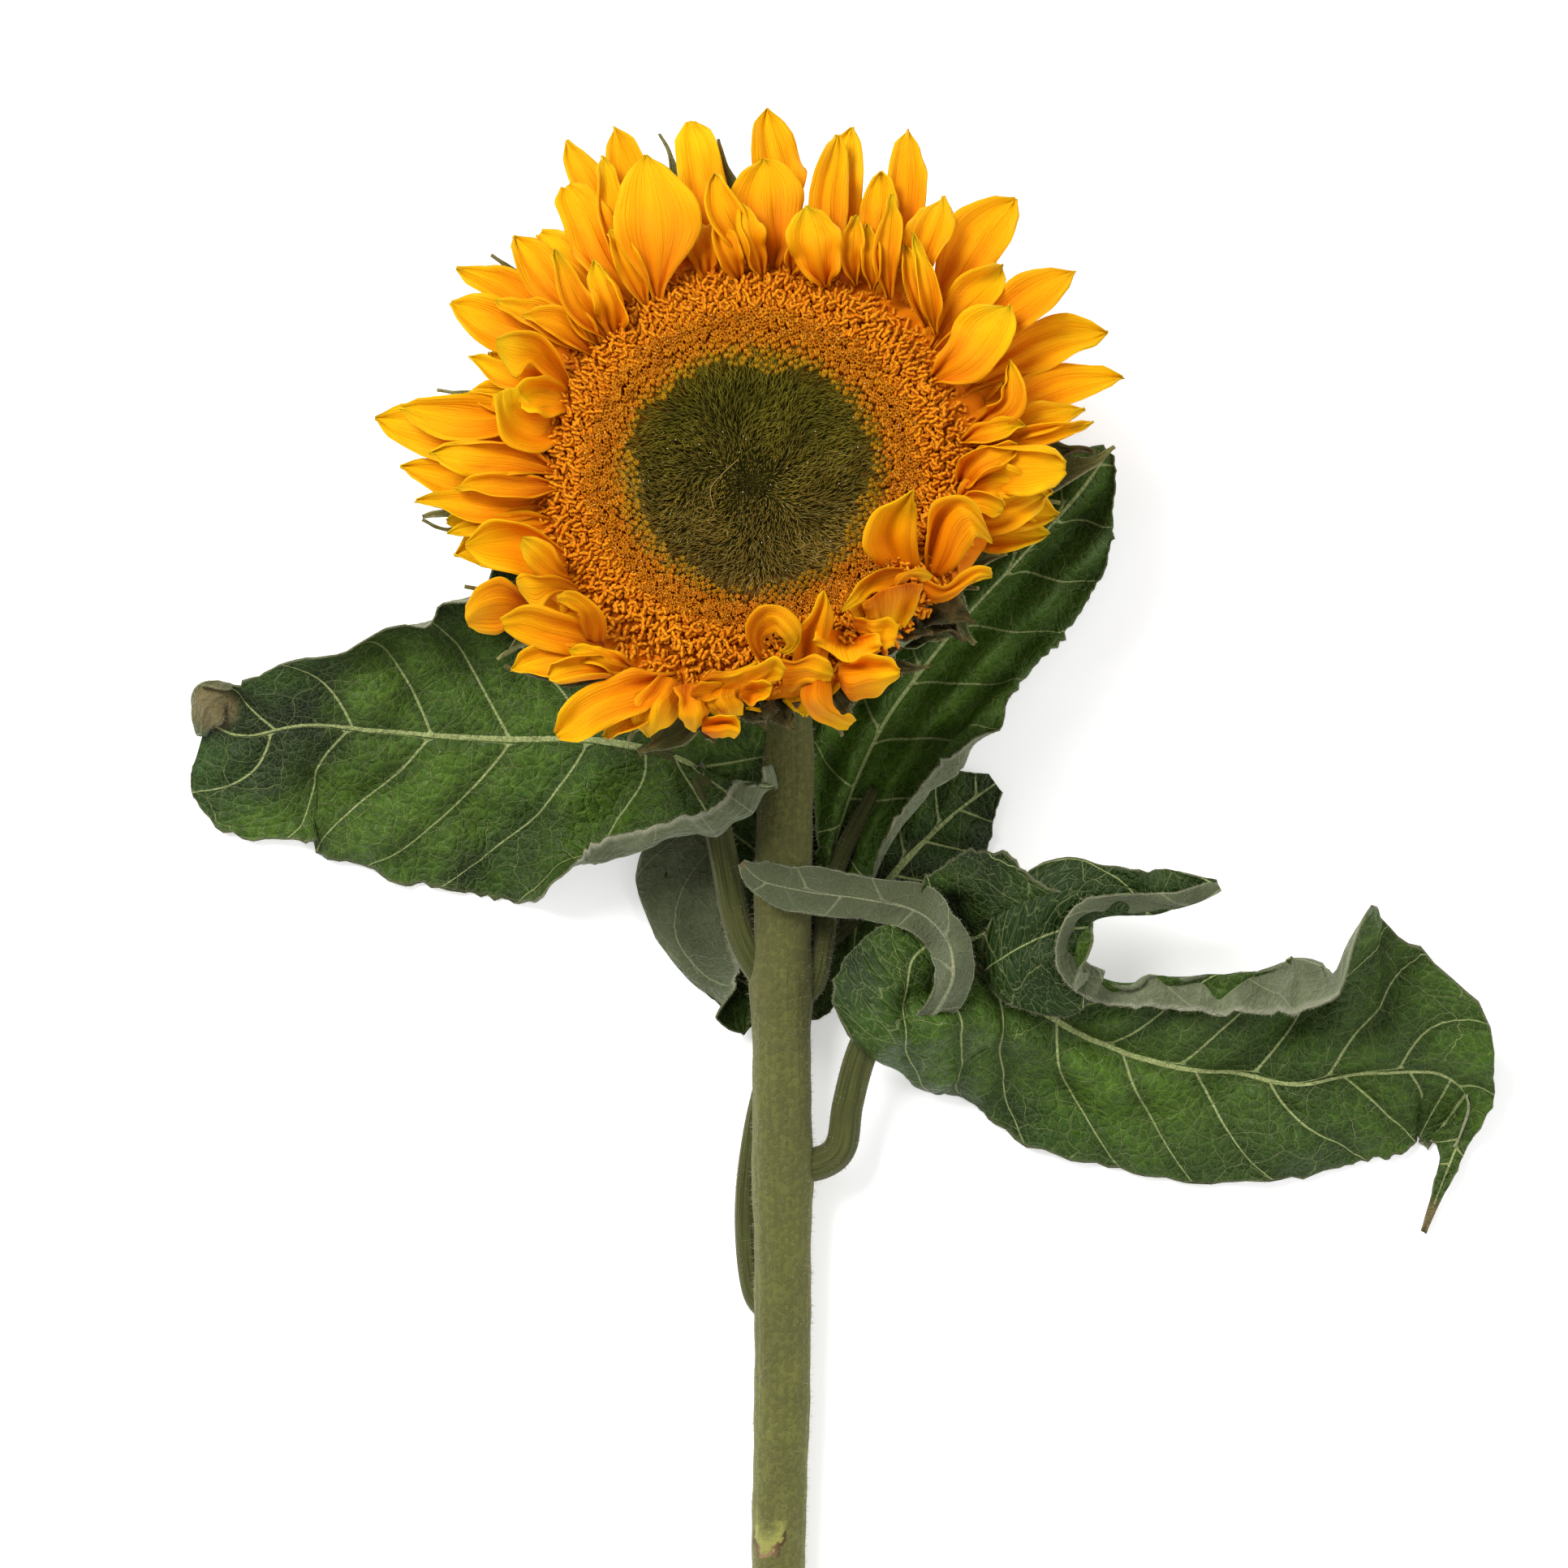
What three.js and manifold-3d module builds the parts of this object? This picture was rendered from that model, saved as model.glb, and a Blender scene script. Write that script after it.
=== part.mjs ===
// A cut sunflower lying on its back.
//
// The stem lies along +Y with its cut end towards -Y, the neck turns up, and the flower head looks
// up with a slight tilt towards +Y. Leaves stand on petioles that leave the stem. Millimetres, +Z up.
// The flower is laid out about the stem's axis, and the last lines set the origin at the middle of
// the bounding box's underside.

import * as THREE from 'three';
import { LoftGeometry } from 'three/addons/geometries/LoftGeometry.js';
import { mergeVertices } from 'three/addons/utils/BufferGeometryUtils.js';
import Module from 'manifold-3d';

// ---------------------------------------------------------------- driving dimensions

const GAP = 0.3; // clearance where one piece is carried by another
const BLADE_THICKNESS = 0.8; // leaf blade, with its rounded veins
const PETAL_THICKNESS = 0.8;
const FLOOR_BLEND = 1.2; // how softly a leaf settles onto the surface under it

const HEAD_CENTRE = [-5, -0.3, 50]; // middle of the disc's face
const HEAD_TILT = 17; // degrees that the face leans towards +Y

const DISC_RADIUS = 36;
const DISC_DEPTH = 8; // from the face down to the receptacle's floor
const RECEPTACLE_RADIUS = 38.5;
const RECEPTACLE_DEPTH = 25; // from the face down to the flat boss that the stem meets
const RIM_HEIGHT = -2.6; // top of the rim, measured from the face
const BOSS_RADIUS = 7.4;

const STEM_SIDES = 14;
const PETIOLE_SIDES = 9;
const LATHE_SEGMENTS = 36;

// ---------------------------------------------------------------- finishes

const FINISHES = {
  stem: { color: 0x63653c, roughness: 0.7 },
  leaf: { color: 0x3a4d22, roughness: 0.6 },
  leafBack: { color: 0x5e6640, roughness: 0.75 },
  receptacle: { color: 0x59612f, roughness: 0.75 },
  bract: { color: 0x43401f, roughness: 0.8 },
  petal: { color: 0xf0a010, roughness: 0.5 },
  disc: { color: 0x8a5a0c, roughness: 0.85 },
};

function finish(name) {
  return new THREE.MeshStandardMaterial({ ...FINISHES[name], metalness: 0 });
}

// ---------------------------------------------------------------- shared shape helpers

// Catmull-Rom interpolation through rows of numbers, at count even steps from first to last row.
function smoothRows(rows, count) {
  const last = rows.length - 1;
  const mirror = (a, b) => a.map((value, k) => 2 * value - b[k]);
  return Array.from({ length: count }, (_, step) => {
    const t = (step / (count - 1)) * last;
    const i = Math.min(Math.floor(t), last - 1);
    const f = t - i;
    const b = rows[i];
    const c = rows[i + 1];
    const a = i > 0 ? rows[i - 1] : mirror(b, c);
    const d = i + 2 <= last ? rows[i + 2] : mirror(c, b);
    return b.map((value, k) => {
      const slope = c[k] - a[k];
      const bend = 2 * a[k] - 5 * value + 4 * c[k] - d[k];
      const twist = 3 * value - a[k] - 3 * c[k] + d[k];
      return 0.5 * (2 * value + slope * f + bend * f * f + twist * f * f * f);
    });
  });
}

// Direction of travel at each point of a line of points.
function tangents(points) {
  return points.map((_, i) => {
    const ahead = points[Math.min(i + 1, points.length - 1)];
    const behind = points[Math.max(i - 1, 0)];
    return ahead.clone().sub(behind).normalize();
  });
}

// A round, tapering, curved stalk through stations of x, y, z and radius.
function stalk(stations, { sides, steps, swell = 0, endDirection = null }) {
  const rows = smoothRows(stations, steps);
  const centres = rows.map(([x, y, z]) => new THREE.Vector3(x, y, z));
  const directions = tangents(centres);
  if (endDirection) directions[steps - 1].copy(endDirection);
  const side = new THREE.Vector3(0, 0, 1).cross(directions[0]).normalize();
  const sections = rows.map(([, , , radius], i) => {
    const along = directions[i];
    side.addScaledVector(along, -side.dot(along)).normalize();
    const up = along.clone().cross(side);
    return Array.from({ length: sides }, (_, k) => {
      const angle = (2 * Math.PI * k) / sides;
      return centres[i].clone()
        .addScaledVector(side, (radius + swell) * Math.cos(angle))
        .addScaledVector(up, (radius + swell) * Math.sin(angle));
    });
  });
  return new LoftGeometry(sections, { capStart: true, capEnd: true });
}

// A closed sheet of even thickness on a grid of points: rows run from root to tip, and columns
// from the left margin to the right one.
function sheet(grid, thickness) {
  const rows = grid.length;
  const columns = grid[0].length;
  const positions = new Float32Array(rows * columns * 6);
  const top = (i, j) => i * columns + j;
  const bottom = (i, j) => rows * columns + top(i, j);
  const across = new THREE.Vector3();
  const along = new THREE.Vector3();
  for (let i = 0; i < rows; i += 1) {
    for (let j = 0; j < columns; j += 1) {
      across.subVectors(grid[i][Math.min(j + 1, columns - 1)], grid[i][Math.max(j - 1, 0)]);
      along.subVectors(grid[Math.min(i + 1, rows - 1)][j], grid[Math.max(i - 1, 0)][j]);
      const offset = across.clone().cross(along).setLength(thickness / 2);
      grid[i][j].clone().add(offset).toArray(positions, 3 * top(i, j));
      grid[i][j].clone().sub(offset).toArray(positions, 3 * bottom(i, j));
    }
  }

  const faces = [];
  for (let i = 0; i < rows - 1; i += 1) {
    for (let j = 0; j < columns - 1; j += 1) {
      const corners = [[i, j], [i, j + 1], [i + 1, j + 1], [i + 1, j]];
      const [a, b, c, d] = corners.map(([row, column]) => top(row, column));
      faces.push(a, b, c, a, c, d);
      const [e, f, g, h] = corners.map(([row, column]) => bottom(row, column));
      faces.push(e, g, f, e, h, g);
    }
  }

  const margin = [];
  for (let j = 0; j < columns - 1; j += 1) margin.push([0, j]);
  for (let i = 0; i < rows - 1; i += 1) margin.push([i, columns - 1]);
  for (let j = columns - 1; j > 0; j -= 1) margin.push([rows - 1, j]);
  for (let i = rows - 1; i > 0; i -= 1) margin.push([i, 0]);
  margin.forEach((here, k) => {
    const next = margin[(k + 1) % margin.length];
    faces.push(top(...here), bottom(...here), bottom(...next));
    faces.push(top(...here), bottom(...next), top(...next));
  });

  const geometry = new THREE.BufferGeometry();
  geometry.setAttribute('position', new THREE.BufferAttribute(positions, 3));
  geometry.setIndex(faces);
  geometry.computeVertexNormals();
  return geometry;
}

// ---------------------------------------------------------------- solids that are joined or cut

const wasm = await Module();
wasm.setup();

function toSolid(geometry) {
  const plain = new THREE.BufferGeometry().copy(geometry);
  plain.deleteAttribute('normal');
  plain.deleteAttribute('uv');
  const merged = mergeVertices(plain);
  return new wasm.Manifold(new wasm.Mesh({
    numProp: 3,
    vertProperties: new Float32Array(merged.attributes.position.array),
    triVerts: new Uint32Array(merged.index.array),
  }));
}

function toGeometry(solid) {
  const { vertProperties, triVerts } = solid.getMesh();
  const geometry = new THREE.BufferGeometry();
  geometry.setAttribute('position', new THREE.BufferAttribute(vertProperties, 3));
  geometry.setIndex(new THREE.BufferAttribute(triVerts, 1));
  geometry.computeVertexNormals();
  return geometry;
}

const flower = new THREE.Group();

function addPiece(parent, name, geometry, finishName) {
  const mesh = new THREE.Mesh(geometry, finish(finishName));
  mesh.name = name;
  parent.add(mesh);
}

// ---------------------------------------------------------------- head frame

const head = new THREE.Group();
head.position.fromArray(HEAD_CENTRE);
head.rotation.x = THREE.MathUtils.degToRad(-HEAD_TILT);
head.updateMatrix();
flower.add(head);

const headAxis = new THREE.Vector3(0, 0, 1).applyQuaternion(head.quaternion);
const neckEnd = new THREE.Vector3(0, 0, -RECEPTACLE_DEPTH - GAP).applyMatrix4(head.matrix);

// ---------------------------------------------------------------- stem

// x, y, z, radius: straight and slightly rising from the cut end, then the neck's curve up into
// the flower's base, where the stem widens.
const STEM_STATIONS = [
  [-0.3, -216, 4.6, 4.8],
  [-0.3, -190, 5.4, 4.8],
  [0.3, -165, 6.3, 5.0],
  [0.4, -140, 7.5, 5.1],
  [0.3, -115, 8.7, 5.2],
  [0.2, -92, 9.6, 5.2],
  [0.6, -68, 10.2, 5.1],
  [1.1, -46, 10.8, 4.8],
  [0, -28, 12.6, 4.7],
  [-2.8, -15.5, 17.4, 5],
  [...neckEnd.toArray(), 6.3],
];
const STEM_STEPS = 34;

function stemGeometry(swell) {
  return stalk(STEM_STATIONS, {
    sides: STEM_SIDES,
    steps: STEM_STEPS,
    swell,
    endDirection: headAxis,
  });
}

addPiece(flower, 'stem', stemGeometry(0), 'stem');
const stemClearance = toSolid(stemGeometry(GAP));

// ---------------------------------------------------------------- receptacle and disc

// Profiles are radius and height in the head's frame, from the axis round and back to it.
const CUP_FLOOR = -DISC_DEPTH - GAP;
const RECEPTACLE_PROFILE = [
  [0, -RECEPTACLE_DEPTH],
  [BOSS_RADIUS, -RECEPTACLE_DEPTH],
  [15, -24],
  [27, -21.4],
  [35, -18.8],
  [RECEPTACLE_RADIUS, -16.6],
  [RECEPTACLE_RADIUS, -3.4],
  [RECEPTACLE_RADIUS - 0.8, RIM_HEIGHT],
  [DISC_RADIUS + GAP, RIM_HEIGHT],
  [DISC_RADIUS + GAP, CUP_FLOOR],
  [0, CUP_FLOOR],
];
const DISC_PROFILE = [
  [0, -DISC_DEPTH],
  [DISC_RADIUS, -DISC_DEPTH],
  [DISC_RADIUS, -2.4],
  [34.5, -0.6],
  [30, 0.6],
  [25, -0.3],
  [18, -1.6],
  [9, -2.6],
  [0, -3],
];

// The turned solid stands on +Z, because a lathe turns about Y.
function turned(profile) {
  const points = profile.map(([radius, height]) => new THREE.Vector2(radius, height));
  return new THREE.LatheGeometry(points, LATHE_SEGMENTS).rotateX(Math.PI / 2);
}

addPiece(head, 'receptacle', turned(RECEPTACLE_PROFILE), 'receptacle');
addPiece(head, 'disc', turned(DISC_PROFILE), 'disc');

// ---------------------------------------------------------------- petals and bracts

const ROOT_RADIUS = RECEPTACLE_RADIUS + GAP; // where petals and bracts meet the receptacle

// Half-widths along a petal and a bract, as shares of the widest one.
const PETAL_ROWS = 8;
const BRACT_ROWS = 7;
const RAY_COLUMNS = 3;
const PETAL_OUTLINE = [[0.36], [0.62], [0.88], [1], [0.95], [0.72], [0.36], [0.06]];
const BRACT_OUTLINE = [[0.85], [1], [0.9], [0.68], [0.42], [0.2], [0.06]];

// A narrow sheet that starts at the receptacle's wall and runs outwards to a reach, rising at lift
// degrees and turning by bend degrees on its way, with its margins raised by cup.
function ray({ azimuth, reach, rootHeight, lift, bend, halfWidth, cup, outline, rows }) {
  const start = THREE.MathUtils.degToRad(lift);
  const turn = THREE.MathUtils.degToRad(bend);
  const shares = smoothRows(outline, rows).map(([share]) => share);
  const slope = (i) => start + (turn * i) / (rows - 1);
  const run = Array.from({ length: rows - 1 }, (_, i) => Math.cos(slope(i + 0.5)));
  const rootRadius = ROOT_RADIUS + (PETAL_THICKNESS / 2 + cup * shares[0]) * Math.abs(Math.sin(start));
  const step = (reach - rootRadius) / run.reduce((sum, value) => sum + value, 0);

  const grid = [];
  let x = rootRadius;
  let z = rootHeight;
  for (let i = 0; i < rows; i += 1) {
    const angle = slope(i);
    const rise = cup * shares[i];
    grid.push(Array.from({ length: RAY_COLUMNS }, (_, j) => {
      const across = 1 - (2 * j) / (RAY_COLUMNS - 1);
      const lifted = rise * across * across;
      return new THREE.Vector3(
        x - lifted * Math.sin(angle),
        across * halfWidth * shares[i],
        z + lifted * Math.cos(angle),
      );
    }));
    x += step * Math.cos(slope(i + 0.5));
    z += step * Math.sin(slope(i + 0.5));
  }
  return sheet(grid, PETAL_THICKNESS).rotateZ(THREE.MathUtils.degToRad(azimuth));
}

// Three whorls of petals. Each petal is its azimuth in degrees, from +X, and how far its tip
// reaches from the head's axis.
const PETAL_WHORLS = [
  {
    name: 'petal_back', rootHeight: -11, lift: 0, bend: -4, halfWidth: 6.6, cup: 1.2,
    petals: [
      [5, 55], [23, 68], [48, 69], [66, 69], [88, 67], [118, 69], [144, 64],
      [171, 67], [207, 57], [235, 59], [252, 51], [290, 50], [337, 46],
    ],
  },
  {
    name: 'petal_middle', rootHeight: -7.6, lift: 14, bend: -10, halfWidth: 6.4, cup: 1.2,
    petals: [
      [15, 68], [33, 68], [57, 61], [74, 66], [111, 68], [130, 58], [149, 62],
      [179, 62], [220, 56], [243, 55], [267, 48], [306, 45], [328, 44], [355, 52],
    ],
  },
  {
    name: 'petal_front', rootHeight: -4.8, lift: 32, bend: -26, halfWidth: 5.8, cup: 1.1,
    petals: [
      [8, 61], [24, 51], [41, 58], [76, 63], [100, 65], [122, 62], [157, 54],
      [185, 59], [213, 52], [254, 45], [278, 45], [302, 45], [345, 46],
    ],
  },
];

for (const { name, petals, ...shape } of PETAL_WHORLS) {
  petals.forEach(([azimuth, reach], i) => {
    const geometry = ray({ azimuth, reach, ...shape, outline: PETAL_OUTLINE, rows: PETAL_ROWS });
    addPiece(head, `${name}_${String(i + 1).padStart(2, '0')}`, geometry, 'petal');
  });
}

// The green bracts behind the petals: azimuth, reach, lift and bend. The long ones towards +Y lean
// back until their tips meet the surface that the flower lies on.
const BRACT_ROOT_HEIGHT = -14.4;
const BRACT_HALF_WIDTH = 5;
const BRACT_CUP = 0.8; // how far the margins stand above the middle
const BRACTS = [
  [0, 54, -10, -10],
  [24, 56, -14, -14],
  [48, 62, -34.8, -23],
  [73, 63, -29, -20],
  [98, 66, -24.4, -18],
  [134, 64, -32.8, -22],
  [158, 60, -14, -14],
  [182, 58, -10, -10],
  [213, 53, -8, -16],
  [244, 49, -8, -18],
  [290, 46, -10, -20],
  [326, 47, -10, -20],
];

BRACTS.forEach(([azimuth, reach, lift, bend], i) => {
  const geometry = ray({
    azimuth, reach, lift, bend,
    rootHeight: BRACT_ROOT_HEIGHT,
    halfWidth: BRACT_HALF_WIDTH,
    cup: BRACT_CUP,
    outline: BRACT_OUTLINE,
    rows: BRACT_ROWS,
  });
  addPiece(head, `bract_${String(i + 1).padStart(2, '0')}`, geometry, 'bract');
});

// ---------------------------------------------------------------- leaves

// A leaf blade is laid out from stations along its midrib, from the petiole to the tip. A station
// is the midrib's x, y, z, then for the left side and for the right side: width, sweep (degrees
// towards the tip), lift (degrees above level at the midrib) and curl (degrees turned on the way
// to the margin). With a fold band, strong curls turn within that share of the width, as a fold.
// The petiole's stations are x, y, z and radius, and end under the midrib. Lobes are tongues of the
// same blade that leave its base another way, laid out in the same manner.
const LEAVES = [
  {
    name: 'leaf_left',
    rows: 20,
    petiole: [
      [-1, -91, 9.6, 2.9],
      [-5, -86.5, 9.6, 2.7],
      [-8, -79, 10, 2.6],
      [-10.6, -66, 11.2, 2.5],
      [-13, -56, 12.4, 2.4],
      [-18, -50.5, 11, 1.8],
      [-28, -47.9, 9.8, 1.2],
    ],
    stations: [
      [-13, -54, 13, 22, -140, 22, 110, 9, -60, -8, 10],
      [-15, -52.5, 13, 28, -100, 10, 165, 18, -50, -10, 10],
      [-21, -49.5, 12, 31, -42, -10, 180, 29, -30, -12, 10],
      [-31, -47.5, 10, 32, -12, -14, 165, 36, -12, -8, 10],
      [-40, -47, 8, 31, -5, -16, 100, 43, -5, -6, 20],
      [-50, -47, 7, 30, 0, -20, 10, 46, -3, -4, 80],
      [-66, -46, 7, 27, 0, -16, 10, 32, -10, 2, 105],
      [-84, -44.5, 8, 23, 0, -24, 10, 15, 0, 12, 50],
      [-96, -46.5, 5, 19, 2, -22, 20, 10, 0, 20, 40],
      [-103, -44, 3, 9, 0, -20, 20, 5, -10, 40, 40],
    ],
  },
  {
    name: 'leaf_right_lower',
    rows: 30,
    foldBand: [0.64, 0.76],
    petiole: [
      [1, -123.6, 8.3, 3.2],
      [7.5, -122.6, 8.4, 3],
      [10.8, -119.5, 8.8, 2.9],
      [12, -112, 10, 2.8],
      [14.8, -102, 12, 2.8],
      [20.5, -91, 14.2, 2.7],
      [27, -82.6, 15.6, 2.4],
      [32.5, -86.3, 13.8, 1.6],
      [40, -91.2, 11.4, 1.2],
    ],
    stations: [
      [26.5, -81.5, 17, 5, -60, 10, 0, 8, -62, 12, 10],
      [28.2, -82.8, 16.8, 13, -45, 12, -10, 21, -30, 20, -60],
      [30.2, -84.3, 16, 18, -34, 14, -20, 27, -8, 26, -90],
      [32.6, -86, 15, 21, -22, 18, -20, 29, 6, 20, -110],
      [35.2, -87.7, 14, 21, -4, 22, 0, 29, 10, 14, -100],
      [38, -89.5, 13, 23, 6, 24, 0, 28, 12, 5, -90],
      [41, -91.5, 12, 20, 12, 28, 10, 27, 9, -5, -60],
      [47, -96, 10.5, 20, 4, 30, 130, 24, 5, -15, -30],
      [57, -102, 8, 24.5, 6, 22, 146, 22, 4, -22, 10],
      [75, -106.5, 6, 30.5, -2, 20, 146, 21, 0, -22, 10],
      [90, -108.7, 6, 36, -2, 22, 142, 18, 4, -20, 10],
      [99, -107.7, 6.5, 38.5, 2, 25, 128, 17, 6, -22, 5],
      [107, -106.5, 7, 36, 4, 26, 20, 16, 8, -25, 0],
      [117, -106.5, 8, 19, -8, 22, 15, 14, -4, -35, 0],
      [122.5, -111.5, 6, 6, -10, 10, 10, 14, 44, -30, 0],
      [121.8, -117.5, 4, 3.4, 0, 0, 0, 8, 36, -26, 0],
      [119.8, -124, 2.6, 2.2, 0, 0, 0, 3.2, 0, -20, 0],
      [115.3, -135.5, 1, 0.4, 0, 0, 0, 0.4, 0, 0, 0],
    ],
    lobes: [
      [
        [77.8, -73.6, 22, 1.2, 0, 150, 20, 1.6, 0, 5, 0],
        [72, -76.3, 21.5, 4.4, 0, 118, 50, 6.6, 0, 10, 0],
        [66.5, -78.3, 21, 6.2, 0, 112, 56, 8.4, 0, 10, 0],
        [60, -78.6, 20.5, 6.6, 0, 112, 56, 9.6, 6, 10, 0],
        [55.5, -79.8, 19.5, 7.2, 0, 112, 56, 14.5, 10, 8, 0],
        [53.8, -83, 18.5, 7.6, 0, 112, 56, 19, 30, 4, 0],
        [54.4, -86.5, 17.6, 7.6, 0, 116, 56, 12, 20, 2, 0],
        [57.5, -88.5, 17, 7, 0, 125, 52, 4, 0, 0, 0],
      ],
      [
        [23.5, -98.5, 17.5, 0.8, 0, 180, 0, 0.8, 0, 180, 0],
        [27.5, -95, 19.3, 2.8, 0, 180, -12, 2.8, 0, 184, -18],
        [30.6, -89, 20.2, 3.6, 0, 178, -12, 3.6, 0, 184, -18],
        [29.8, -82.5, 20.2, 4.4, 0, 176, -12, 4, 0, 184, -20],
        [24.5, -77.8, 19.8, 4.8, 0, 176, -10, 4, 0, 184, -20],
        [15, -75.6, 19.2, 4, 0, 180, 10, 3.2, 0, 184, -20],
        [6, -74.4, 19.8, 4.6, 0, 180, -15, 4.2, 0, 180, -20],
        [-3, -72.4, 20.6, 3.4, 0, 180, -15, 2.8, 0, 180, -20],
        [-7, -69, 21.6, 0.6, 0, 180, 0, 0.6, 0, 180, 0],
      ],
    ],
  },
  {
    name: 'leaf_right_upper',
    rows: 17,
    petiole: [
      [1, -94.6, 9.6, 2.1],
      [5.8, -91, 9.6, 2],
      [7.6, -84, 9.2, 1.9],
      [8.4, -77, 8, 1.9],
      [10.5, -68.5, 6.4, 1.7],
      [17, -56, 7.2, 1.2],
    ],
    stations: [
      [8.5, -73, 7, 3, -80, 10, 0, 7, -70, 0, 20],
      [10, -65, 7, 4, -50, 10, 20, 11, -40, -6, 90],
      [13.5, -54, 8, 8, -10, 5, 10, 19, -8, -10, 160],
      [19.5, -42, 9, 16, 0, 0, 0, 24, 0, -12, 160],
      [29, -29.5, 9.5, 23, 0, 0, 0, 17, 0, -18, 50],
      [39, -18.5, 10, 23, 0, -5, 10, 16, 0, -22, 20],
      [48, -9, 10.5, 17, 0, -10, 20, 14, -5, -22, 20],
      [54, -2, 11.5, 9, 0, -10, 20, 8, -5, -15, 20],
      [58.5, 4, 13, 1.5, 10, 0, 0, 1, 0, 0, 0],
    ],
  },
  {
    name: 'leaf_right_small',
    rows: 8,
    petiole: [
      [1.5, -85.6, 7.4, 1.7],
      [6.4, -84.4, 5.4, 1.6],
      [10, -82, 3.6, 1.5],
      [13.2, -79, 3, 1.4],
      [20, -71.6, 2.7, 1],
    ],
    stations: [
      [13, -79.5, 3.2, 7, -60, -4, 0, 7, -60, 0, 0],
      [17, -75, 3.2, 12, -20, -5, 0, 11, -20, -5, 10],
      [23, -68, 3.2, 13, 0, -5, 10, 12, 0, -10, 20],
      [31, -60.5, 2.5, 10, 0, 0, 10, 9, 0, -5, 10],
      [38.5, -55, 2, 2, 0, 0, 0, 2, 0, 0, 0],
    ],
  },
  {
    name: 'leaf_back',
    rows: 16,
    foldBand: [0.54, 0.68],
    petiole: [
      [-1.6, -150, 6, 2.2],
      [-5, -145.5, 3.6, 2.1],
      [-6.2, -132, 2.4, 2.1],
      [-4.8, -117, 2.2, 1.9],
      [-0.8, -98, 1.9, 1.5],
      [0, -84, 1.6, 1.1],
    ],
    stations: [
      [0, -94, 2, 9, -40, -10, 20, 6, -40, -10, 10],
      [0, -89, 1.5, 24, -20, -6, 150, 13, -20, -5, 10],
      [0, -80, 1, 40, -3, -3, 180, 20, -5, -3, 5],
      [-0.5, -66, 0.8, 42, 0, -3, 180, 24, 0, -3, 5],
      [-1, -52, 0.6, 28, 0, -3, 175, 26, 0, -3, 5],
      [-1.3, -40, 0.6, 20, 0, -3, 50, 23, 0, -3, 5],
      [-1.5, -28, 0.6, 18, 0, -3, 5, 19, 0, -3, 5],
      [-2, -8, 0.6, 2, 0, 0, 0, 2, 0, 0, 0],
    ],
  },
];
const COLUMNS_PER_SIDE = 5;
const MARCH_STEPS = 4; // short steps taken between two columns
const NARROWEST = 0.4;
const PETIOLE_STEPS = 13;
const LOBE_ROWS = 14;
const ROLLED_CURL = 100; // up to this curl a margin is rolled evenly
const FOLDED_CURL = 145; // from this curl on it is folded within the fold band

// Share of the curl reached at a share of the width.
function curlShare(share, curl, foldBand) {
  const rolled = share * share;
  if (!foldBand) return rolled;
  const folded = THREE.MathUtils.smoothstep(Math.abs(curl), ROLLED_CURL, FOLDED_CURL);
  return THREE.MathUtils.lerp(rolled, THREE.MathUtils.smoothstep(share, ...foldBand), folded);
}

function bladeGrid({ stations, rows, foldBand = null }) {
  const lines = smoothRows(stations, rows);
  const midrib = lines.map(([x, y, z]) => new THREE.Vector3(x, y, z));
  const travel = tangents(midrib);
  return lines.map((line, i) => {
    const along = travel[i];
    const up = new THREE.Vector3(0, 0, 1).addScaledVector(along, -along.z).normalize();
    const left = up.clone().cross(along);
    const margin = (side, [width, sweep, lift, curl]) => {
      const stepLength = Math.max(width, NARROWEST) / (COLUMNS_PER_SIDE * MARCH_STEPS);
      const sweepAngle = THREE.MathUtils.degToRad(sweep);
      const outwards = left.clone().multiplyScalar(side * Math.cos(sweepAngle))
        .addScaledVector(along, Math.sin(sweepAngle));
      const point = midrib[i].clone();
      const points = [];
      for (let k = 0; k < COLUMNS_PER_SIDE * MARCH_STEPS; k += 1) {
        const share = (k + 0.5) / (COLUMNS_PER_SIDE * MARCH_STEPS);
        const angle = THREE.MathUtils.degToRad(lift + curl * curlShare(share, curl, foldBand));
        point.addScaledVector(outwards, stepLength * Math.cos(angle));
        point.addScaledVector(up, stepLength * Math.sin(angle));
        if ((k + 1) % MARCH_STEPS === 0) points.push(point.clone());
      }
      return points;
    };
    const leftPoints = margin(1, line.slice(3, 7)).reverse();
    const rightPoints = margin(-1, line.slice(7, 11));
    return [...leftPoints, midrib[i].clone(), ...rightPoints].map(settle);
  });
}

// Nothing dips below the surface: low points are eased up onto it.
function settle(point) {
  point.z = 0.5 * (point.z + Math.hypot(point.z, FLOOR_BLEND));
  return point;
}

for (const leaf of LEAVES) {
  let joined = toSolid(sheet(bladeGrid(leaf), BLADE_THICKNESS));
  joined = joined.add(toSolid(stalk(leaf.petiole, { sides: PETIOLE_SIDES, steps: PETIOLE_STEPS })));
  for (const stations of leaf.lobes ?? []) {
    joined = joined.add(toSolid(sheet(bladeGrid({ stations, rows: LOBE_ROWS }), BLADE_THICKNESS)));
  }
  const cut = joined.subtract(stemClearance);
  const [whole] = cut.decompose().sort((a, b) => b.volume() - a.volume());
  addPiece(flower, leaf.name, toGeometry(whole), leaf.name === 'leaf_back' ? 'leafBack' : 'leaf');
}

// ---------------------------------------------------------------- origin

const box = new THREE.Box3().setFromObject(flower);
const middle = box.getCenter(new THREE.Vector3());
flower.position.set(-middle.x, -middle.y, -box.min.z);

export default flower;
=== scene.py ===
# %% [markdown]
# # A cut sunflower, laid on its back
#
# The CAD model gives the flower's real pieces at their real size: stem, flower base, disc, petals,
# bracts and leaves. This lesson dresses it. Each piece is rebuilt as a fine mesh in the place that
# its CAD solid holds, and gets a procedural material. The steps go from the frame and the shared
# helpers to the stem, the leaves, the disc, the petals and the bracts, and end with light and camera.

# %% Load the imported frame
import math

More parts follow.
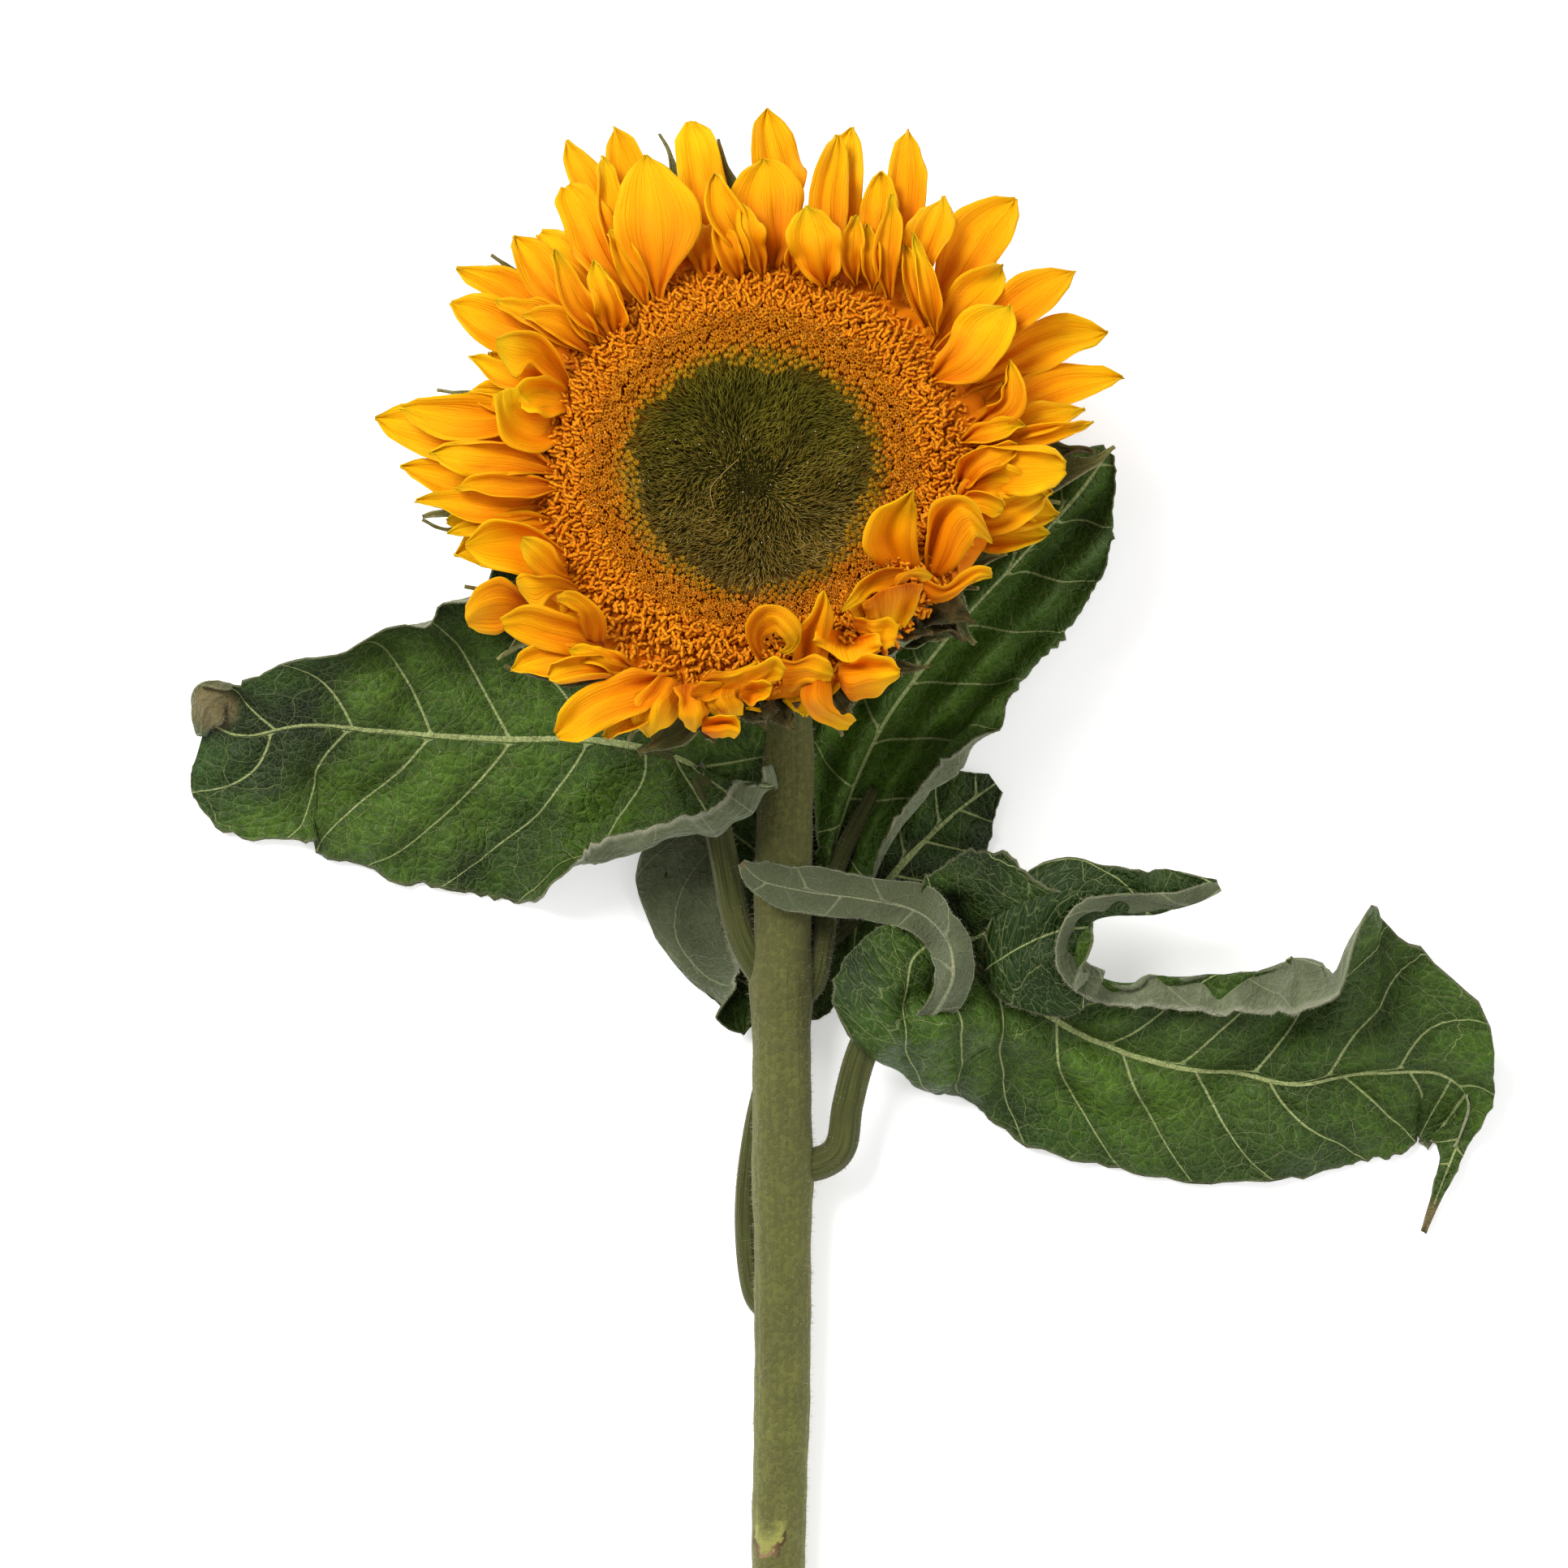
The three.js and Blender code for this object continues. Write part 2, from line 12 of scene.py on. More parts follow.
import bpy
import numpy as np
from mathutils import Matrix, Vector


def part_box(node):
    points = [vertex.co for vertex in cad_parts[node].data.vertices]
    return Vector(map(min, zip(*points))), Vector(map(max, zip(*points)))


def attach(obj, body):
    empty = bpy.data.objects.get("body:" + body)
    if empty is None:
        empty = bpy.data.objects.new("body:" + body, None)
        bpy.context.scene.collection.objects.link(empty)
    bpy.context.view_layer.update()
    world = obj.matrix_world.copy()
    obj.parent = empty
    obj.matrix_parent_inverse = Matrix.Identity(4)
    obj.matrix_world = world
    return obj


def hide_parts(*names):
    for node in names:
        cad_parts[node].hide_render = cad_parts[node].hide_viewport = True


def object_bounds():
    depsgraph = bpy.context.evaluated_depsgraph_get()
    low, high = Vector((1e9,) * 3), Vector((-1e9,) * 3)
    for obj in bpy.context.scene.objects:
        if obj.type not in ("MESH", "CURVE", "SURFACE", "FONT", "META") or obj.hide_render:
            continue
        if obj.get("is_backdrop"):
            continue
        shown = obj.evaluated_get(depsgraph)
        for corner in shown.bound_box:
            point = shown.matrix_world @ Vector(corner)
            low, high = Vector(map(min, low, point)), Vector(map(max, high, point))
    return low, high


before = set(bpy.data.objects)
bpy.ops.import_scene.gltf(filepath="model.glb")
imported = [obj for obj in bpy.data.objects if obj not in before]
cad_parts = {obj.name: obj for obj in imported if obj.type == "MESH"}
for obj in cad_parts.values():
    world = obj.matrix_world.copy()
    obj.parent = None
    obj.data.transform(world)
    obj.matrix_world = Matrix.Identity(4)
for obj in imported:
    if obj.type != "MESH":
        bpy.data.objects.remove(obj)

cad_low, cad_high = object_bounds()
cad_box = [list(cad_low), list(cad_high)]
print("CAD box, mm:", [[round(v * 1000, 1) for v in corner] for corner in cad_box])

# %% [markdown]
# ## Units and places
#
# Plant parts are easiest to think of in millimetres, about an origin on the stem's axis. The disc's
# CAD box says where that origin is: the disc is a turned solid that leans by HEAD_TILT, so its
# middle, its far edge and its lowest edge fix the head's centre. All the rest hangs off that point.

# %% Sizes that the whole flower shares
MM = 0.001
HEAD_TILT = math.radians(17)
HEAD_CENTRE = np.array([-5.0, -0.3, 50.0])
DISC_RADIUS = 36.0
DISC_EDGE_HEIGHT = -2.4
DISC_BOTTOM = -8.0
BASE_DEPTH = 25.0

TILT_SIN, TILT_COS = math.sin(HEAD_TILT), math.cos(HEAD_TILT)
HEAD_AXES = np.array([[1, 0, 0], [0, TILT_COS, -TILT_SIN], [0, TILT_SIN, TILT_COS]])

disc_low, disc_high = (np.array(corner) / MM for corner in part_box("disc"))
head_in_frame = np.array([
    (disc_low[0] + disc_high[0]) / 2,
    disc_high[1] - DISC_RADIUS * TILT_COS - DISC_EDGE_HEIGHT * TILT_SIN,
    disc_low[2] + DISC_RADIUS * TILT_SIN - DISC_BOTTOM * TILT_COS,
])
ORIGIN = head_in_frame - HEAD_CENTRE
print("plant origin in the frame, mm:", ORIGIN.round(2))


def to_frame(points):
    """Plant millimetres to frame metres."""
    return (np.asarray(points, float) + ORIGIN) * MM


def from_head(points):
    """Head coordinates (out to the sides and up from the disc's face) to plant millimetres."""
    return np.asarray(points, float) @ HEAD_AXES + HEAD_CENTRE


# %% [markdown]
# ## Shared shape helpers
#
# Stems, petals, bracts and leaves all grow along a line, so three helpers make most of the flower: a
# smooth curve through a few given stations, a round stalk along such a curve, and a thin sheet
# on a grid of points. Building the sheets as plain vertex grids keeps full control of every fold,
# where a subdivision surface would round the sharp creases away.

# %% Curves
LEAST_LENGTH = 1e-9  # keeps a division by a length safe


def unit(vectors):
    return vectors / np.maximum(np.linalg.norm(vectors, axis=-1, keepdims=True), LEAST_LENGTH)


def smooth_rows(rows, count):
    """Catmull-Rom interpolation through rows of numbers, at even steps."""
    rows = np.asarray(rows, float)
    last = len(rows) - 1
    t = np.linspace(0, last, count)
    i = np.minimum(t.astype(int), last - 1)
    f = (t - i)[:, None]
    b, c = rows[i], rows[i + 1]
    a = np.where((i == 0)[:, None], 2 * b - c, rows[np.maximum(i - 1, 0)])
    d = np.where((i == last - 1)[:, None], 2 * c - b, rows[np.minimum(i + 2, last)])
    return 0.5 * (2 * b + (c - a) * f + (2 * a - 5 * b + 4 * c - d) * f**2 + (3 * b - a - 3 * c + d) * f**3)


def smoothstep(low, high, x):
    t = np.clip((np.asarray(x, float) - low) / (high - low), 0, 1)
    return t * t * (3 - 2 * t)


def running_length(points):
    steps = np.linalg.norm(np.diff(points, axis=0), axis=-1)
    return np.concatenate([[0], np.cumsum(steps)])


# %% Meshes from arrays
def make_object(name, points, faces, materials, fields=None, face_material=None, smooth=True):
    """A mesh object from plant millimetres, with named float fields on its points."""
    mesh = bpy.data.meshes.new(name)
    mesh.from_pydata(to_frame(points).tolist(), [], faces)
    for material in materials:
        mesh.materials.append(material)
    if face_material is not None:
        mesh.polygons.foreach_set("material_index", np.asarray(face_material, dtype=np.int32))
    if smooth:
        mesh.polygons.foreach_set("use_smooth", np.ones(len(mesh.polygons), dtype=bool))
    for key, values in (fields or {}).items():
        layer = mesh.attributes.new(key, "FLOAT", "POINT")
        layer.data.foreach_set("value", np.asarray(values, dtype=np.float32).ravel())
    mesh.update()
    piece = bpy.data.objects.new(name, mesh)
    bpy.context.scene.collection.objects.link(piece)
    return piece


class Batch:
    """Collects islands of points, faces and fields, to make one object of them."""

    def __init__(self, keys=()):
        self.points, self.faces, self.material = [], [], []
        self.fields = {key: [] for key in keys}
        self.count = 0

    def add(self, points, faces, material=0, **fields):
        self.points.append(np.asarray(points, float))
        self.faces.extend((np.asarray(f) + self.count).tolist() for f in faces)
        self.material.extend([material] * len(faces) if np.isscalar(material) else list(material))
        for key in self.fields:
            value = fields.get(key, 0.0)
            self.fields[key].append(np.broadcast_to(np.asarray(value, float).ravel(), (len(points),)))
        self.count += len(points)

    def build(self, name, materials, smooth=True):
        points = np.concatenate(self.points)
        fields = {key: np.concatenate(parts) for key, parts in self.fields.items()}
        return make_object(name, points, self.faces, materials, fields, self.material, smooth)


# %% Round stalks and thin sheets
def ring_faces(rings, sides):
    """Quads between rings of points, and an end cap at both ends."""
    faces = []
    for i in range(rings - 1):
        for k in range(sides):
            n = (k + 1) % sides
            faces.append((i * sides + k, i * sides + n, (i + 1) * sides + n, (i + 1) * sides + k))
    faces.append(tuple(range(sides - 1, -1, -1)))
    faces.append(tuple((rings - 1) * sides + k for k in range(sides)))
    return faces


def stalk(centres, radii, sides, directions=None, shape=None):
    """A round tapering stalk: its points and faces, with the distance along and the turn around."""
    centres = np.asarray(centres, float)
    if directions is None:
        directions = unit(np.gradient(centres, axis=0))
    side = unit(np.cross([0, 0, 1.0], directions[0]))
    turn = np.linspace(0, 2 * np.pi, sides, endpoint=False)
    swell = np.ones(sides) if shape is None else shape(turn)
    points = []
    for centre, direction, radius in zip(centres, directions, radii):
        side = unit(side - side.dot(direction) * direction)
        up = np.cross(direction, side)
        r = radius * swell
        points.append(centre + np.outer(r * np.cos(turn), side) + np.outer(r * np.sin(turn), up))
    distance = np.repeat(running_length(centres), sides)
    return np.concatenate(points), ring_faces(len(centres), sides), distance, np.tile(turn, len(centres))


def grid_normals(grid):
    across = np.gradient(grid, axis=1)
    along = np.gradient(grid, axis=0)
    return unit(np.cross(across, along))


def sheet(grid, above, below):
    """A closed thin sheet around a grid: points, faces, and which faces are its underside."""
    rows, columns = grid.shape[:2]
    normals = grid_normals(grid)
    upper = grid + normals * np.broadcast_to(above, (rows, columns))[..., None]
    lower = grid - normals * np.broadcast_to(below, (rows, columns))[..., None]
    points = np.concatenate([upper.reshape(-1, 3), lower.reshape(-1, 3)])
    index = np.arange(rows * columns).reshape(rows, columns)
    quads = np.stack([index[:-1, :-1], index[:-1, 1:], index[1:, 1:], index[1:, :-1]], -1).reshape(-1, 4)
    under = quads[:, ::-1] + rows * columns
    edge = np.concatenate([index[0, :-1], index[:-1, -1], index[-1, :0:-1], index[:0:-1, 0]])
    after = np.roll(edge, -1)
    rim = np.stack([edge, edge + rows * columns, after + rows * columns, after], -1)
    faces = np.concatenate([quads, under, rim]).tolist()
    return points, faces, np.array([0] * len(quads) + [1] * len(under) + [0] * len(rim))


def twice(values):
    """A grid of values for both faces of a sheet."""
    flat = np.asarray(values, float).ravel()
    return np.concatenate([flat, flat])


# %% [markdown]
# ## Shared shader effects
#
# Three effects come back in most finishes of a plant: blotches of lighter and darker tissue, fine
# ribs along a petal or stem, and the net of small veins. Each is a node group with named sockets that
# puts out a mask, so every material can weigh it in its own colours.

# %% Node helpers
def rgb(red, green, blue):
    """An sRGB colour, 0 to 255, as a linear RGBA value."""
    channels = [c / 255 for c in (red, green, blue)]
    return [c / 12.92 if c <= 0.04045 else ((c + 0.055) / 1.055) ** 2.4 for c in channels] + [1.0]


class Graph:
    """Short words for adding nodes and wires."""

    def __init__(self, tree):
        self.tree = tree

    def node(self, kind, **settings):
        made = self.tree.nodes.new(kind)
        inputs = settings.pop("inputs", {})
        for key, value in settings.items():
            setattr(made, key, value)
        for key, value in inputs.items():
            self.feed(made.inputs[key], value)
        return made

    def feed(self, socket, value):
        if isinstance(value, bpy.types.NodeSocket):
            self.tree.links.new(value, socket)
        elif value is not None:
            socket.default_value = value

    def math(self, operation, a, b=None, c=None):
        made = self.node("ShaderNodeMath", operation=operation)
        for socket, value in zip(made.inputs, (a, b, c)):
            self.feed(socket, value)
        return made.outputs[0]

    def mix(self, share, a, b):
        made = self.node("ShaderNodeMix", data_type="RGBA")
        self.feed(made.inputs[0], share)
        self.feed(made.inputs[6], a)
        self.feed(made.inputs[7], b)
        return made.outputs[2]

    def over(self, tone, colour, mask, strength):
        """Lay a colour over a tone where a mask is, at a part of its strength."""
        return self.mix(self.math("MULTIPLY", mask, strength), tone, colour)

    def remap(self, value, low, high, to_low=0.0, to_high=1.0):
        made = self.node("ShaderNodeMapRange", interpolation_type="SMOOTHSTEP")
        for socket, number in zip(made.inputs, (value, low, high, to_low, to_high)):
            self.feed(socket, number)
        return made.outputs[0]

    def field(self, name):
        return self.node("ShaderNodeAttribute", attribute_name=name).outputs["Fac"]

    def ramp(self, share, stops):
        made = self.node("ShaderNodeValToRGB")
        elements = made.color_ramp.elements
        while len(elements) < len(stops):
            elements.new(0.5)
        for element, (place, colour) in zip(elements, stops):
            element.position = place
            element.color = colour
        self.feed(made.inputs[0], share)
        return made.outputs[0]

    def object_place(self):
        return self.node("ShaderNodeTexCoord").outputs["Object"]

    def use(self, group, **inputs):
        made = self.node("ShaderNodeGroup", node_tree=group)
        for key, value in inputs.items():
            self.feed(made.inputs[key.replace("_", " ")], value)
        return made


def make_group(name, inputs, outputs):
    """A shader node group with named sockets, and the graph to fill it."""
    group = bpy.data.node_groups.new(name, "ShaderNodeTree")
    for socket, (kind, value) in inputs.items():
        made = group.interface.new_socket(socket, in_out="INPUT", socket_type=kind)
        if value is not None:
            made.default_value = value
    for socket, kind in outputs.items():
        group.interface.new_socket(socket, in_out="OUTPUT", socket_type=kind)
    graph = Graph(group)
    start = graph.node("NodeGroupInput")
    end = graph.node("NodeGroupOutput")
    return group, graph, start.outputs, end.inputs


# %% Blotches
blotches, g, source, result = make_group(
    "blotches",
    {"Size": ("NodeSocketFloat", 0.006), "Sharpness": ("NodeSocketFloat", 0.5)},
    {"Mask": "NodeSocketFloat"},
)
scale = g.math("DIVIDE", 1.0, source["Size"])
cloud = g.node("ShaderNodeTexNoise", inputs={"Vector": g.object_place(), "Scale": scale, "Detail": 4.0})
half_band = g.math("MULTIPLY_ADD", source["Sharpness"], -0.24, 0.25)
low = g.math("SUBTRACT", 0.5, half_band)
high = g.math("ADD", 0.5, half_band)
g.feed(result["Mask"], g.remap(cloud.outputs[0], low, high))
print("made node group", blotches.name)


def spots(graph, size, sharpness=0.5):
    """The blotch mask, at a size in metres."""
    return graph.use(blotches, Size=size, Sharpness=sharpness).outputs[0]


# %% Ribs along a petal, bract or stem
fine_ribs, g, source, result = make_group(
    "fine_ribs",
    {"Across": ("NodeSocketFloat", 0.0), "Along": ("NodeSocketFloat", 0.0),
     "Pitch": ("NodeSocketFloat", 0.8), "Waver": ("NodeSocketFloat", 0.3)},
    {"Mask": "NodeSocketFloat"},
)
spot = g.node("ShaderNodeCombineXYZ", inputs={
    "X": g.math("DIVIDE", source["Across"], source["Pitch"]),
    "Y": g.math("MULTIPLY", source["Along"], 0.06),
})
streak = g.node("ShaderNodeTexNoise", inputs={"Vector": spot.outputs[0], "Scale": 1.0, "Detail": 3.0,
                                              "Distortion": source["Waver"]})
g.feed(result["Mask"], g.remap(streak.outputs[0], 0.3, 0.7))
print("made node group", fine_ribs.name)

# %% The net of veins in a leaf
# Phase counts the side veins along the midrib and is whole on a vein. Spacing is their distance
# apart, so that their product is a distance in millimetres. The fine net is the borders of cells.
vein_net, g, source, result = make_group(
    "vein_net",
    {"Phase": ("NodeSocketFloat", 0.0), "Spacing": ("NodeSocketFloat", 10.0),
     "Along": ("NodeSocketFloat", 0.0), "Across": ("NodeSocketFloat", 0.0),
     "Midrib Width": ("NodeSocketFloat", 0.9), "Side Width": ("NodeSocketFloat", 0.4)},
    {"Midrib": "NodeSocketFloat", "Side Veins": "NodeSocketFloat", "Net": "NodeSocketFloat",
     "Small Net": "NodeSocketFloat", "Fine Net": "NodeSocketFloat", "Pillow": "NodeSocketFloat",
     "Painted Valley Shade": "NodeSocketFloat"},
)
reach = g.math("ABSOLUTE", source["Across"])
g.feed(result["Midrib"], g.remap(reach, g.math("MULTIPLY", source["Midrib Width"], 0.45),
                                 g.math("MULTIPLY", source["Midrib Width"], 0.62), 1.0, 0.0))
to_vein = g.math("MULTIPLY", g.math("PINGPONG", source["Phase"], 0.5), source["Spacing"])
g.feed(result["Side Veins"], g.remap(to_vein, g.math("MULTIPLY", source["Side Width"], 0.35),
                                     source["Side Width"], 1.0, 0.0))
# Painted shade beside the side veins and the midrib, in the valleys of the quilted blade.
g.feed(result["Painted Valley Shade"], g.remap(g.math("MINIMUM", to_vein, reach), 0.3, 3.2, 1.0, 0.0))
flat = g.node("ShaderNodeCombineXYZ", inputs={"X": source["Along"], "Y": source["Across"]})
waver = g.node("ShaderNodeTexNoise", inputs={"Vector": flat.outputs[0], "Scale": 0.25, "Detail": 2.0})
shift = g.node("ShaderNodeVectorMath", operation="MULTIPLY_ADD",
               inputs={0: waver.outputs["Color"], 1: (2.6, 2.6, 0.0), 2: flat.outputs[0]})
NETS = [  # output, cells to a millimetre, and where a border's core and its soft edge end
    ("Net", 0.17, 0.006, 0.02), ("Small Net", 0.5, 0.008, 0.028), ("Fine Net", 1.3, 0.02, 0.11),
]
for label, cells, thin, thick in NETS:
    border = g.node("ShaderNodeTexVoronoi", feature="DISTANCE_TO_EDGE", voronoi_dimensions="2D",
                    inputs={"Vector": shift.outputs[0], "Scale": cells})
    g.feed(result[label], g.remap(border.outputs["Distance"], thin, thick, 1.0, 0.0))
    if label == "Small Net":
        g.feed(result["Pillow"], g.remap(border.outputs["Distance"], 0.0, 0.3))
print("made node group", vein_net.name)


# %% A material with its shader
def new_material(name, roughness=0.6, sheen=0.0, sheen_tint=None, subsurface=0.0, specular=0.5):
    """A Principled material with its fixed values set on the shader's own sockets."""
    material = bpy.data.materials.new(name)
    material.use_nodes = True
    graph = Graph(material.node_tree)
    shader = material.node_tree.nodes["Principled BSDF"]
    shader.inputs["Roughness"].default_value = roughness
    shader.inputs["Specular IOR Level"].default_value = specular
    shader.inputs["Sheen Weight"].default_value = sheen
    shader.inputs["Sheen Roughness"].default_value = 0.5
    if sheen_tint:
        shader.inputs["Sheen Tint"].default_value = sheen_tint
    if subsurface:
        shader.inputs["Subsurface Weight"].default_value = subsurface
        shader.inputs["Subsurface Radius"].default_value = (1.0, 0.45, 0.12)
        shader.inputs["Subsurface Scale"].default_value = 0.0012
    return material, graph, shader.inputs


def add_bump(graph, shader_inputs, height, distance):
    bump = graph.node("ShaderNodeBump", inputs={"Height": height, "Strength": 1.0, "Distance": distance})
    graph.feed(shader_inputs["Normal"], bump.outputs[0])


# %% [markdown]
# ## Hairs
#
# A sunflower is rough with short pale bristles on its stem, petioles, bracts and leaf margins. They
# make the soft light edge that the plant has against any background. Hair systems don't leave
# Blender with the mesh, so each hair is a thin three-sided spike, and whole batches are made at once.

# %% Hair spikes
THIRDS_OF_A_TURN = (0, 2.0944, 4.1888)


def add_hairs(batch, roots, directions, lengths, width):
    """Three-sided spikes that stand on points, as part of a batch."""
    directions = unit(directions)
    helper = np.where(np.abs(directions[:, 2:3]) > 0.9, [[1.0, 0, 0]], [[0, 0, 1.0]])
    side = unit(np.cross(directions, helper))
    other = np.cross(directions, side)
    corners = []
    for turn in THIRDS_OF_A_TURN:
        corners.append(roots + width * (math.cos(turn) * side + math.sin(turn) * other))
    tips = roots + directions * np.asarray(lengths)[:, None]
    points = np.stack(corners + [tips], 1).reshape(-1, 3)
    first = 4 * np.arange(len(roots))[:, None]
    faces = np.concatenate([first + [0, 1, 3], first + [1, 2, 3], first + [2, 0, 3]])
    batch.add(points, faces)


hair_material, g, shader = new_material("pale_hair", roughness=0.5, sheen=0.2)
tone = g.mix(spots(g, 0.004), rgb(176, 170, 140), rgb(120, 116, 88))
g.feed(shader["Base Color"], tone)
print("made material", hair_material.name)

# %% [markdown]
# # The stem
#
# The stem is a stout green stalk, a little ribbed, that lies on the table and bends up in its last
# stretch to carry the head. It is cut square, so the cut end shows a green ring around white pith. It
# could be a curve with a bevel, but a lofted mesh also takes the ribs, the old leaf scar and a dished
# cut face.

# %% Stem material
# The leaf scar, in mm along the stem from the cut and around it from its left side.
SCAR_ALONG, SCAR_AROUND, SCAR_WIDTH, SCAR_HEIGHT = 23.2, 5.5, 3.5, 3.4
stem_material, g, shader = new_material("stem_skin", roughness=0.7, sheen=0.3,
                                        sheen_tint=rgb(216, 212, 180), specular=0.12)
along, around = g.field("along"), g.field("around")
# Painted light: the stretch below the head, which lies in its shade, is painted lighter.
tone = g.ramp(g.remap(along, 0.0, 215.0), [
    (0.0, rgb(108, 110, 54)), (0.35, rgb(96, 100, 48)), (0.7, rgb(92, 94, 46)), (1.0, rgb(118, 118, 64))])
ribs = g.use(fine_ribs, Across=around, Along=along, Pitch=0.9, Waver=0.2).outputs[0]
tone = g.over(tone, rgb(120, 116, 66), ribs, 0.4)
patches = spots(g, 0.009)
tone = g.over(tone, rgb(84, 82, 52), patches, 0.35)
grit = spots(g, 0.0011, 0.8)
tone = g.over(tone, rgb(64, 66, 38), grit, 0.3)
beside = g.math("DIVIDE", g.math("SUBTRACT", around, SCAR_AROUND), SCAR_WIDTH)
above = g.math("DIVIDE", g.math("SUBTRACT", along, SCAR_ALONG), SCAR_HEIGHT)
waver = g.remap(spots(g, 0.0018), 0.0, 1.0, -0.2, 0.2)
bowl = g.math("ADD", g.math("SUBTRACT", above, g.math("MULTIPLY", beside, beside)), waver)
beside = g.math("ABSOLUTE", beside)
patch = g.math("MULTIPLY", g.remap(bowl, 0.0, 0.3), g.remap(bowl, 0.7, 1.9, 1.0, 0.0))
patch = g.math("MULTIPLY", patch, g.remap(beside, 0.7, 1.2, 1.0, 0.0))
tone = g.mix(patch, tone, rgb(148, 148, 78))
crescent = g.math("MULTIPLY", g.remap(g.math("ABSOLUTE", bowl), 0.1, 0.34, 1.0, 0.0),
                  g.remap(beside, 0.95, 1.2, 1.0, 0.0))
tone = g.mix(crescent, tone, g.mix(g.remap(beside, 0.1, 0.8), rgb(150, 118, 88), rgb(78, 58, 36)))
g.feed(shader["Base Color"], tone)
add_bump(g, shader, g.math("ADD", g.math("MULTIPLY", ribs, 0.7), g.math("MULTIPLY", grit, 0.6)), 0.00016)

pith_material, g, shader = new_material("cut_stem", roughness=0.8)
grain = spots(g, 0.0007, 0.4)
pith = g.mix(grain, rgb(206, 204, 166), rgb(176, 176, 128))
wood = g.mix(grain, rgb(112, 122, 62), rgb(84, 92, 48))
g.feed(shader["Base Color"], g.mix(g.remap(g.field("rim"), 0.74, 0.86), pith, wood))
add_bump(g, shader, grain, 0.0002)
print("made materials", stem_material.name, pith_material.name)

# %% Stem shape
STEM_STATIONS = [
    (-0.3, -216, 4.6, 4.8), (-0.3, -190, 5.4, 4.8), (0.3, -165, 6.3, 5.0), (0.4, -140, 7.5, 5.1),
    (0.3, -115, 8.7, 5.2), (0.2, -92, 9.6, 5.2), (0.6, -68, 10.2, 5.1), (1.1, -46, 10.8, 4.8),
    (0, -28, 12.6, 4.7), (-2.8, -15.5, 17.4, 5), (*from_head([0, 0, -BASE_DEPTH - 0.3]), 6.3),
]
STEM_RINGS, STEM_SIDES = 170, 48
STEM_REACH = 5.0  # the radius that turns an angle into millimetres around the stem
CUT_RINGS = [(1.0, 0.0), (0.97, -0.25), (0.86, -0.1), (0.8, 0.25), (0.5, 0.45), (0.2, 0.5)]  # share, depth
# Where petioles leave, the stem swells: place, reach and height of each swelling.
KNOTS = [((1.0, -91.0, 9.6), 4.2, 0.5), ((-1.0, -91.0, 9.6), 4.6, 0.6), ((1.0, -123.6, 8.3), 5.0, 0.7)]
SCAR_SWELLING, SCAR_LENGTH, SCAR_SPREAD = 0.6, 3.2, 3.6
STEM_HAIRS, STEM_HAIR_LENGTHS, STEM_HAIR_WIDTH, STEM_HAIR_ROOT = 7000, (0.5, 1.25), 0.035, 0.12


def stem_shape(turn):
    return 1 + 0.012 * np.cos(5 * turn + 0.6) + 0.008 * np.cos(9 * turn) + 0.006 * np.cos(14 * turn + 2)


rows = smooth_rows(STEM_STATIONS, STEM_RINGS)
stem_centres, stem_radii = rows[:, :3], rows[:, 3]
stem_directions = unit(np.gradient(stem_centres, axis=0))
stem_directions[-1] = HEAD_AXES[2]
points, faces, along, turn = stalk(stem_centres, stem_radii, STEM_SIDES, stem_directions, stem_shape)
axis = np.repeat(stem_centres, STEM_SIDES, axis=0)
outward = unit(points - axis)
lumps = 0.06 * np.sin(points[:, 1] * 0.33 + 2 * turn) + 0.05 * np.sin(points[:, 1] * 0.81 - turn * 3)
beyond = (along - SCAR_ALONG - 1) / SCAR_LENGTH
beside = (turn * STEM_REACH - SCAR_AROUND) / SCAR_SPREAD
scar = np.exp(-beyond**2 - beside**2)
swelling = sum(size * np.exp(-np.sum((points - place) ** 2, axis=1) / (reach**2 * 2))
               for place, reach, size in KNOTS)
points = points + outward * (lumps + SCAR_SWELLING * scar + swelling)[:, None]

stem_batch = Batch(("along", "around", "rim"))
faces = faces[:-2]
stem_batch.add(points, faces, 0, along=along, around=turn * STEM_REACH)
start = stem_centres[0]
cut_points = [start + (points[:STEM_SIDES] - start) * share + stem_directions[0] * depth
              for share, depth in CUT_RINGS]
cut_faces = ring_faces(len(CUT_RINGS), STEM_SIDES)[:-2]
cut_faces = [face[::-1] for face in cut_faces]
cut_faces.append(tuple((len(CUT_RINGS) - 1) * STEM_SIDES + k for k in reversed(range(STEM_SIDES))))
stem_batch.add(np.concatenate(cut_points), cut_faces, 1,
               rim=np.repeat([share for share, _ in CUT_RINGS], STEM_SIDES))

# %% Stem hairs
random = np.random.default_rng(11)
picked = random.integers(STEM_SIDES * 2, len(points) - STEM_SIDES * 3, STEM_HAIRS)
travel = np.repeat(stem_directions, STEM_SIDES, axis=0)[picked]
jitter = np.cross(outward[picked], travel)
roots = points[picked] + jitter * random.uniform(-0.3, 0.3, (STEM_HAIRS, 1))
roots = roots + random.uniform(-0.5, 0.5, (STEM_HAIRS, 1)) * travel
lean = random.normal(0, 0.35, (STEM_HAIRS, 3))
hair_batch = Batch()
add_hairs(hair_batch, roots - outward[picked] * STEM_HAIR_ROOT, outward[picked] + lean,
          random.uniform(*STEM_HAIR_LENGTHS, STEM_HAIRS), STEM_HAIR_WIDTH)

stem = stem_batch.build("stem_stalk", [stem_material, pith_material])
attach(stem, "root")
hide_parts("stem")
stem_hairs = hair_batch.build("stem_hairs", [hair_material], smooth=False)
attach(stem_hairs, "root")
print("stem faces:", len(stem.data.polygons), "hairs:", STEM_HAIRS)

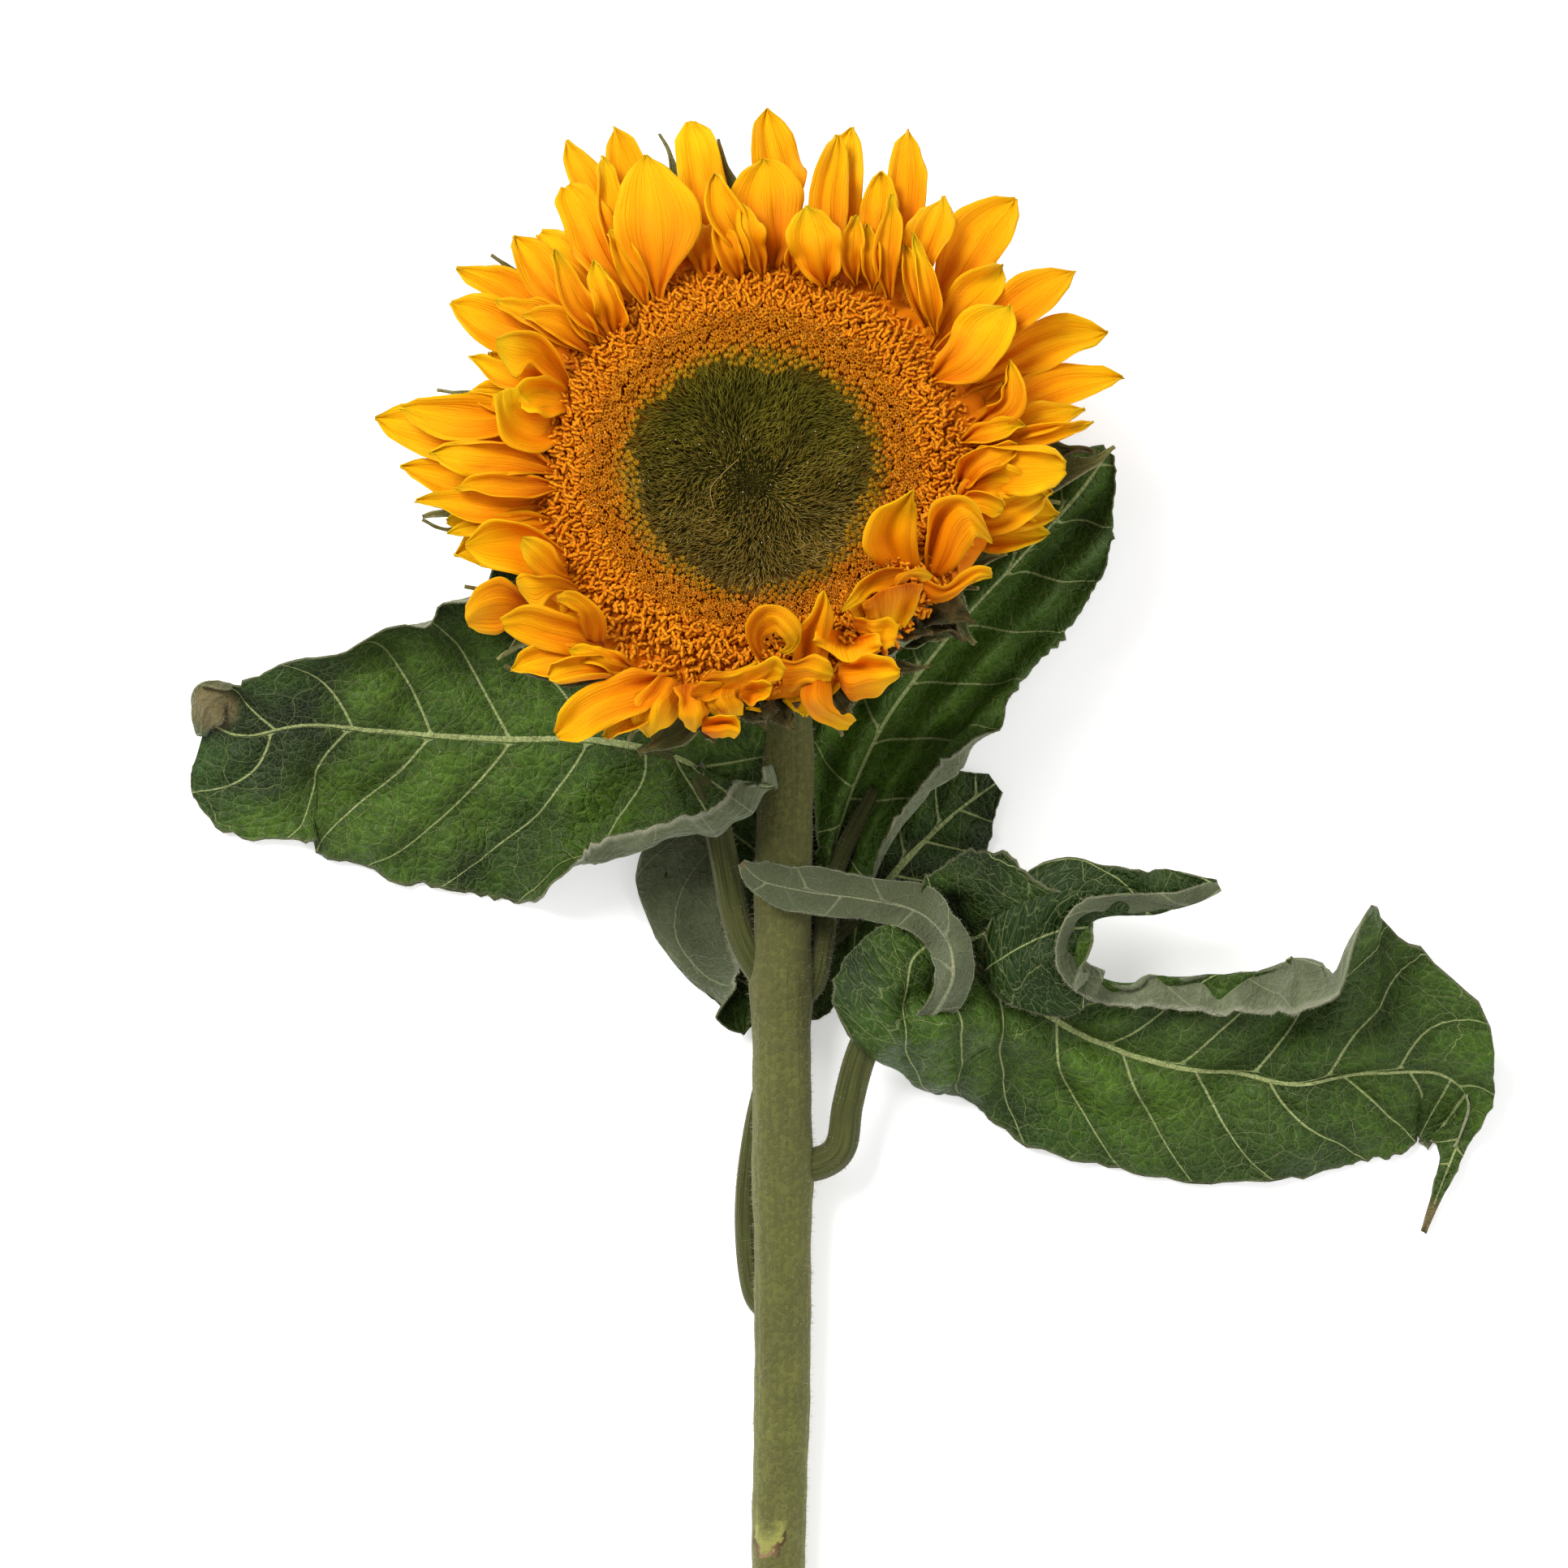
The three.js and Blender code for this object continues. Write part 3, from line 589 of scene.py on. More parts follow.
# %% [markdown]
# # The leaves
#
# A sunflower leaf is a large rough blade on a long stalk. The blade bulges between its veins, its
# margin is toothed and wavy, and as the leaf wilts the margins roll and show the grey underside. Each
# blade here is a grid: stations along the midrib say how wide each side is, which way it leaves the
# midrib and how it curls. That is how a wilting leaf moves, so it gives believable rolls and folds,
# where a flat leaf bent by a modifier would look like paper.

# %% Leaf stations
# A station is x, y, z of the midrib, then left and right: width, sweep to the tip, lift and curl in
# degrees. A petiole's row is x, y, z and radius. Folds are a line in plan, a height and a reach. Pitch
# and shift place the side veins, fold says where a curl gathers on its way to the margin, and pleat
# is the height and the width of pleats along the blade. Rib scales the midrib's width and ridge.
# Lobes have stations of their own.
LEAVES = {
    "leaf_left": dict(
        rows=140, columns=38, pitch=14.5, shift=0.15,
        folds=[([(-60, -60), (-75, -66), (-88, -66)], 1.6, 4.5),
               ([(-38, -58), (-52, -66), (-60, -74)], 1.8, 4.0),
               ([(-45, -62), (-64, -60), (-84, -56)], -1.4, 3.5), ([(-28, -56), (-34, -66)], -1.8, 4.0),
               ([(-52, -20), (-62, -30), (-72, -40)], 1.2, 3.5)],
        petiole=[(-1, -91, 9.6, 2.9), (-5, -86.5, 9.6, 2.7), (-8, -79, 10, 2.6), (-10.6, -66, 11.2, 2.5),
                 (-13, -56, 12.4, 2.4), (-18, -50.5, 11, 1.8), (-28, -47.9, 9.8, 1.2)],
        stations=[
            (-13, -54, 13, 22, -140, 22, 110, 9, -60, -8, 10),
            (-15, -52.5, 13, 28, -100, 10, 165, 18, -50, -10, 10),
            (-21, -49.5, 12, 31, -42, -10, 180, 29, -30, -12, 10),
            (-31, -47.5, 10, 32, -12, -14, 165, 36, -12, -8, 10),
            (-40, -47, 8, 31, -5, -16, 100, 43, -5, -6, 20),
            (-50, -47, 7, 30, 0, -20, 10, 46, -3, -4, 80),
            (-66, -46, 7, 27, 0, -16, 10, 32, -10, 2, 105),
            (-84, -44.5, 8, 23, 0, -24, 10, 15, 0, 12, 50),
            (-96, -46.5, 5, 19, 2, -22, 20, 10.5, 4, 16, 40),
            (-103, -44, 3, 9, 0, -20, 20, 9.5, 14, 24, 60)],
        lobes=[[
            (-97, -39.5, 5, 0.8, 0, 180, 0, 0.8, 0, 180, 0),
            (-99, -39, 6.4, 2.4, 0, 180, 30, 2.2, 0, 180, 20),
            (-101.6, -40.2, 7, 3.8, 0, 180, 60, 3, 0, 180, 30),
            (-103.3, -43, 5.8, 3.2, 0, 180, 60, 2.5, 0, 180, 30),
            (-103.8, -46.5, 4, 0.8, 0, 180, 0, 0.8, 0, 180, 0)]]),
    "leaf_right_lower": dict(
        rows=165, columns=36, pitch=13.5, shift=0.55, fold=(0.64, 0.76),
        folds=[([(31, -78), (32, -85), (29, -92), (23, -95)], -5.5, 3.4),
               ([(20, -97), (31, -94.5), (41, -98), (50, -103), (60, -109)], 3.0, 4.2),
               ([(36, -92), (46, -97), (58, -103)], -2.2, 3.2),
               ([(95, -96), (86, -104), (80, -110)], -1.6, 3.6),
               ([(84, -94), (74, -100)], 1.4, 4.0), ([(96, -116), (86, -120)], 1.6, 4.5)],
        petiole=[(1, -123.6, 8.3, 3.2), (7.5, -122.6, 8.4, 3), (10.8, -119.5, 8.8, 2.9), (12, -112, 10, 2.8),
                 (14.8, -102, 12, 2.8), (20.5, -91, 14.2, 2.7), (27, -82.6, 15.6, 2.4),
                 (32.5, -86.3, 13.8, 1.6), (40, -91.2, 11.4, 1.2)],
        stations=[
            (26.5, -81.5, 17, 5, -60, 10, 0, 8, -62, 12, 10),
            (28.2, -82.8, 16.8, 13, -45, 12, -10, 21, -30, 20, -60),
            (30.2, -84.3, 16, 18, -34, 14, -20, 27, -8, 26, -90),
            (32.6, -86, 15, 21, -22, 18, -20, 29, 6, 20, -110),
            (35.2, -87.7, 14, 21, -4, 22, 0, 29, 10, 14, -100),
            (38, -89.5, 13, 23, 6, 24, 0, 28, 12, 5, -90),
            (41, -91.5, 12, 20, 12, 28, 10, 27, 9, -5, -60),
            (47, -96, 10.5, 20, 4, 30, 130, 24, 5, -15, -30),
            (57, -102, 8, 24.5, 6, 22, 146, 22, 4, -22, 10),
            (75, -106.5, 6, 30.5, -2, 20, 146, 21, 0, -22, 10),
            (90, -108.7, 6, 36, -2, 22, 142, 18, 4, -20, 10),
            (99, -107.7, 6.5, 38.5, 2, 25, 128, 17, 6, -22, 5),
            (107, -106.5, 7, 36, 4, 26, 20, 16, 8, -25, 0),
            (117, -106.5, 8, 19, -8, 22, 15, 14, -4, -35, 0),
            (122.5, -111.5, 6, 6, -10, 10, 10, 14, 44, -30, 0),
            (121.8, -117.5, 4, 2.6, 0, 0, 0, 6.6, 36, -26, 0),
            (119.6, -124, 2.6, 1.5, 0, 0, 0, 2, 0, -20, 0),
            (115.3, -135.5, 1, 0.3, 0, 0, 0, 0.3, 0, 0, 0)],
        lobes=[[
            (77.8, -73.6, 22, 1.2, 0, 150, 20, 1.6, 0, 5, 0),
            (72, -76.3, 21.5, 4.4, 0, 118, 50, 6.6, 0, 10, 0),
            (66.5, -78.3, 21, 6.2, 0, 112, 56, 8.4, 0, 10, 0),
            (60, -78.6, 20.5, 6.6, 0, 112, 56, 9.6, 6, 10, 0),
            (55.5, -79.8, 19.5, 7.2, 0, 112, 56, 14.5, 10, 8, 0),
            (53.8, -83, 18.5, 7.6, 0, 112, 56, 19, 30, 4, 0),
            (54.4, -86.5, 17.6, 7.6, 0, 116, 56, 12, 20, 2, 0),
            (57.5, -88.5, 17, 7, 0, 125, 52, 4, 0, 0, 0)], [
            (23.5, -98.5, 17.5, 0.8, 0, 180, 0, 0.8, 0, 180, 0),
            (27.5, -95, 19.3, 2.8, 0, 180, -12, 2.8, 0, 184, -18),
            (30.6, -89, 20.2, 3.6, 0, 178, -12, 3.6, 0, 184, -18),
            (29.8, -82.5, 20.2, 4.4, 0, 176, -12, 4, 0, 184, -20),
            (24.5, -77.8, 19.8, 4.8, 0, 176, -10, 4, 0, 184, -20),
            (15, -75.6, 19.2, 4, 0, 180, 10, 3.2, 0, 184, -20),
            (6, -74.4, 19.8, 4.6, 0, 180, -15, 4.2, 0, 180, -20),
            (-3, -72.4, 20.6, 3.4, 0, 180, -15, 2.8, 0, 180, -20),
            (-7, -69, 21.6, 0.6, 0, 180, 0, 0.6, 0, 180, 0)]]),
    "leaf_right_upper": dict(
        rows=105, columns=30, pitch=13.0, shift=0.4, pleat=(2.1, 8.5), rib=0.55,
        petiole=[(1, -94.6, 9.6, 2.1), (5.8, -91, 9.6, 2), (7.6, -84, 9.2, 1.9), (8.4, -77, 8, 1.9),
                 (10.5, -68.5, 6.4, 1.7), (17, -56, 7.2, 1.2)],
        stations=[
            (8.5, -73, 7, 3, -80, 10, 0, 7, -70, 0, 20),
            (10, -65, 7, 4, -50, 10, 20, 11, -40, -6, 90),
            (13.5, -54, 8, 8, -10, 5, 10, 19, -8, -10, 160),
            (19.5, -42, 9, 16, 0, 0, 0, 24, 0, -12, 160),
            (29, -29.5, 9.5, 23, 0, 0, 0, 17, 0, -18, 50),
            (39, -18.5, 10, 23, 0, -5, 10, 16, 0, -22, 20),
            (48, -9, 10.5, 17, 0, -10, 20, 14, -5, -22, 20),
            (54, -2, 11.5, 9, 0, -10, 20, 8, -5, -15, 20),
            (58.5, 4, 13, 1.5, 10, 0, 0, 1, 0, 0, 0)]),
    "leaf_right_small": dict(
        rows=56, columns=17, pitch=8.5, shift=0.3,
        petiole=[(1.5, -85.6, 7.4, 1.7), (6.4, -84.4, 5.4, 1.6), (10, -82, 3.6, 1.5),
                 (13.2, -79, 3, 1.4), (20, -71.6, 2.7, 1)],
        stations=[
            (13, -79.5, 3.2, 7, -60, -4, 0, 7, -60, 0, 0),
            (17, -75, 3.2, 12, -20, -5, 0, 11, -20, -5, 10),
            (23, -68, 3.2, 13, 0, -5, 10, 12, 0, -10, 20),
            (31, -60.5, 2.5, 10, 0, 0, 10, 9, 0, -5, 10),
            (38.5, -55, 2, 2, 0, 0, 0, 2, 0, 0, 0)]),
    "leaf_back": dict(
        rows=100, columns=32, pitch=13.0, shift=0.5, fold=(0.54, 0.68),
        petiole=[(-1.6, -150, 6, 2.2), (-5, -145.5, 3.6, 2.1), (-6.2, -132, 2.4, 2.1), (-4.8, -117, 2.2, 1.9),
                 (-0.8, -98, 1.9, 1.5), (0, -84, 1.6, 1.1)],
        stations=[
            (0, -94, 2, 9, -40, -10, 20, 6, -40, -10, 10),
            (0, -89, 1.5, 24, -20, -6, 150, 13, -20, -5, 10),
            (0, -80, 1, 40, -3, -3, 180, 20, -5, -3, 5),
            (-0.5, -66, 0.8, 42, 0, -3, 180, 24, 0, -3, 5),
            (-1, -52, 0.6, 28, 0, -3, 175, 26, 0, -3, 5),
            (-1.3, -40, 0.6, 20, 0, -3, 50, 23, 0, -3, 5),
            (-1.5, -28, 0.6, 18, 0, -3, 5, 19, 0, -3, 5),
            (-2, -8, 0.6, 2, 0, 0, 0, 2, 0, 0, 0)]),
}
print("leaves:", ", ".join(LEAVES))

# %% [markdown]
# ## Leaf finish
#
# The upper face is a deep, slightly glossy green with pale veins. The underside is a dull grey-green
# under fine down. Both use the vein net, each in its own colours. The large veins are also in the
# mesh: the net colours them, and adds the small ones and the grain between them.

# %% Leaf materials
VEIN_SHARES = {"Fine Net": 0.16, "Small Net": 0.17, "Net": 0.33, "Side Veins": 0.85}
MIDRIB_SHARE = 0.95


def leaf_material(name, dark, light, glow, vein, edge, edge_from, roughness, sheen, specular,
                  vein_share, bump):
    """One face of a blade: blotched tissue, then painted glow, shade and light, then the net and the edge."""
    material, g, shader = new_material(name, roughness=roughness, sheen=sheen,
                                       sheen_tint=rgb(206, 214, 190), specular=specular)
    margin = g.field("margin")
    net = g.use(vein_net, Phase=g.field("phase"), Spacing=g.field("spacing"), Along=g.field("along"),
                Across=g.field("across"), Midrib_Width=g.field("midrib"),
                Side_Width=g.remap(margin, 0.0, 1.0, 0.34, 0.14)).outputs
    tone = g.mix(spots(g, 0.017), dark, light)
    # Lighter blotches of painted glow, as of light shining through the thin blade.
    tone = g.over(tone, glow, spots(g, 0.04, 0.6), 0.6)
    tone = g.over(tone, dark, spots(g, 0.0016), 0.4)
    tone = g.over(tone, dark, net["Pillow"], 0.15)
    # Painted shade beside the veins and the midrib, where the blade dips into its valleys.
    tone = g.over(tone, dark, net["Painted Valley Shade"], 0.35)
    # Painted shade over a blade: its own share, more on rolled lobes, and broad waves for large folds.
    tone = g.mix(g.field("shade"), tone, g.mix(0.3, dark, light))
    # Painted light on a blade that lies in shade, towards the brighter green.
    tone = g.mix(g.field("bright"), tone, g.mix(0.5, light, glow))
    for part, share in VEIN_SHARES.items():
        tone = g.over(tone, vein, net[part], share * vein_share)
    tone = g.over(tone, vein, net["Midrib"], MIDRIB_SHARE)
    tone = g.mix(g.remap(margin, edge_from, 1.0), tone, edge)
    tone = g.mix(g.remap(g.field("dry"), 0.35, 0.75), tone, rgb(112, 100, 64))
    g.feed(shader["Base Color"], tone)
    fine = g.math("MULTIPLY", net["Fine Net"], -0.3)
    height = g.math("ADD", fine, g.math("MULTIPLY", net["Net"], -0.6))
    height = g.math("ADD", height, g.math("MULTIPLY", net["Pillow"], 0.5))
    grain = spots(g, 0.0009)
    add_bump(g, shader, g.math("ADD", height, g.math("MULTIPLY", grain, 0.3)), 0.0004 * bump)
    return material


leaf_top = leaf_material(
    "leaf_upper_face", dark=rgb(14, 30, 4), light=rgb(44, 76, 12), glow=rgb(96, 134, 30),
    vein=rgb(164, 174, 112), edge=rgb(104, 108, 76), edge_from=0.965, roughness=0.46, sheen=0.0,
    specular=0.22, vein_share=1.0, bump=1.0)
leaf_under = leaf_material(
    "leaf_underside", dark=rgb(70, 78, 50), light=rgb(110, 118, 84), glow=rgb(136, 142, 110),
    vein=rgb(146, 148, 114), edge=rgb(150, 150, 126), edge_from=0.95, roughness=0.8, sheen=0.5,
    specular=0.12, vein_share=0.7, bump=-0.8)
petiole_material, g, shader = new_material("leaf_stalk", roughness=0.65, sheen=0.3,
                                           sheen_tint=rgb(216, 214, 186), specular=0.15)
streaks = g.use(fine_ribs, Across=g.field("across"), Along=g.field("along"),
                Pitch=0.7, Waver=0.2).outputs[0]
tone = g.mix(streaks, rgb(54, 60, 24), rgb(84, 88, 42))
tone = g.over(tone, rgb(70, 64, 32), spots(g, 0.006), 0.4)
g.feed(shader["Base Color"], tone)
add_bump(g, shader, streaks, 0.0002)
print("made materials", leaf_top.name, leaf_under.name, petiole_material.name)

# %% Leaf surface
CURL_THAT_FOLDS = (100, 145)
MARCH_STEPS = 4
FLOOR_BLEND = 1.2


def settle(points):
    """Low points are eased up onto the table."""
    points[..., 2] = 0.5 * (points[..., 2] + np.hypot(points[..., 2], FLOOR_BLEND))
    return points


def blade_side(midrib, up, outwards, width, lift, curl, columns, fold):
    """March from the midrib to one margin, turning all the way."""
    count = columns * MARCH_STEPS
    share = (np.arange(count) + 0.5) / count
    turned = np.tile(share**2, (len(width), 1))
    if fold:
        folded = smoothstep(*CURL_THAT_FOLDS, np.abs(curl))[:, None]
        turned += folded * (smoothstep(*fold, share) - share**2)
    angle = np.radians(lift[:, None] + curl[:, None] * turned)
    step = (np.maximum(width, 0.4) / count)[:, None]
    run = np.cumsum(step * np.cos(angle), axis=1)[:, MARCH_STEPS - 1::MARCH_STEPS, None]
    rise = np.cumsum(step * np.sin(angle), axis=1)[:, MARCH_STEPS - 1::MARCH_STEPS, None]
    return midrib[:, None] + run * outwards[:, None] + rise * up[:, None]


def blade(stations, rows, columns, fold):
    """The middle surface of a blade, and for each point the distance along and across."""
    table = smooth_rows(stations, rows)
    midrib = table[:, :3]
    travel = unit(np.gradient(midrib, axis=0))
    up = unit(np.array([0, 0, 1.0]) - travel[:, 2:3] * travel)
    left = np.cross(up, travel)
    sides, reaches, sweeps = [], [], []
    for sign, first in ((1, 3), (-1, 7)):
        width, sweep, lift, curl = table[:, first:first + 4].T
        sweep = np.radians(sweep)
        outwards = sign * np.cos(sweep)[:, None] * left + np.sin(sweep)[:, None] * travel
        sides.append(blade_side(midrib, up, outwards, width, lift, curl, columns, fold))
        reaches.append(np.maximum(width, 0.4)[:, None] * (np.arange(columns) + 1) / columns)
        sweeps.append(sweep)
    grid = np.concatenate([sides[0][:, ::-1], midrib[:, None], sides[1]], axis=1)
    across = np.concatenate([reaches[0][:, ::-1], np.zeros((rows, 1)), -reaches[1]], axis=1)
    along = np.repeat(running_length(midrib)[:, None], grid.shape[1], axis=1)
    return grid, along, across, sweeps


# %% Veins of a blade
FORWARD = 0.62
FORWARD_CURVE = 0.011
SWEEP_PER_VEIN = math.radians(30)
FAN_ENDS = (math.radians(12), math.radians(45))  # the sweep where side veins go over into the fan
LEAST_SPACING, MOST_SPACING = 3.0, 16.0


def vein_phase(grid, along, across, sweeps, pitch, shift):
    """Counts the side veins: they fan out from the base, then leave the midrib at even steps."""
    columns = (grid.shape[1] - 1) // 2
    phase = np.zeros_like(along)
    for sweep, part, offset in ((sweeps[0], slice(0, columns + 1), shift),
                                (sweeps[1], slice(columns, None), shift + 0.45)):
        fan = np.abs(np.diff(sweep, prepend=sweep[0])) / SWEEP_PER_VEIN
        steps = np.diff(along[:, 0], prepend=0) / pitch
        counted = np.cumsum(np.hypot(steps, fan))[:, None]
        straight = 1 - smoothstep(*FAN_ENDS, np.abs(sweep))[:, None]
        reach = np.abs(across[:, part])
        lean = (FORWARD * reach + FORWARD_CURVE * reach**2) / pitch
        phase[:, part] = counted + offset - lean * straight
    return phase


def spacing_of(grid, phase):
    """The distance between neighbouring veins, from how fast the phase changes."""
    u, v = np.gradient(grid, axis=0), np.gradient(grid, axis=1)
    pu, pv = np.gradient(phase, axis=0), np.gradient(phase, axis=1)
    uu, uv, vv = (u * u).sum(-1), (u * v).sum(-1), (v * v).sum(-1)
    rate = (pu**2 * vv - 2 * pu * pv * uv + pv**2 * uu) / np.maximum(uu * vv - uv**2, 1e-6)
    return np.clip(1 / np.sqrt(np.maximum(rate, 1e-6)), LEAST_SPACING, MOST_SPACING)


def distance_to_line(places, line):
    """The distance in plan from places to a line of points."""
    best = np.full(places.shape[:-1], 1e9)
    for a, b in zip(np.array(line[:-1], float), np.array(line[1:], float)):
        share = np.clip(((places - a) @ (b - a)) / np.dot(b - a, b - a), 0, 1)[..., None]
        best = np.minimum(best, np.linalg.norm(places - a - share * (b - a), axis=-1))
    return best


def ripple(along, across, random, length, octaves=3):
    """Soft random waves over a blade, a few tenths high."""
    total = np.zeros_like(along)
    for octave in range(octaves):
        for _ in range(4):
            angle, offset = random.uniform(0, 2 * np.pi, 2)
            wave = 2 * np.pi / length * 1.8**octave
            place = along * math.cos(angle) + across * math.sin(angle)
            total += np.sin(wave * place + offset) / 1.7**octave
    return total / 4


TOOTH_PITCH, SMALL_TOOTH_PITCH, TOOTH_CREST = 6.5, 2.3, 0.72


def teeth(along, random):
    """Uneven saw teeth along a margin, from 0 to a little over 1, that point to the leaf's tip."""
    slow = np.sin(along * 0.21 + random.uniform(0, 6))
    quick = np.sin(along * 0.53 + random.uniform(0, 6))
    wander = 0.6 * slow + 0.4 * quick
    place = (along / TOOTH_PITCH + wander) % 1.0
    large = np.where(place < TOOTH_CREST, place / TOOTH_CREST, (1 - place) / (1 - TOOTH_CREST))
    size = 0.55 + 0.45 * np.sin(along * 0.37 + random.uniform(0, 6))
    small = np.abs(((along / SMALL_TOOTH_PITCH + 0.5 * wander) % 1.0) - 0.5) * 2
    return size * large**1.3 + 0.22 * small


# %% Leaf meshes
QUILT_HEIGHT, QUILT_REACH = 1.5, 2.6
TOOTH_LENGTH, FULL_TOOTH_WIDTH = 1.5, 7
RUFFLE = 0.9
LONG_WAVE, SHORT_WAVE = (38.0, 1.5), (13.0, 0.35)  # length and height
MIDRIB_AT_BASE, MIDRIB_LOST = 1.25, 0.95  # width of the midrib, and how much of it goes by the tip
SIDE_RIDGE_HEIGHT, SIDE_RIDGE_REACH = 0.3, 0.5
BLADE_HALF_THICKNESS = 0.17


def dress_blade(stations, rows, columns, pitch, shift, random, fold, tooth, folds, pleat, rib):
    """A blade with teeth, ruffles, veins and bulges, and the fields its material reads."""
    grid, along, across, sweeps = blade(stations, rows, columns, fold)
    phase = vein_phase(grid, along, across, sweeps, pitch, shift)
    share = np.abs(np.linspace(-1, 1, grid.shape[1]))[None, :]
    for edge, inner in ((0, 1), (-1, -2)):
        margin_length = running_length(grid[:, edge])
        outward = unit(grid[:, edge] - grid[:, inner])
        length = tooth * np.minimum(1, np.abs(across[:, edge]) / FULL_TOOTH_WIDTH)
        push = (length * (teeth(margin_length, random) - 0.4))[:, None, None] * outward[:, None]
        half = slice(0, columns + 1) if edge == 0 else slice(columns, None)
        grid[:, half] += push * (share[:, half, None] ** 7)
    spacing = spacing_of(grid, phase)
    to_vein = np.abs((phase + 0.5) % 1.0 - 0.5) * spacing
    to_midrib = np.abs(across)
    valley = np.minimum(to_vein, to_midrib)
    taper = smoothstep(0, 6, along) * smoothstep(0, 8, along[-1] - along)
    quilt = QUILT_HEIGHT * (1 - np.exp(-(valley / QUILT_REACH) ** 2)) * (1 - 0.5 * share**3) * taper
    waves = sum(height * ripple(along, across, random, length) for length, height in (LONG_WAVE, SHORT_WAVE))
    margin_wave = RUFFLE * np.sin(along * 0.46 + 2.2 * np.sin(along * 0.11) + np.sign(across)) * share**5
    pleats = pleat[0] * np.sin(2 * np.pi * across / pleat[1] + 0.02 * along) * taper * (1 - share**4)
    creases = sum(height * np.exp(-(distance_to_line(grid[..., :2], line) / reach) ** 2)
                  for line, height, reach in folds)
    lift = quilt + waves * taper + margin_wave + pleats + creases
    grid = settle(grid + grid_normals(grid) * lift[..., None])
    length = along[-1:, :]
    midrib_width = rib * (MIDRIB_AT_BASE - MIDRIB_LOST * along / length)
    ridge = np.exp(-(to_midrib / (0.75 * midrib_width)) ** 2) * midrib_width * 0.75
    side_ridge = SIDE_RIDGE_HEIGHT * np.exp(-(to_vein / SIDE_RIDGE_REACH) ** 2) * (1 - share)
    below = BLADE_HALF_THICKNESS + ridge + side_ridge
    points, faces, side = sheet(grid, BLADE_HALF_THICKNESS, below)
    fields = dict(phase=twice(phase), spacing=twice(spacing), along=twice(along), across=twice(across),
                  midrib=twice(midrib_width), margin=twice(np.broadcast_to(share, along.shape)))
    return grid, points, faces, side, fields


FRINGE_LENGTHS, FRINGE_WIDTH = (0.3, 0.7), 0.025


def margin_hairs(batch, grid, random, count):
    """A fringe of short hairs along both margins of a blade."""
    for edge, inner in ((0, 2), (-1, -3)):
        row = random.uniform(1, len(grid) - 2, count)
        base = row.astype(int)
        mix = (row - base)[:, None]
        root = grid[base, edge] * (1 - mix) + grid[base + 1, edge] * mix
        direction = unit(grid[base, edge] - grid[base, inner]) + random.normal(0, 0.3, (count, 3))
        add_hairs(batch, root, direction, random.uniform(*FRINGE_LENGTHS, count), FRINGE_WIDTH)


LEAF_FIELDS = ("phase", "spacing", "along", "across", "midrib", "margin", "dry", "shade", "bright")
# How much painted shade and painted light each blade's tone gets, towards a deeper and a brighter green.
SHADE = {"leaf_left": 0.0, "leaf_right_lower": 0.32, "leaf_right_upper": 0.0,
         "leaf_right_small": 0.1, "leaf_back": 0.45}
PAINTED_LIGHT = {"leaf_right_upper": 0.3}
DRY_TIPS = {  # place and reach of a dry tip
    "leaf_left": [(-101.5, -41.5, 6.5, 5.5)],
    "leaf_right_lower": [(115.3, -135.5, 1, 7.5), (-7, -69, 21, 1.6)],
}
NO_PLEAT = (0.0, 1.0)
# LOBE_SHADE is the painted shade added on lobes that roll over, on top of their blade's.
LOBE_ROWS, LOBE_COLUMNS, LOBE_TOOTH, LOBE_RIB, LOBE_SHADE = 60, 10, 0.5, 0.35, 0.65
FRINGE_PER_ROW = 3.2
PETIOLE_RINGS, PETIOLE_SIDES, PETIOLE_RADIUS = 70, 24, 2.4
GROOVE_DEPTH, GROOVE_WIDTH = 0.18, 0.5
PETIOLE_HAIRS, PETIOLE_HAIR_LENGTHS, PETIOLE_HAIR_WIDTH = 850, (0.4, 0.9), 0.03


def add_blades(batch, hairs, name, leaf, random):
    """A leaf's blade, and the lobes that roll away from it, each with a fringe of hairs."""
    parts = [(leaf["stations"], leaf["rows"], leaf["columns"], TOOTH_LENGTH, leaf.get("rib", 1.0), 0.0)]
    for lobe in leaf.get("lobes", ()):
        parts.append((lobe, LOBE_ROWS, LOBE_COLUMNS, LOBE_TOOTH, LOBE_RIB, LOBE_SHADE))
    for stations, rows, columns, tooth, rib, extra_shade in parts:
        grid, points, faces, side, fields = dress_blade(
            stations, rows, columns, leaf["pitch"], leaf["shift"], random, leaf.get("fold"), tooth,
            leaf.get("folds", ()), leaf.get("pleat", NO_PLEAT), rib)
        dry = np.zeros(len(points))
        for x, y, z, reach in DRY_TIPS.get(name, ()):
            dry = np.maximum(dry, np.exp(-np.sum((points - [x, y, z]) ** 2, axis=1) / reach**2))
        # Painted shade: the blade's share, the lobe's extra, and broad waves that stand for the shade of
        # large folds.
        shade = SHADE[name] + extra_shade + 0.4 * ripple(fields["along"], fields["across"], random, 30.0, 2)
        batch.add(points, faces, side, dry=dry, shade=np.clip(shade, 0, 1),
                  bright=np.full(len(points), PAINTED_LIGHT.get(name, 0.0)), **fields)
        margin_hairs(hairs, grid, random, int(rows * FRINGE_PER_ROW))


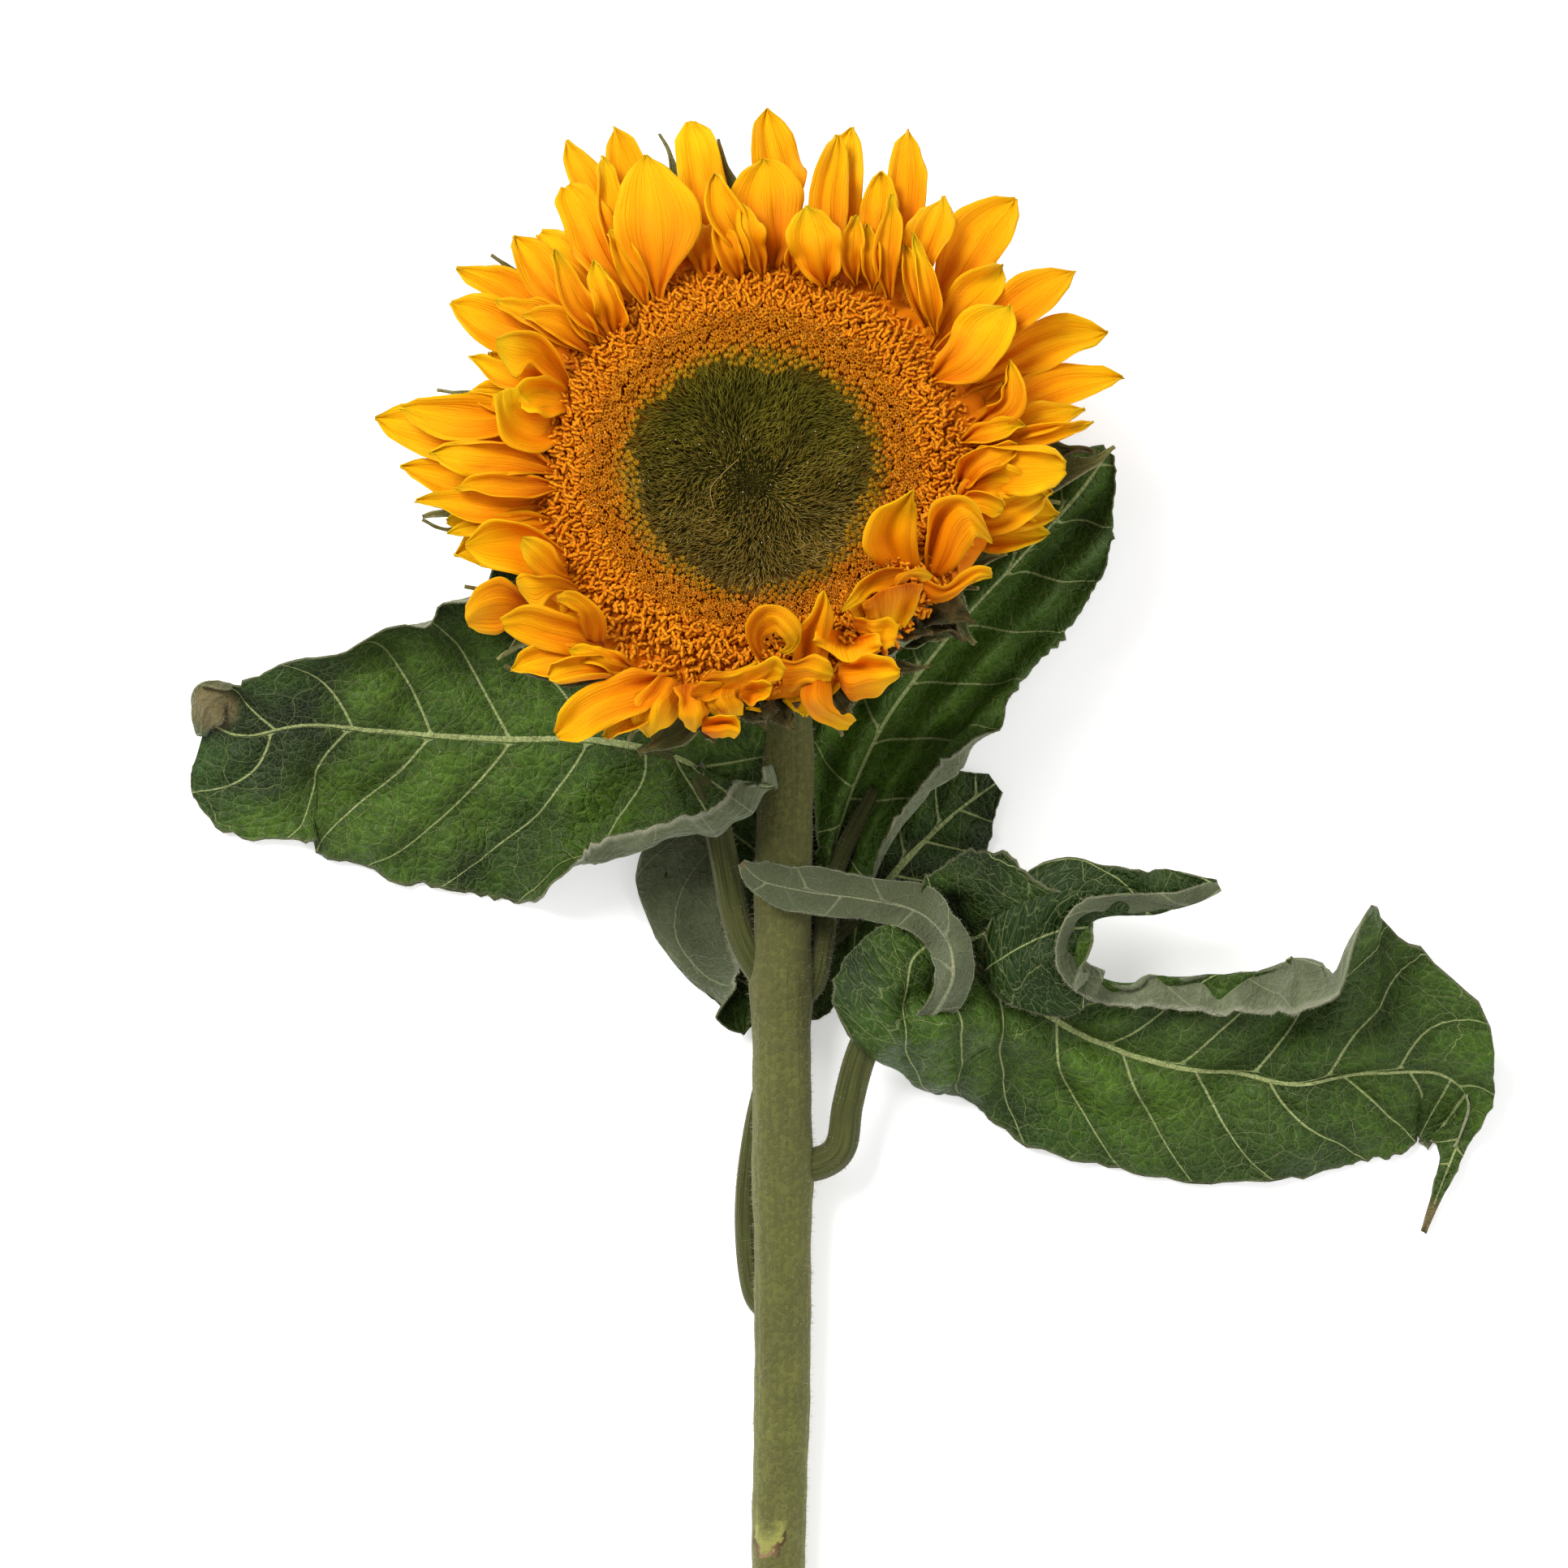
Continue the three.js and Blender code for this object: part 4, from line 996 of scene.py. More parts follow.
def add_petiole(batch, hairs, stations, random):
    """The leaf's stalk, grooved on its upper side, and its hairs."""
    table = smooth_rows(stations, PETIOLE_RINGS)
    points, faces, along, turn = stalk(table[:, :3], table[:, 3], PETIOLE_SIDES)
    groove = 1 - GROOVE_DEPTH * np.exp(-((turn - np.pi / 2) / GROOVE_WIDTH) ** 2)
    centre = np.repeat(table[:, :3], PETIOLE_SIDES, axis=0)
    points = centre + (points - centre) * groove[:, None]
    batch.add(points, faces, 2, along=along, across=turn * PETIOLE_RADIUS)
    picked = random.integers(PETIOLE_SIDES, len(points) - PETIOLE_SIDES, PETIOLE_HAIRS)
    outward = points[picked] - centre[picked]
    add_hairs(hairs, points[picked], outward + random.normal(0, 0.8, (PETIOLE_HAIRS, 3)),
              random.uniform(*PETIOLE_HAIR_LENGTHS, PETIOLE_HAIRS), PETIOLE_HAIR_WIDTH)


hair_batch = Batch()
for number, (name, leaf) in enumerate(LEAVES.items()):
    random = np.random.default_rng(40 + number)
    batch = Batch(LEAF_FIELDS)
    add_blades(batch, hair_batch, name, leaf, random)
    add_petiole(batch, hair_batch, leaf["petiole"], random)
    piece = batch.build(name + "_blade", [leaf_top, leaf_under, petiole_material])
    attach(piece, "root")
    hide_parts(name)
    low, high = (np.array(corner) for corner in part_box(name))
    own = np.array([v.co for v in piece.data.vertices])
    print(name, "faces", len(piece.data.polygons), "beyond its CAD box, mm:",
          ((own.min(0) - low) * 1000).round(1), ((own.max(0) - high) * 1000).round(1))

leaf_hairs = hair_batch.build("leaf_hairs", [hair_material], smooth=False)
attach(leaf_hairs, "root")

# %% [markdown]
# # The flower's base
#
# Under the disc sits the receptacle, a green cushion that carries everything: the stem meets it from
# behind, the bracts grow on its side, and its rim holds the disc. It is a turned shape with a slightly
# lumpy skin, so one lathed grid with a small ripple does it.

# %% Base material
base_material, g, shader = new_material("base_skin", roughness=0.7, sheen=0.5, sheen_tint=rgb(210, 214, 180))
tone = g.mix(spots(g, 0.006), rgb(70, 82, 36), rgb(104, 112, 54))
tone = g.over(tone, rgb(60, 62, 30), spots(g, 0.0014), 0.4)
tone = g.mix(g.remap(g.field("rim"), 0.2, 0.8), tone, rgb(58, 36, 12))
g.feed(shader["Base Color"], tone)
add_bump(g, shader, spots(g, 0.0012), 0.0003)

# %% Base shape
BASE_PROFILE = [  # radius and level
    (0, -25), (7.4, -25), (15, -24), (27, -21.4), (35, -18.8), (37.8, -17.2), (38.4, -15), (38.4, -9),
    (38.2, -6.6), (37.7, -5.8), (37, -5.6), (36.4, -5.8), (36.3, -7), (36.3, -8.3), (18, -8.3), (0, -8.3),
]
TURNS, LEAST_RADIUS = 144, 0.02
RIPPLES, RIPPLE_HEIGHT = 40, 0.25


def turned(profile, ripple_height=0.0):
    """A solid turned about the head's axis: points in head coordinates and faces."""
    rows = np.array(profile, float)
    turn = np.linspace(0, 2 * np.pi, TURNS, endpoint=False)
    radius = np.maximum(rows[:, 0], LEAST_RADIUS)[:, None]
    wave = ripple_height * np.sin(RIPPLES * turn)[None, :] * smoothstep(20, 34, radius)
    points = np.stack([(radius + wave) * np.cos(turn), (radius + wave) * np.sin(turn),
                       np.broadcast_to(rows[:, 1:2], (len(rows), TURNS))], -1).reshape(-1, 3)
    return points, ring_faces(len(rows), TURNS)


points, faces = turned(BASE_PROFILE, RIPPLE_HEIGHT)
rim = smoothstep(-10.0, -6.8, points[:, 2])
base = make_object("flower_base", from_head(points), faces, [base_material], {"rim": rim})
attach(base, "root")
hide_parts("receptacle")
print("base faces:", len(base.data.polygons))

# %% [markdown]
# # The disc
#
# The disc is hundreds of small flowers on a spiral. At the edge they are open, each with two curled
# ochre arms; further in they are pointed buds; in the middle they are still closed under dark
# bristles. Instances would be lighter, but every floret leans and curls in its own way here, so they
# are built a zone at a time with arrays: each is a small cup, with thin tubes for its arms.

# %% Disc materials
def floret_material(name, low, high, pale, roughness=0.65):
    """A floret's skin: darker at its foot, lighter at its tip, and different from one to the next."""
    material, g, shader = new_material(name, roughness=roughness, subsurface=0.1, specular=0.12)
    tone = g.mix(g.field("tip"), low, high)
    tone = g.mix(g.math("MULTIPLY", g.field("tint"), g.field("tip")), tone, pale)
    green = g.mix(g.field("tip"), rgb(60, 44, 4), rgb(190, 140, 6))
    tone = g.mix(g.field("green"), tone, green)
    tone = g.over(tone, low, spots(g, 0.0008), 0.25)
    g.feed(shader["Base Color"], tone)
    return material


open_material = floret_material("floret_arms", rgb(184, 90, 3), rgb(222, 132, 10), rgb(240, 158, 22))
corolla_material = floret_material("floret_cup", rgb(158, 76, 2), rgb(222, 136, 12), rgb(232, 152, 20))
bud_material = floret_material("floret_bud", rgb(150, 74, 2), rgb(206, 120, 6), rgb(230, 150, 14))
anther_material = floret_material("floret_middle", rgb(120, 60, 4), rgb(196, 112, 12), rgb(250, 190, 90),
                                  roughness=0.4)
pollen_material = floret_material("pollen_grain", rgb(170, 140, 84), rgb(250, 236, 206),
                                  rgb(255, 250, 236), roughness=0.4)

bristle_material, g, shader = new_material("disc_bristle", roughness=0.6, specular=0.1)
tone = g.mix(g.field("tip"), rgb(24, 18, 3), rgb(188, 152, 56))
pale = g.math("MULTIPLY", g.remap(g.field("tint"), 0.55, 0.95), g.field("tip"))
tone = g.mix(pale, tone, rgb(200, 178, 104))
green = g.mix(g.field("tip"), rgb(20, 22, 3), rgb(146, 142, 30))
tone = g.over(tone, green, g.field("green"), 0.8)
shade = spots(g, 0.007)
tone = g.over(tone, rgb(26, 22, 5), shade, 0.38)
g.feed(shader["Base Color"], tone)

floor_of_disc, g, shader = new_material("disc_ground", roughness=0.9, specular=0.05)
tone = g.mix(spots(g, 0.0012), rgb(150, 76, 3), rgb(120, 56, 3))
dark = g.mix(spots(g, 0.002), rgb(26, 24, 4), rgb(44, 40, 8))
g.feed(shader["Base Color"], g.mix(g.field("green"), tone, dark))
print("made the disc's materials")

# %% Disc helpers
FACE_PROFILE = np.array([  # radius and level of the disc's face
    (0, -3), (9, -2.6), (18, -1.6), (25, -0.3), (30, 0.6), (34.5, -0.6), (36, -2.4), (40, -5),
])
GOLDEN = math.pi * (3 - math.sqrt(5))
HEXAGON_AREA = 0.866  # of the cell of one floret, for a pitch of one
LOBES = 5  # teeth round a floret's mouth


def face_height(radius):
    return np.interp(radius, FACE_PROFILE[:, 0], FACE_PROFILE[:, 1])


def places(radius, turn, depth):
    """Feet of florets, a little below the disc's face."""
    return np.stack([radius * np.cos(turn), radius * np.sin(turn), face_height(radius) - depth], -1)


def spiral(inner, outer, pitch, random, scatter):
    """Places on a golden spiral between two radii: radius and turn."""
    area = pitch**2 * HEXAGON_AREA
    first, last = int(math.pi * inner**2 / area), int(math.pi * outer**2 / area)
    number = np.arange(first, last)
    radius = np.sqrt(number * area / math.pi) + random.normal(0, scatter, len(number))
    return radius, number * GOLDEN + random.normal(0, scatter, len(number)) / np.maximum(radius, 1)


def repeated_faces(count, rings, sides):
    """The faces of many tubes alike, each with its end caps."""
    pattern = ring_faces(rings, sides)
    shift = (np.arange(count) * rings * sides)[:, None, None]
    faces = (np.array(pattern[:-2])[None] + shift).reshape(-1, 4).tolist()
    for cap in pattern[-2:]:
        faces += (np.array(cap)[None] + shift[:, 0]).tolist()
    return faces


def spread(fields, count, rings, sides):
    """Values for the rings of many tubes, as one value for each point."""
    return {key: np.repeat(np.broadcast_to(value, (count, rings)).reshape(-1), sides)
            for key, value in fields.items()}


def add_tubes(batch, paths, radii, sides, material=0, **fields):
    """Many thin tubes at once. Paths are (tubes, points, 3), and fields are (tubes, points)."""
    count, length = paths.shape[:2]
    along = unit(np.gradient(paths, axis=1))
    swing = paths[:, -1] - paths[:, 0]
    normal = unit(np.cross(along[:, 0], swing) + [1e-4, 2e-4, 0])
    side = unit(normal[:, None] - (normal[:, None] * along).sum(-1, keepdims=True) * along)
    other = np.cross(along, side)
    turn = np.linspace(0, 2 * np.pi, sides, endpoint=False)
    r = np.broadcast_to(radii, (count, length))[..., None, None]
    ring = side[:, :, None] * np.cos(turn)[:, None] + other[:, :, None] * np.sin(turn)[:, None]
    points = (paths[:, :, None] + r * ring).reshape(-1, 3)
    faces = repeated_faces(count, length, sides)
    batch.add(from_head(points), faces, material, **spread(fields, count, length, sides))


def add_cups(batch, foot, axes, rings, sides, spin, material=0, **fields):
    """Many small round bodies at once. A ring is height, radius, scallop and lift of its points."""
    up, out, sideways = axes
    count = len(foot)
    turn = np.linspace(0, 2 * np.pi, sides, endpoint=False)[None] + spin[:, None]
    lobes = np.cos(LOBES * np.linspace(0, 2 * np.pi, sides, endpoint=False))[None]
    round_about = np.cos(turn)[..., None] * out[:, None] + np.sin(turn)[..., None] * sideways[:, None]
    levels = []
    for height, radius, scallop, lift in rings:
        reach = np.broadcast_to(radius, (count,))[:, None] * (1 + scallop * lobes)
        level = np.broadcast_to(height, (count,))[:, None] + lift * lobes
        levels.append(foot[:, None] + level[..., None] * up[:, None] + reach[..., None] * round_about)
    points = np.stack(levels, axis=1).reshape(-1, 3)
    faces = repeated_faces(count, len(rings), sides)
    batch.add(from_head(points), faces, material, **spread(fields, count, len(rings), sides))


BEND_WIDTH, BEND_TIP = 0.8, 0.55  # share of a bristle's width, and of its tip colour, at the bend


def add_bristles(batch, paths, width, tint, green):
    """Three-sided bristles with one bend. Paths are (bristles, 3, 3), from foot to tip."""
    foot, bend, tip = paths[:, 0], paths[:, 1], paths[:, 2]
    along = unit(tip - foot)
    side = unit(np.cross(along, [0.3, 0.2, 1.0]))
    other = np.cross(along, side)
    corners = [width * (math.cos(turn) * side + math.sin(turn) * other) for turn in THIRDS_OF_A_TURN]
    points = np.stack([foot + c for c in corners] + [bend + BEND_WIDTH * c for c in corners] + [tip], 1)
    each = points.shape[1]
    first = each * np.arange(len(paths))[:, None]
    quads = [first + corner for corner in ([0, 1, 4, 3], [1, 2, 5, 4], [2, 0, 3, 5])]
    triangles = [first + corner for corner in ([3, 4, 6], [4, 5, 6], [5, 3, 6], [2, 1, 0])]
    faces = np.concatenate(quads).tolist() + np.concatenate(triangles).tolist()
    batch.add(from_head(points.reshape(-1, 3)), faces, tint=np.repeat(tint, each),
              green=np.repeat(green, each), tip=np.tile([0] * 3 + [BEND_TIP] * 3 + [1], len(paths)))


def lean_axes(turn, tilt, swing):
    """Up, outward and sideways directions of florets that lean outward by tilt."""
    outward = np.stack([np.cos(turn + swing), np.sin(turn + swing), np.zeros_like(turn)], -1)
    sideways = np.stack([-np.sin(turn + swing), np.cos(turn + swing), np.zeros_like(turn)], -1)
    up = np.array([0, 0, 1.0]) * np.cos(tilt)[:, None] + outward * np.sin(tilt)[:, None]
    out = outward * np.cos(tilt)[:, None] - np.array([0, 0, 1.0]) * np.sin(tilt)[:, None]
    return up, out, sideways


# %% Ground of the disc
GROUND_DROP = 1.6
GROUND_RIM = [(0, DISC_BOTTOM), (36.6, DISC_BOTTOM), (37.8, -4.4), (36.4, -2.6), (34.5, -1.9)]
GROUND_RADII = (33, 30, 25, 18, 9, 0)
points, faces = turned(GROUND_RIM + [(r, face_height(r) - GROUND_DROP) for r in GROUND_RADII])
radius = np.hypot(points[:, 0], points[:, 1])
FLORET_FIELDS = ("tip", "tint", "green")
disc_batch = Batch(FLORET_FIELDS)
disc_batch.add(from_head(points), faces, green=1 - smoothstep(18, 21.5, radius))
ground = disc_batch.build("disc_ground", [floor_of_disc])
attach(ground, "root")
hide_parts("disc")


# %% Open florets
random = np.random.default_rng(5)
OPEN_FROM, OPEN_TO, OPEN_PITCH, OPEN_SCATTER, OPEN_FOOT = 28.0, 38.1, 1.3, 0.08, 2.6
radius, turn = spiral(OPEN_FROM, OPEN_TO, OPEN_PITCH, random, OPEN_SCATTER)
count = len(radius)
tilt = np.radians(2 + 30 * smoothstep(33, OPEN_TO, radius)) + random.normal(0, 0.12, count)
axes = lean_axes(turn, tilt, random.normal(0, 0.15, count))
up, out, sideways = axes
foot = places(radius, turn, OPEN_FOOT)
openness = smoothstep(OPEN_FROM - 0.5, 34.5, radius + random.normal(0, 1.0, count))
tall = 2.5 + 0.6 * openness + random.uniform(-0.35, 0.35, count)
tint = random.uniform(0, 1, count)
spin = random.uniform(0, 2 * np.pi, count)

floret_batch = Batch(FLORET_FIELDS)
cup_rings = [(0.0, 0.46, 0, 0), (0.82 * tall, 0.66, 0.2, 0.08), (0.8 * tall, 0.34, 0, 0)]
add_cups(floret_batch, foot, axes, cup_rings, 2 * LOBES, spin, tip=np.array([0, 1.0, 0.1]),
         tint=tint[:, None])
cups = floret_batch.build("disc_open_cups", [corolla_material])
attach(cups, "root")
arm_batch = Batch(FLORET_FIELDS)
ARM_STEPS, ARM_SIDES = 6, 4
steps = np.linspace(0, 1, ARM_STEPS)
face = random.normal(0, 0.65, count)
for arm in (0, 1):
    face = face + arm * (np.pi + random.normal(0, 0.35, count))
    away = out * np.cos(face)[:, None] + sideways * np.sin(face)[:, None]
    reach = (0.34 + 0.14 * random.uniform(0, 1, count)) * (0.45 + 0.55 * openness)
    sweep = np.radians(random.uniform(165, 250, count))
    angle = sweep[:, None] * steps[None]
    start = foot + up * (tall * 0.86)[:, None]
    rise = random.uniform(0.9, 1.3, count)
    path = (start[:, None] + away[:, None] * (reach[:, None] * (1 - np.cos(angle)))[..., None]
            + up[:, None] * ((reach * rise)[:, None] * np.sin(angle) + 0.3 * steps)[..., None])
    thick = (0.22 + 0.09 * openness)[:, None] * (1 - 0.25 * steps**2)
    add_tubes(arm_batch, path, thick, ARM_SIDES, tip=0.3 + 0.7 * np.sin(np.pi * steps * 0.75),
              tint=tint[:, None])
arms = arm_batch.build("disc_open_arms", [open_material])
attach(arms, "root")
print("open florets:", count, "faces", len(cups.data.polygons) + len(arms.data.polygons))

# %% Opening florets and buds
BUD_FROM, BUD_TO, BUD_PITCH, BUD_SCATTER, BUD_FOOT = 18.6, 30.6, 1.04, 0.09, 2.3
BUD_INNER_EDGE, BUD_OUTER_EDGE, BUD_SIDES, MIDDLE_SIDES = 20.3, 29.2, 2 * LOBES, 4
radius, turn = spiral(BUD_FROM, BUD_TO, BUD_PITCH, random, BUD_SCATTER)
wobble = 0.9 * np.sin(3 * turn) + 0.6 * np.sin(7 * turn + 1)
inside = radius < BUD_OUTER_EDGE + random.normal(0, 0.5, len(radius))
inside &= radius > BUD_INNER_EDGE + wobble + random.normal(0, 0.5, len(radius))
radius, turn = radius[inside], turn[inside]
count = len(radius)
ripe = smoothstep(22, 27, radius + random.normal(0, 0.6, count))
tilt = np.radians(4 + 14 * (1 - ripe)) + random.normal(0, 0.1, count)
axes = lean_axes(turn, tilt, random.normal(0, 0.2, count))
foot = places(radius, turn, BUD_FOOT)
tall = 1.8 + 0.7 * ripe + random.uniform(-0.5, 0.5, count)
spin, tint = random.uniform(0, 2 * np.pi, count), random.uniform(0, 1, count)
green = (1 - smoothstep(20.8, 24.0, radius + random.normal(0, 0.7, count)))[:, None]
bud_batch = Batch(FLORET_FIELDS)
mouth = 0.33 + 0.18 * ripe + random.uniform(-0.05, 0.05, count)
bud_rings = [(0.3 * tall, 0.56, 0, 0), (tall, mouth, 0.42, 0.16), (0.84 * tall, 0.55 * mouth, 0, 0)]
add_cups(bud_batch, foot, axes, bud_rings, BUD_SIDES, spin, tip=np.array([0.2, 1.0, 0.15]),
         tint=tint[:, None], green=green)
stands = tall * (0.86 + 0.3 * random.uniform(0, 1, count) * ripe)
middle_rings = [(0.6 * tall, 0.17, 0, 0), (stands, 0.2, 0, 0), (stands + 0.16, 0.1, 0, 0)]
add_cups(bud_batch, foot, axes, middle_rings, MIDDLE_SIDES, spin, 1, tip=np.array([0, 0.5, 1.0]),
         tint=random.uniform(0, 1, (count, 1)) ** 3, green=0.6 * green)
buds = bud_batch.build("disc_buds", [bud_material, anther_material])
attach(buds, "root")
print("buds:", count, "faces", len(buds.data.polygons))

# %% Bristles
bristle_batch = Batch(FLORET_FIELDS)
BRISTLES = [  # inner and outer radius, pitch, length, width, tilt range in degrees
    (0.0, 22.5, 0.52, 2.2, 0.07, (20, 62)),
    (4.0, 24.5, 0.72, 3.4, 0.055, (36, 76)),
    (19.0, 26.5, 0.9, 1.8, 0.05, (25, 55)),
]
BRISTLE_SCATTER, BRISTLE_FOOT = 0.2, 1.5
for inner, outer, pitch, length, width, tilts in BRISTLES:
    radius, turn = spiral(inner, outer, pitch, random, BRISTLE_SCATTER)
    keep = random.uniform(0, 1, len(radius)) < 1 - smoothstep(outer - 3, outer, radius)
    radius, turn = np.abs(radius[keep]), turn[keep]
    count = len(radius)
    tilt = np.radians(random.uniform(*tilts, count)) * smoothstep(0, 6, radius)
    comb = 0.5 * np.sin(2 * turn + 0.16 * radius) + 0.35 * np.sin(5 * turn - 0.3 * radius)
    up, out, sideways = lean_axes(turn, tilt, comb + random.normal(0, 0.4, count))
    foot = places(radius, turn, BRISTLE_FOOT)
    tall = length * random.uniform(0.6, 1.2, count) * (0.55 + 0.45 * smoothstep(2, 12, radius))
    steps = np.array([0, 0.55, 1.0])
    bend = out[:, None] * (0.3 * tall[:, None] * steps**2)[..., None]
    swerve = random.normal(0, 0.16, count) * tall
    bend = bend + sideways[:, None] * (swerve[:, None] * steps**2)[..., None]
    path = foot[:, None] + up[:, None] * (tall[:, None] * steps)[..., None] + bend
    greener = smoothstep(-16, 14, radius * np.sin(turn) + random.normal(0, 5, count))
    add_bristles(bristle_batch, path, width, random.uniform(0, 1, count), greener)
# One long pale hair lies on the bristles, and grains of pollen are strewn over the disc.
LONG_HAIR = [(-2.4, 1.6, 0.4), (-5.6, -1.8, 0.8), (-7.2, -4.2, 0.8), (-6.6, -7.6, 0.3)]
LONG_HAIR_STEPS, LONG_HAIR_RADIUS, LONG_HAIR_SIDES = 24, 0.055, 5
add_tubes(bristle_batch, smooth_rows(LONG_HAIR, LONG_HAIR_STEPS)[None], LONG_HAIR_RADIUS,
          LONG_HAIR_SIDES, 1, tip=0.0, tint=0.5)
GRAINS, GRAIN_SIDES, GRAIN_HEIGHT = 60, 6, 0.1
GRAIN_RINGS = [(0.0, 0.05, 0, 0), (0.08, 0.1, 0, 0), (0.16, 0.05, 0, 0)]
radius, turn = random.uniform(3, 36, GRAINS), random.uniform(0, 2 * np.pi, GRAINS)
level = np.zeros(GRAINS)
add_cups(bristle_batch, places(radius, turn, -GRAIN_HEIGHT), lean_axes(turn, level, level), GRAIN_RINGS,
         GRAIN_SIDES, level, 1, tip=0.8, tint=random.uniform(0, 1, (GRAINS, 1)))
bristles = bristle_batch.build("disc_bristles", [bristle_material, pollen_material])
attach(bristles, "root")
print("bristles:", len(bristles.data.polygons))

# %% [markdown]
# # The petals
#
# A sunflower's petals are thin, ribbed lengthwise and narrow at the claw where they leave the rim.
# Each one curls in its own way. A petal here follows a line of three points, and its cross-section
# turns from a channel at the claw to a nearly flat blade and a crease at the tip. The margins roll
# and wave by their own amounts. That gives flat, channelled and rolled petals from one function; those
# that fold over themselves go through a net of points instead.

# %% Petal material
petal_material, g, shader = new_material("petal", roughness=0.6, subsurface=0.15, specular=0.08)
along, across, tint, fold = g.field("along"), g.field("across"), g.field("tint"), g.field("fold")
ribs = g.use(fine_ribs, Across=across, Along=g.field("length"), Pitch=0.06, Waver=0.1).outputs[0]
ramp_place = g.math("ADD", along, g.math("MULTIPLY", g.math("SUBTRACT", ribs, 0.5), 0.14))
ramp_place = g.math("ADD", ramp_place, g.math("MULTIPLY", g.math("SUBTRACT", tint, 0.5), 0.3))
# Painted shade: the troughs of the pleats go towards the darker orange.
ramp_place = g.math("SUBTRACT", ramp_place, g.math("MULTIPLY", fold, 0.22))
tone = g.ramp(ramp_place, [(0.0, rgb(184, 80, 1)), (0.2, rgb(224, 126, 2)), (0.45, rgb(237, 150, 2)),
                           (0.7, rgb(246, 174, 3)), (1.0, rgb(251, 197, 8))])
deep = g.math("MULTIPLY", ribs, g.remap(along, 0.15, 0.8, 0.45, 0.14))
tone = g.mix(deep, tone, rgb(220, 112, 1))
patch = spots(g, 0.012)
tone = g.over(tone, rgb(230, 136, 2), patch, 0.25)
edge = g.remap(g.math("ABSOLUTE", across), 0.88, 1.0)
tone = g.over(tone, rgb(250, 192, 14), edge, 0.35)
tone = g.over(tone, rgb(196, 168, 14), g.field("green"), 0.65)
g.feed(shader["Base Color"], tone)
add_bump(g, shader, ribs, 0.00014)
print("made material", petal_material.name)

# %% Petal shape
PETAL_ROWS, PETAL_COLUMNS = 26, 8
PETAL_HALF_THICKNESS = 0.13
RIBS = 5
# How uneven petals are: sway of the twist in radians, wander of the middle line and change of the
# width as shares of the width, and the parts of a long and a short wave in the margin's swing.
SWAY, WANDER, WIDTH_CHANGE, LONG_SWING, SHORT_SWING = 0.14, 0.06, 0.1, 0.7, 0.35
DENT_HEIGHT = 0.3
CLAW_END, TIP_FROM = 0.4, 0.75
ROLL_LENGTH = 0.35  # the share of the length over which a roll grows
FULL_WAVE_WIDTH, FULL_PLEAT_WIDTH = 3, 3.5  # narrower petals wave and pleat less
# Half-widths from the claw to the tip, as shares of the widest one.
OUTLINES = {
    "spoon": (0.26, 0.34, 0.5, 0.74, 0.93, 1.0, 0.98, 0.86, 0.6, 0.03),
    "oval": (0.2, 0.32, 0.54, 0.8, 0.97, 1.0, 0.94, 0.78, 0.5, 0.02),
    "wide": (0.28, 0.42, 0.64, 0.86, 0.98, 1.0, 0.92, 0.74, 0.46, 0.02),
    "blunt": (0.3, 0.44, 0.64, 0.84, 0.96, 1.0, 1.0, 0.94, 0.76, 0.24),
    "strap": (0.45, 0.6, 0.8, 0.95, 1.0, 1.0, 0.94, 0.78, 0.5, 0.05),
}
# Cup in degrees at the claw, in mid-length and at the tip, height of waves and of pleats, roll of the
# two margins in degrees, and the share of the length where that roll begins.
STYLES = {
    "flat": dict(cup=(72, 24, 20), wave=1.5, pleat=0.85),
    "broad": dict(cup=(58, 14, 12), wave=1.3, pleat=0.6),
    "channel": dict(cup=(88, 66, 34), wave=1.1, pleat=0.5),
    "wavy": dict(cup=(75, 34, 14), wave=2.6, pleat=0.9),
    "rolled": dict(cup=(80, 44, 10), roll=(75, 65), roll_from=0.2, wave=1.5, pleat=0.5),
    "trumpet": dict(cup=(85, 62, 0), roll=(100, 90), roll_from=0.05, wave=1.3, pleat=0.5),
    "left_roll": dict(cup=(70, 26, 10), roll=(135, 5), roll_from=0.15, wave=1.7, pleat=0.7),
    "right_roll": dict(cup=(70, 26, 10), roll=(5, 135), roll_from=0.15, wave=1.7, pleat=0.7),
}


def section_side(width, crease, cup, roll, columns):
    """Half a cross-section, from the middle to the margin: places out and up, in rows."""
    share = (np.arange(columns) + 0.5) / columns
    angle = crease[:, None] + cup[:, None] * share + roll[:, None] * smoothstep(0.35, 1.0, share)
    step = (width / columns)[:, None]
    return np.cumsum(step * np.cos(angle), axis=1), np.cumsum(step * np.sin(angle), axis=1)


def uneven(s, random, low, high):
    """A wave along a petal with its own length and start."""
    return np.sin(2 * np.pi * (random.uniform(low, high) * s + random.uniform(0, 1)))


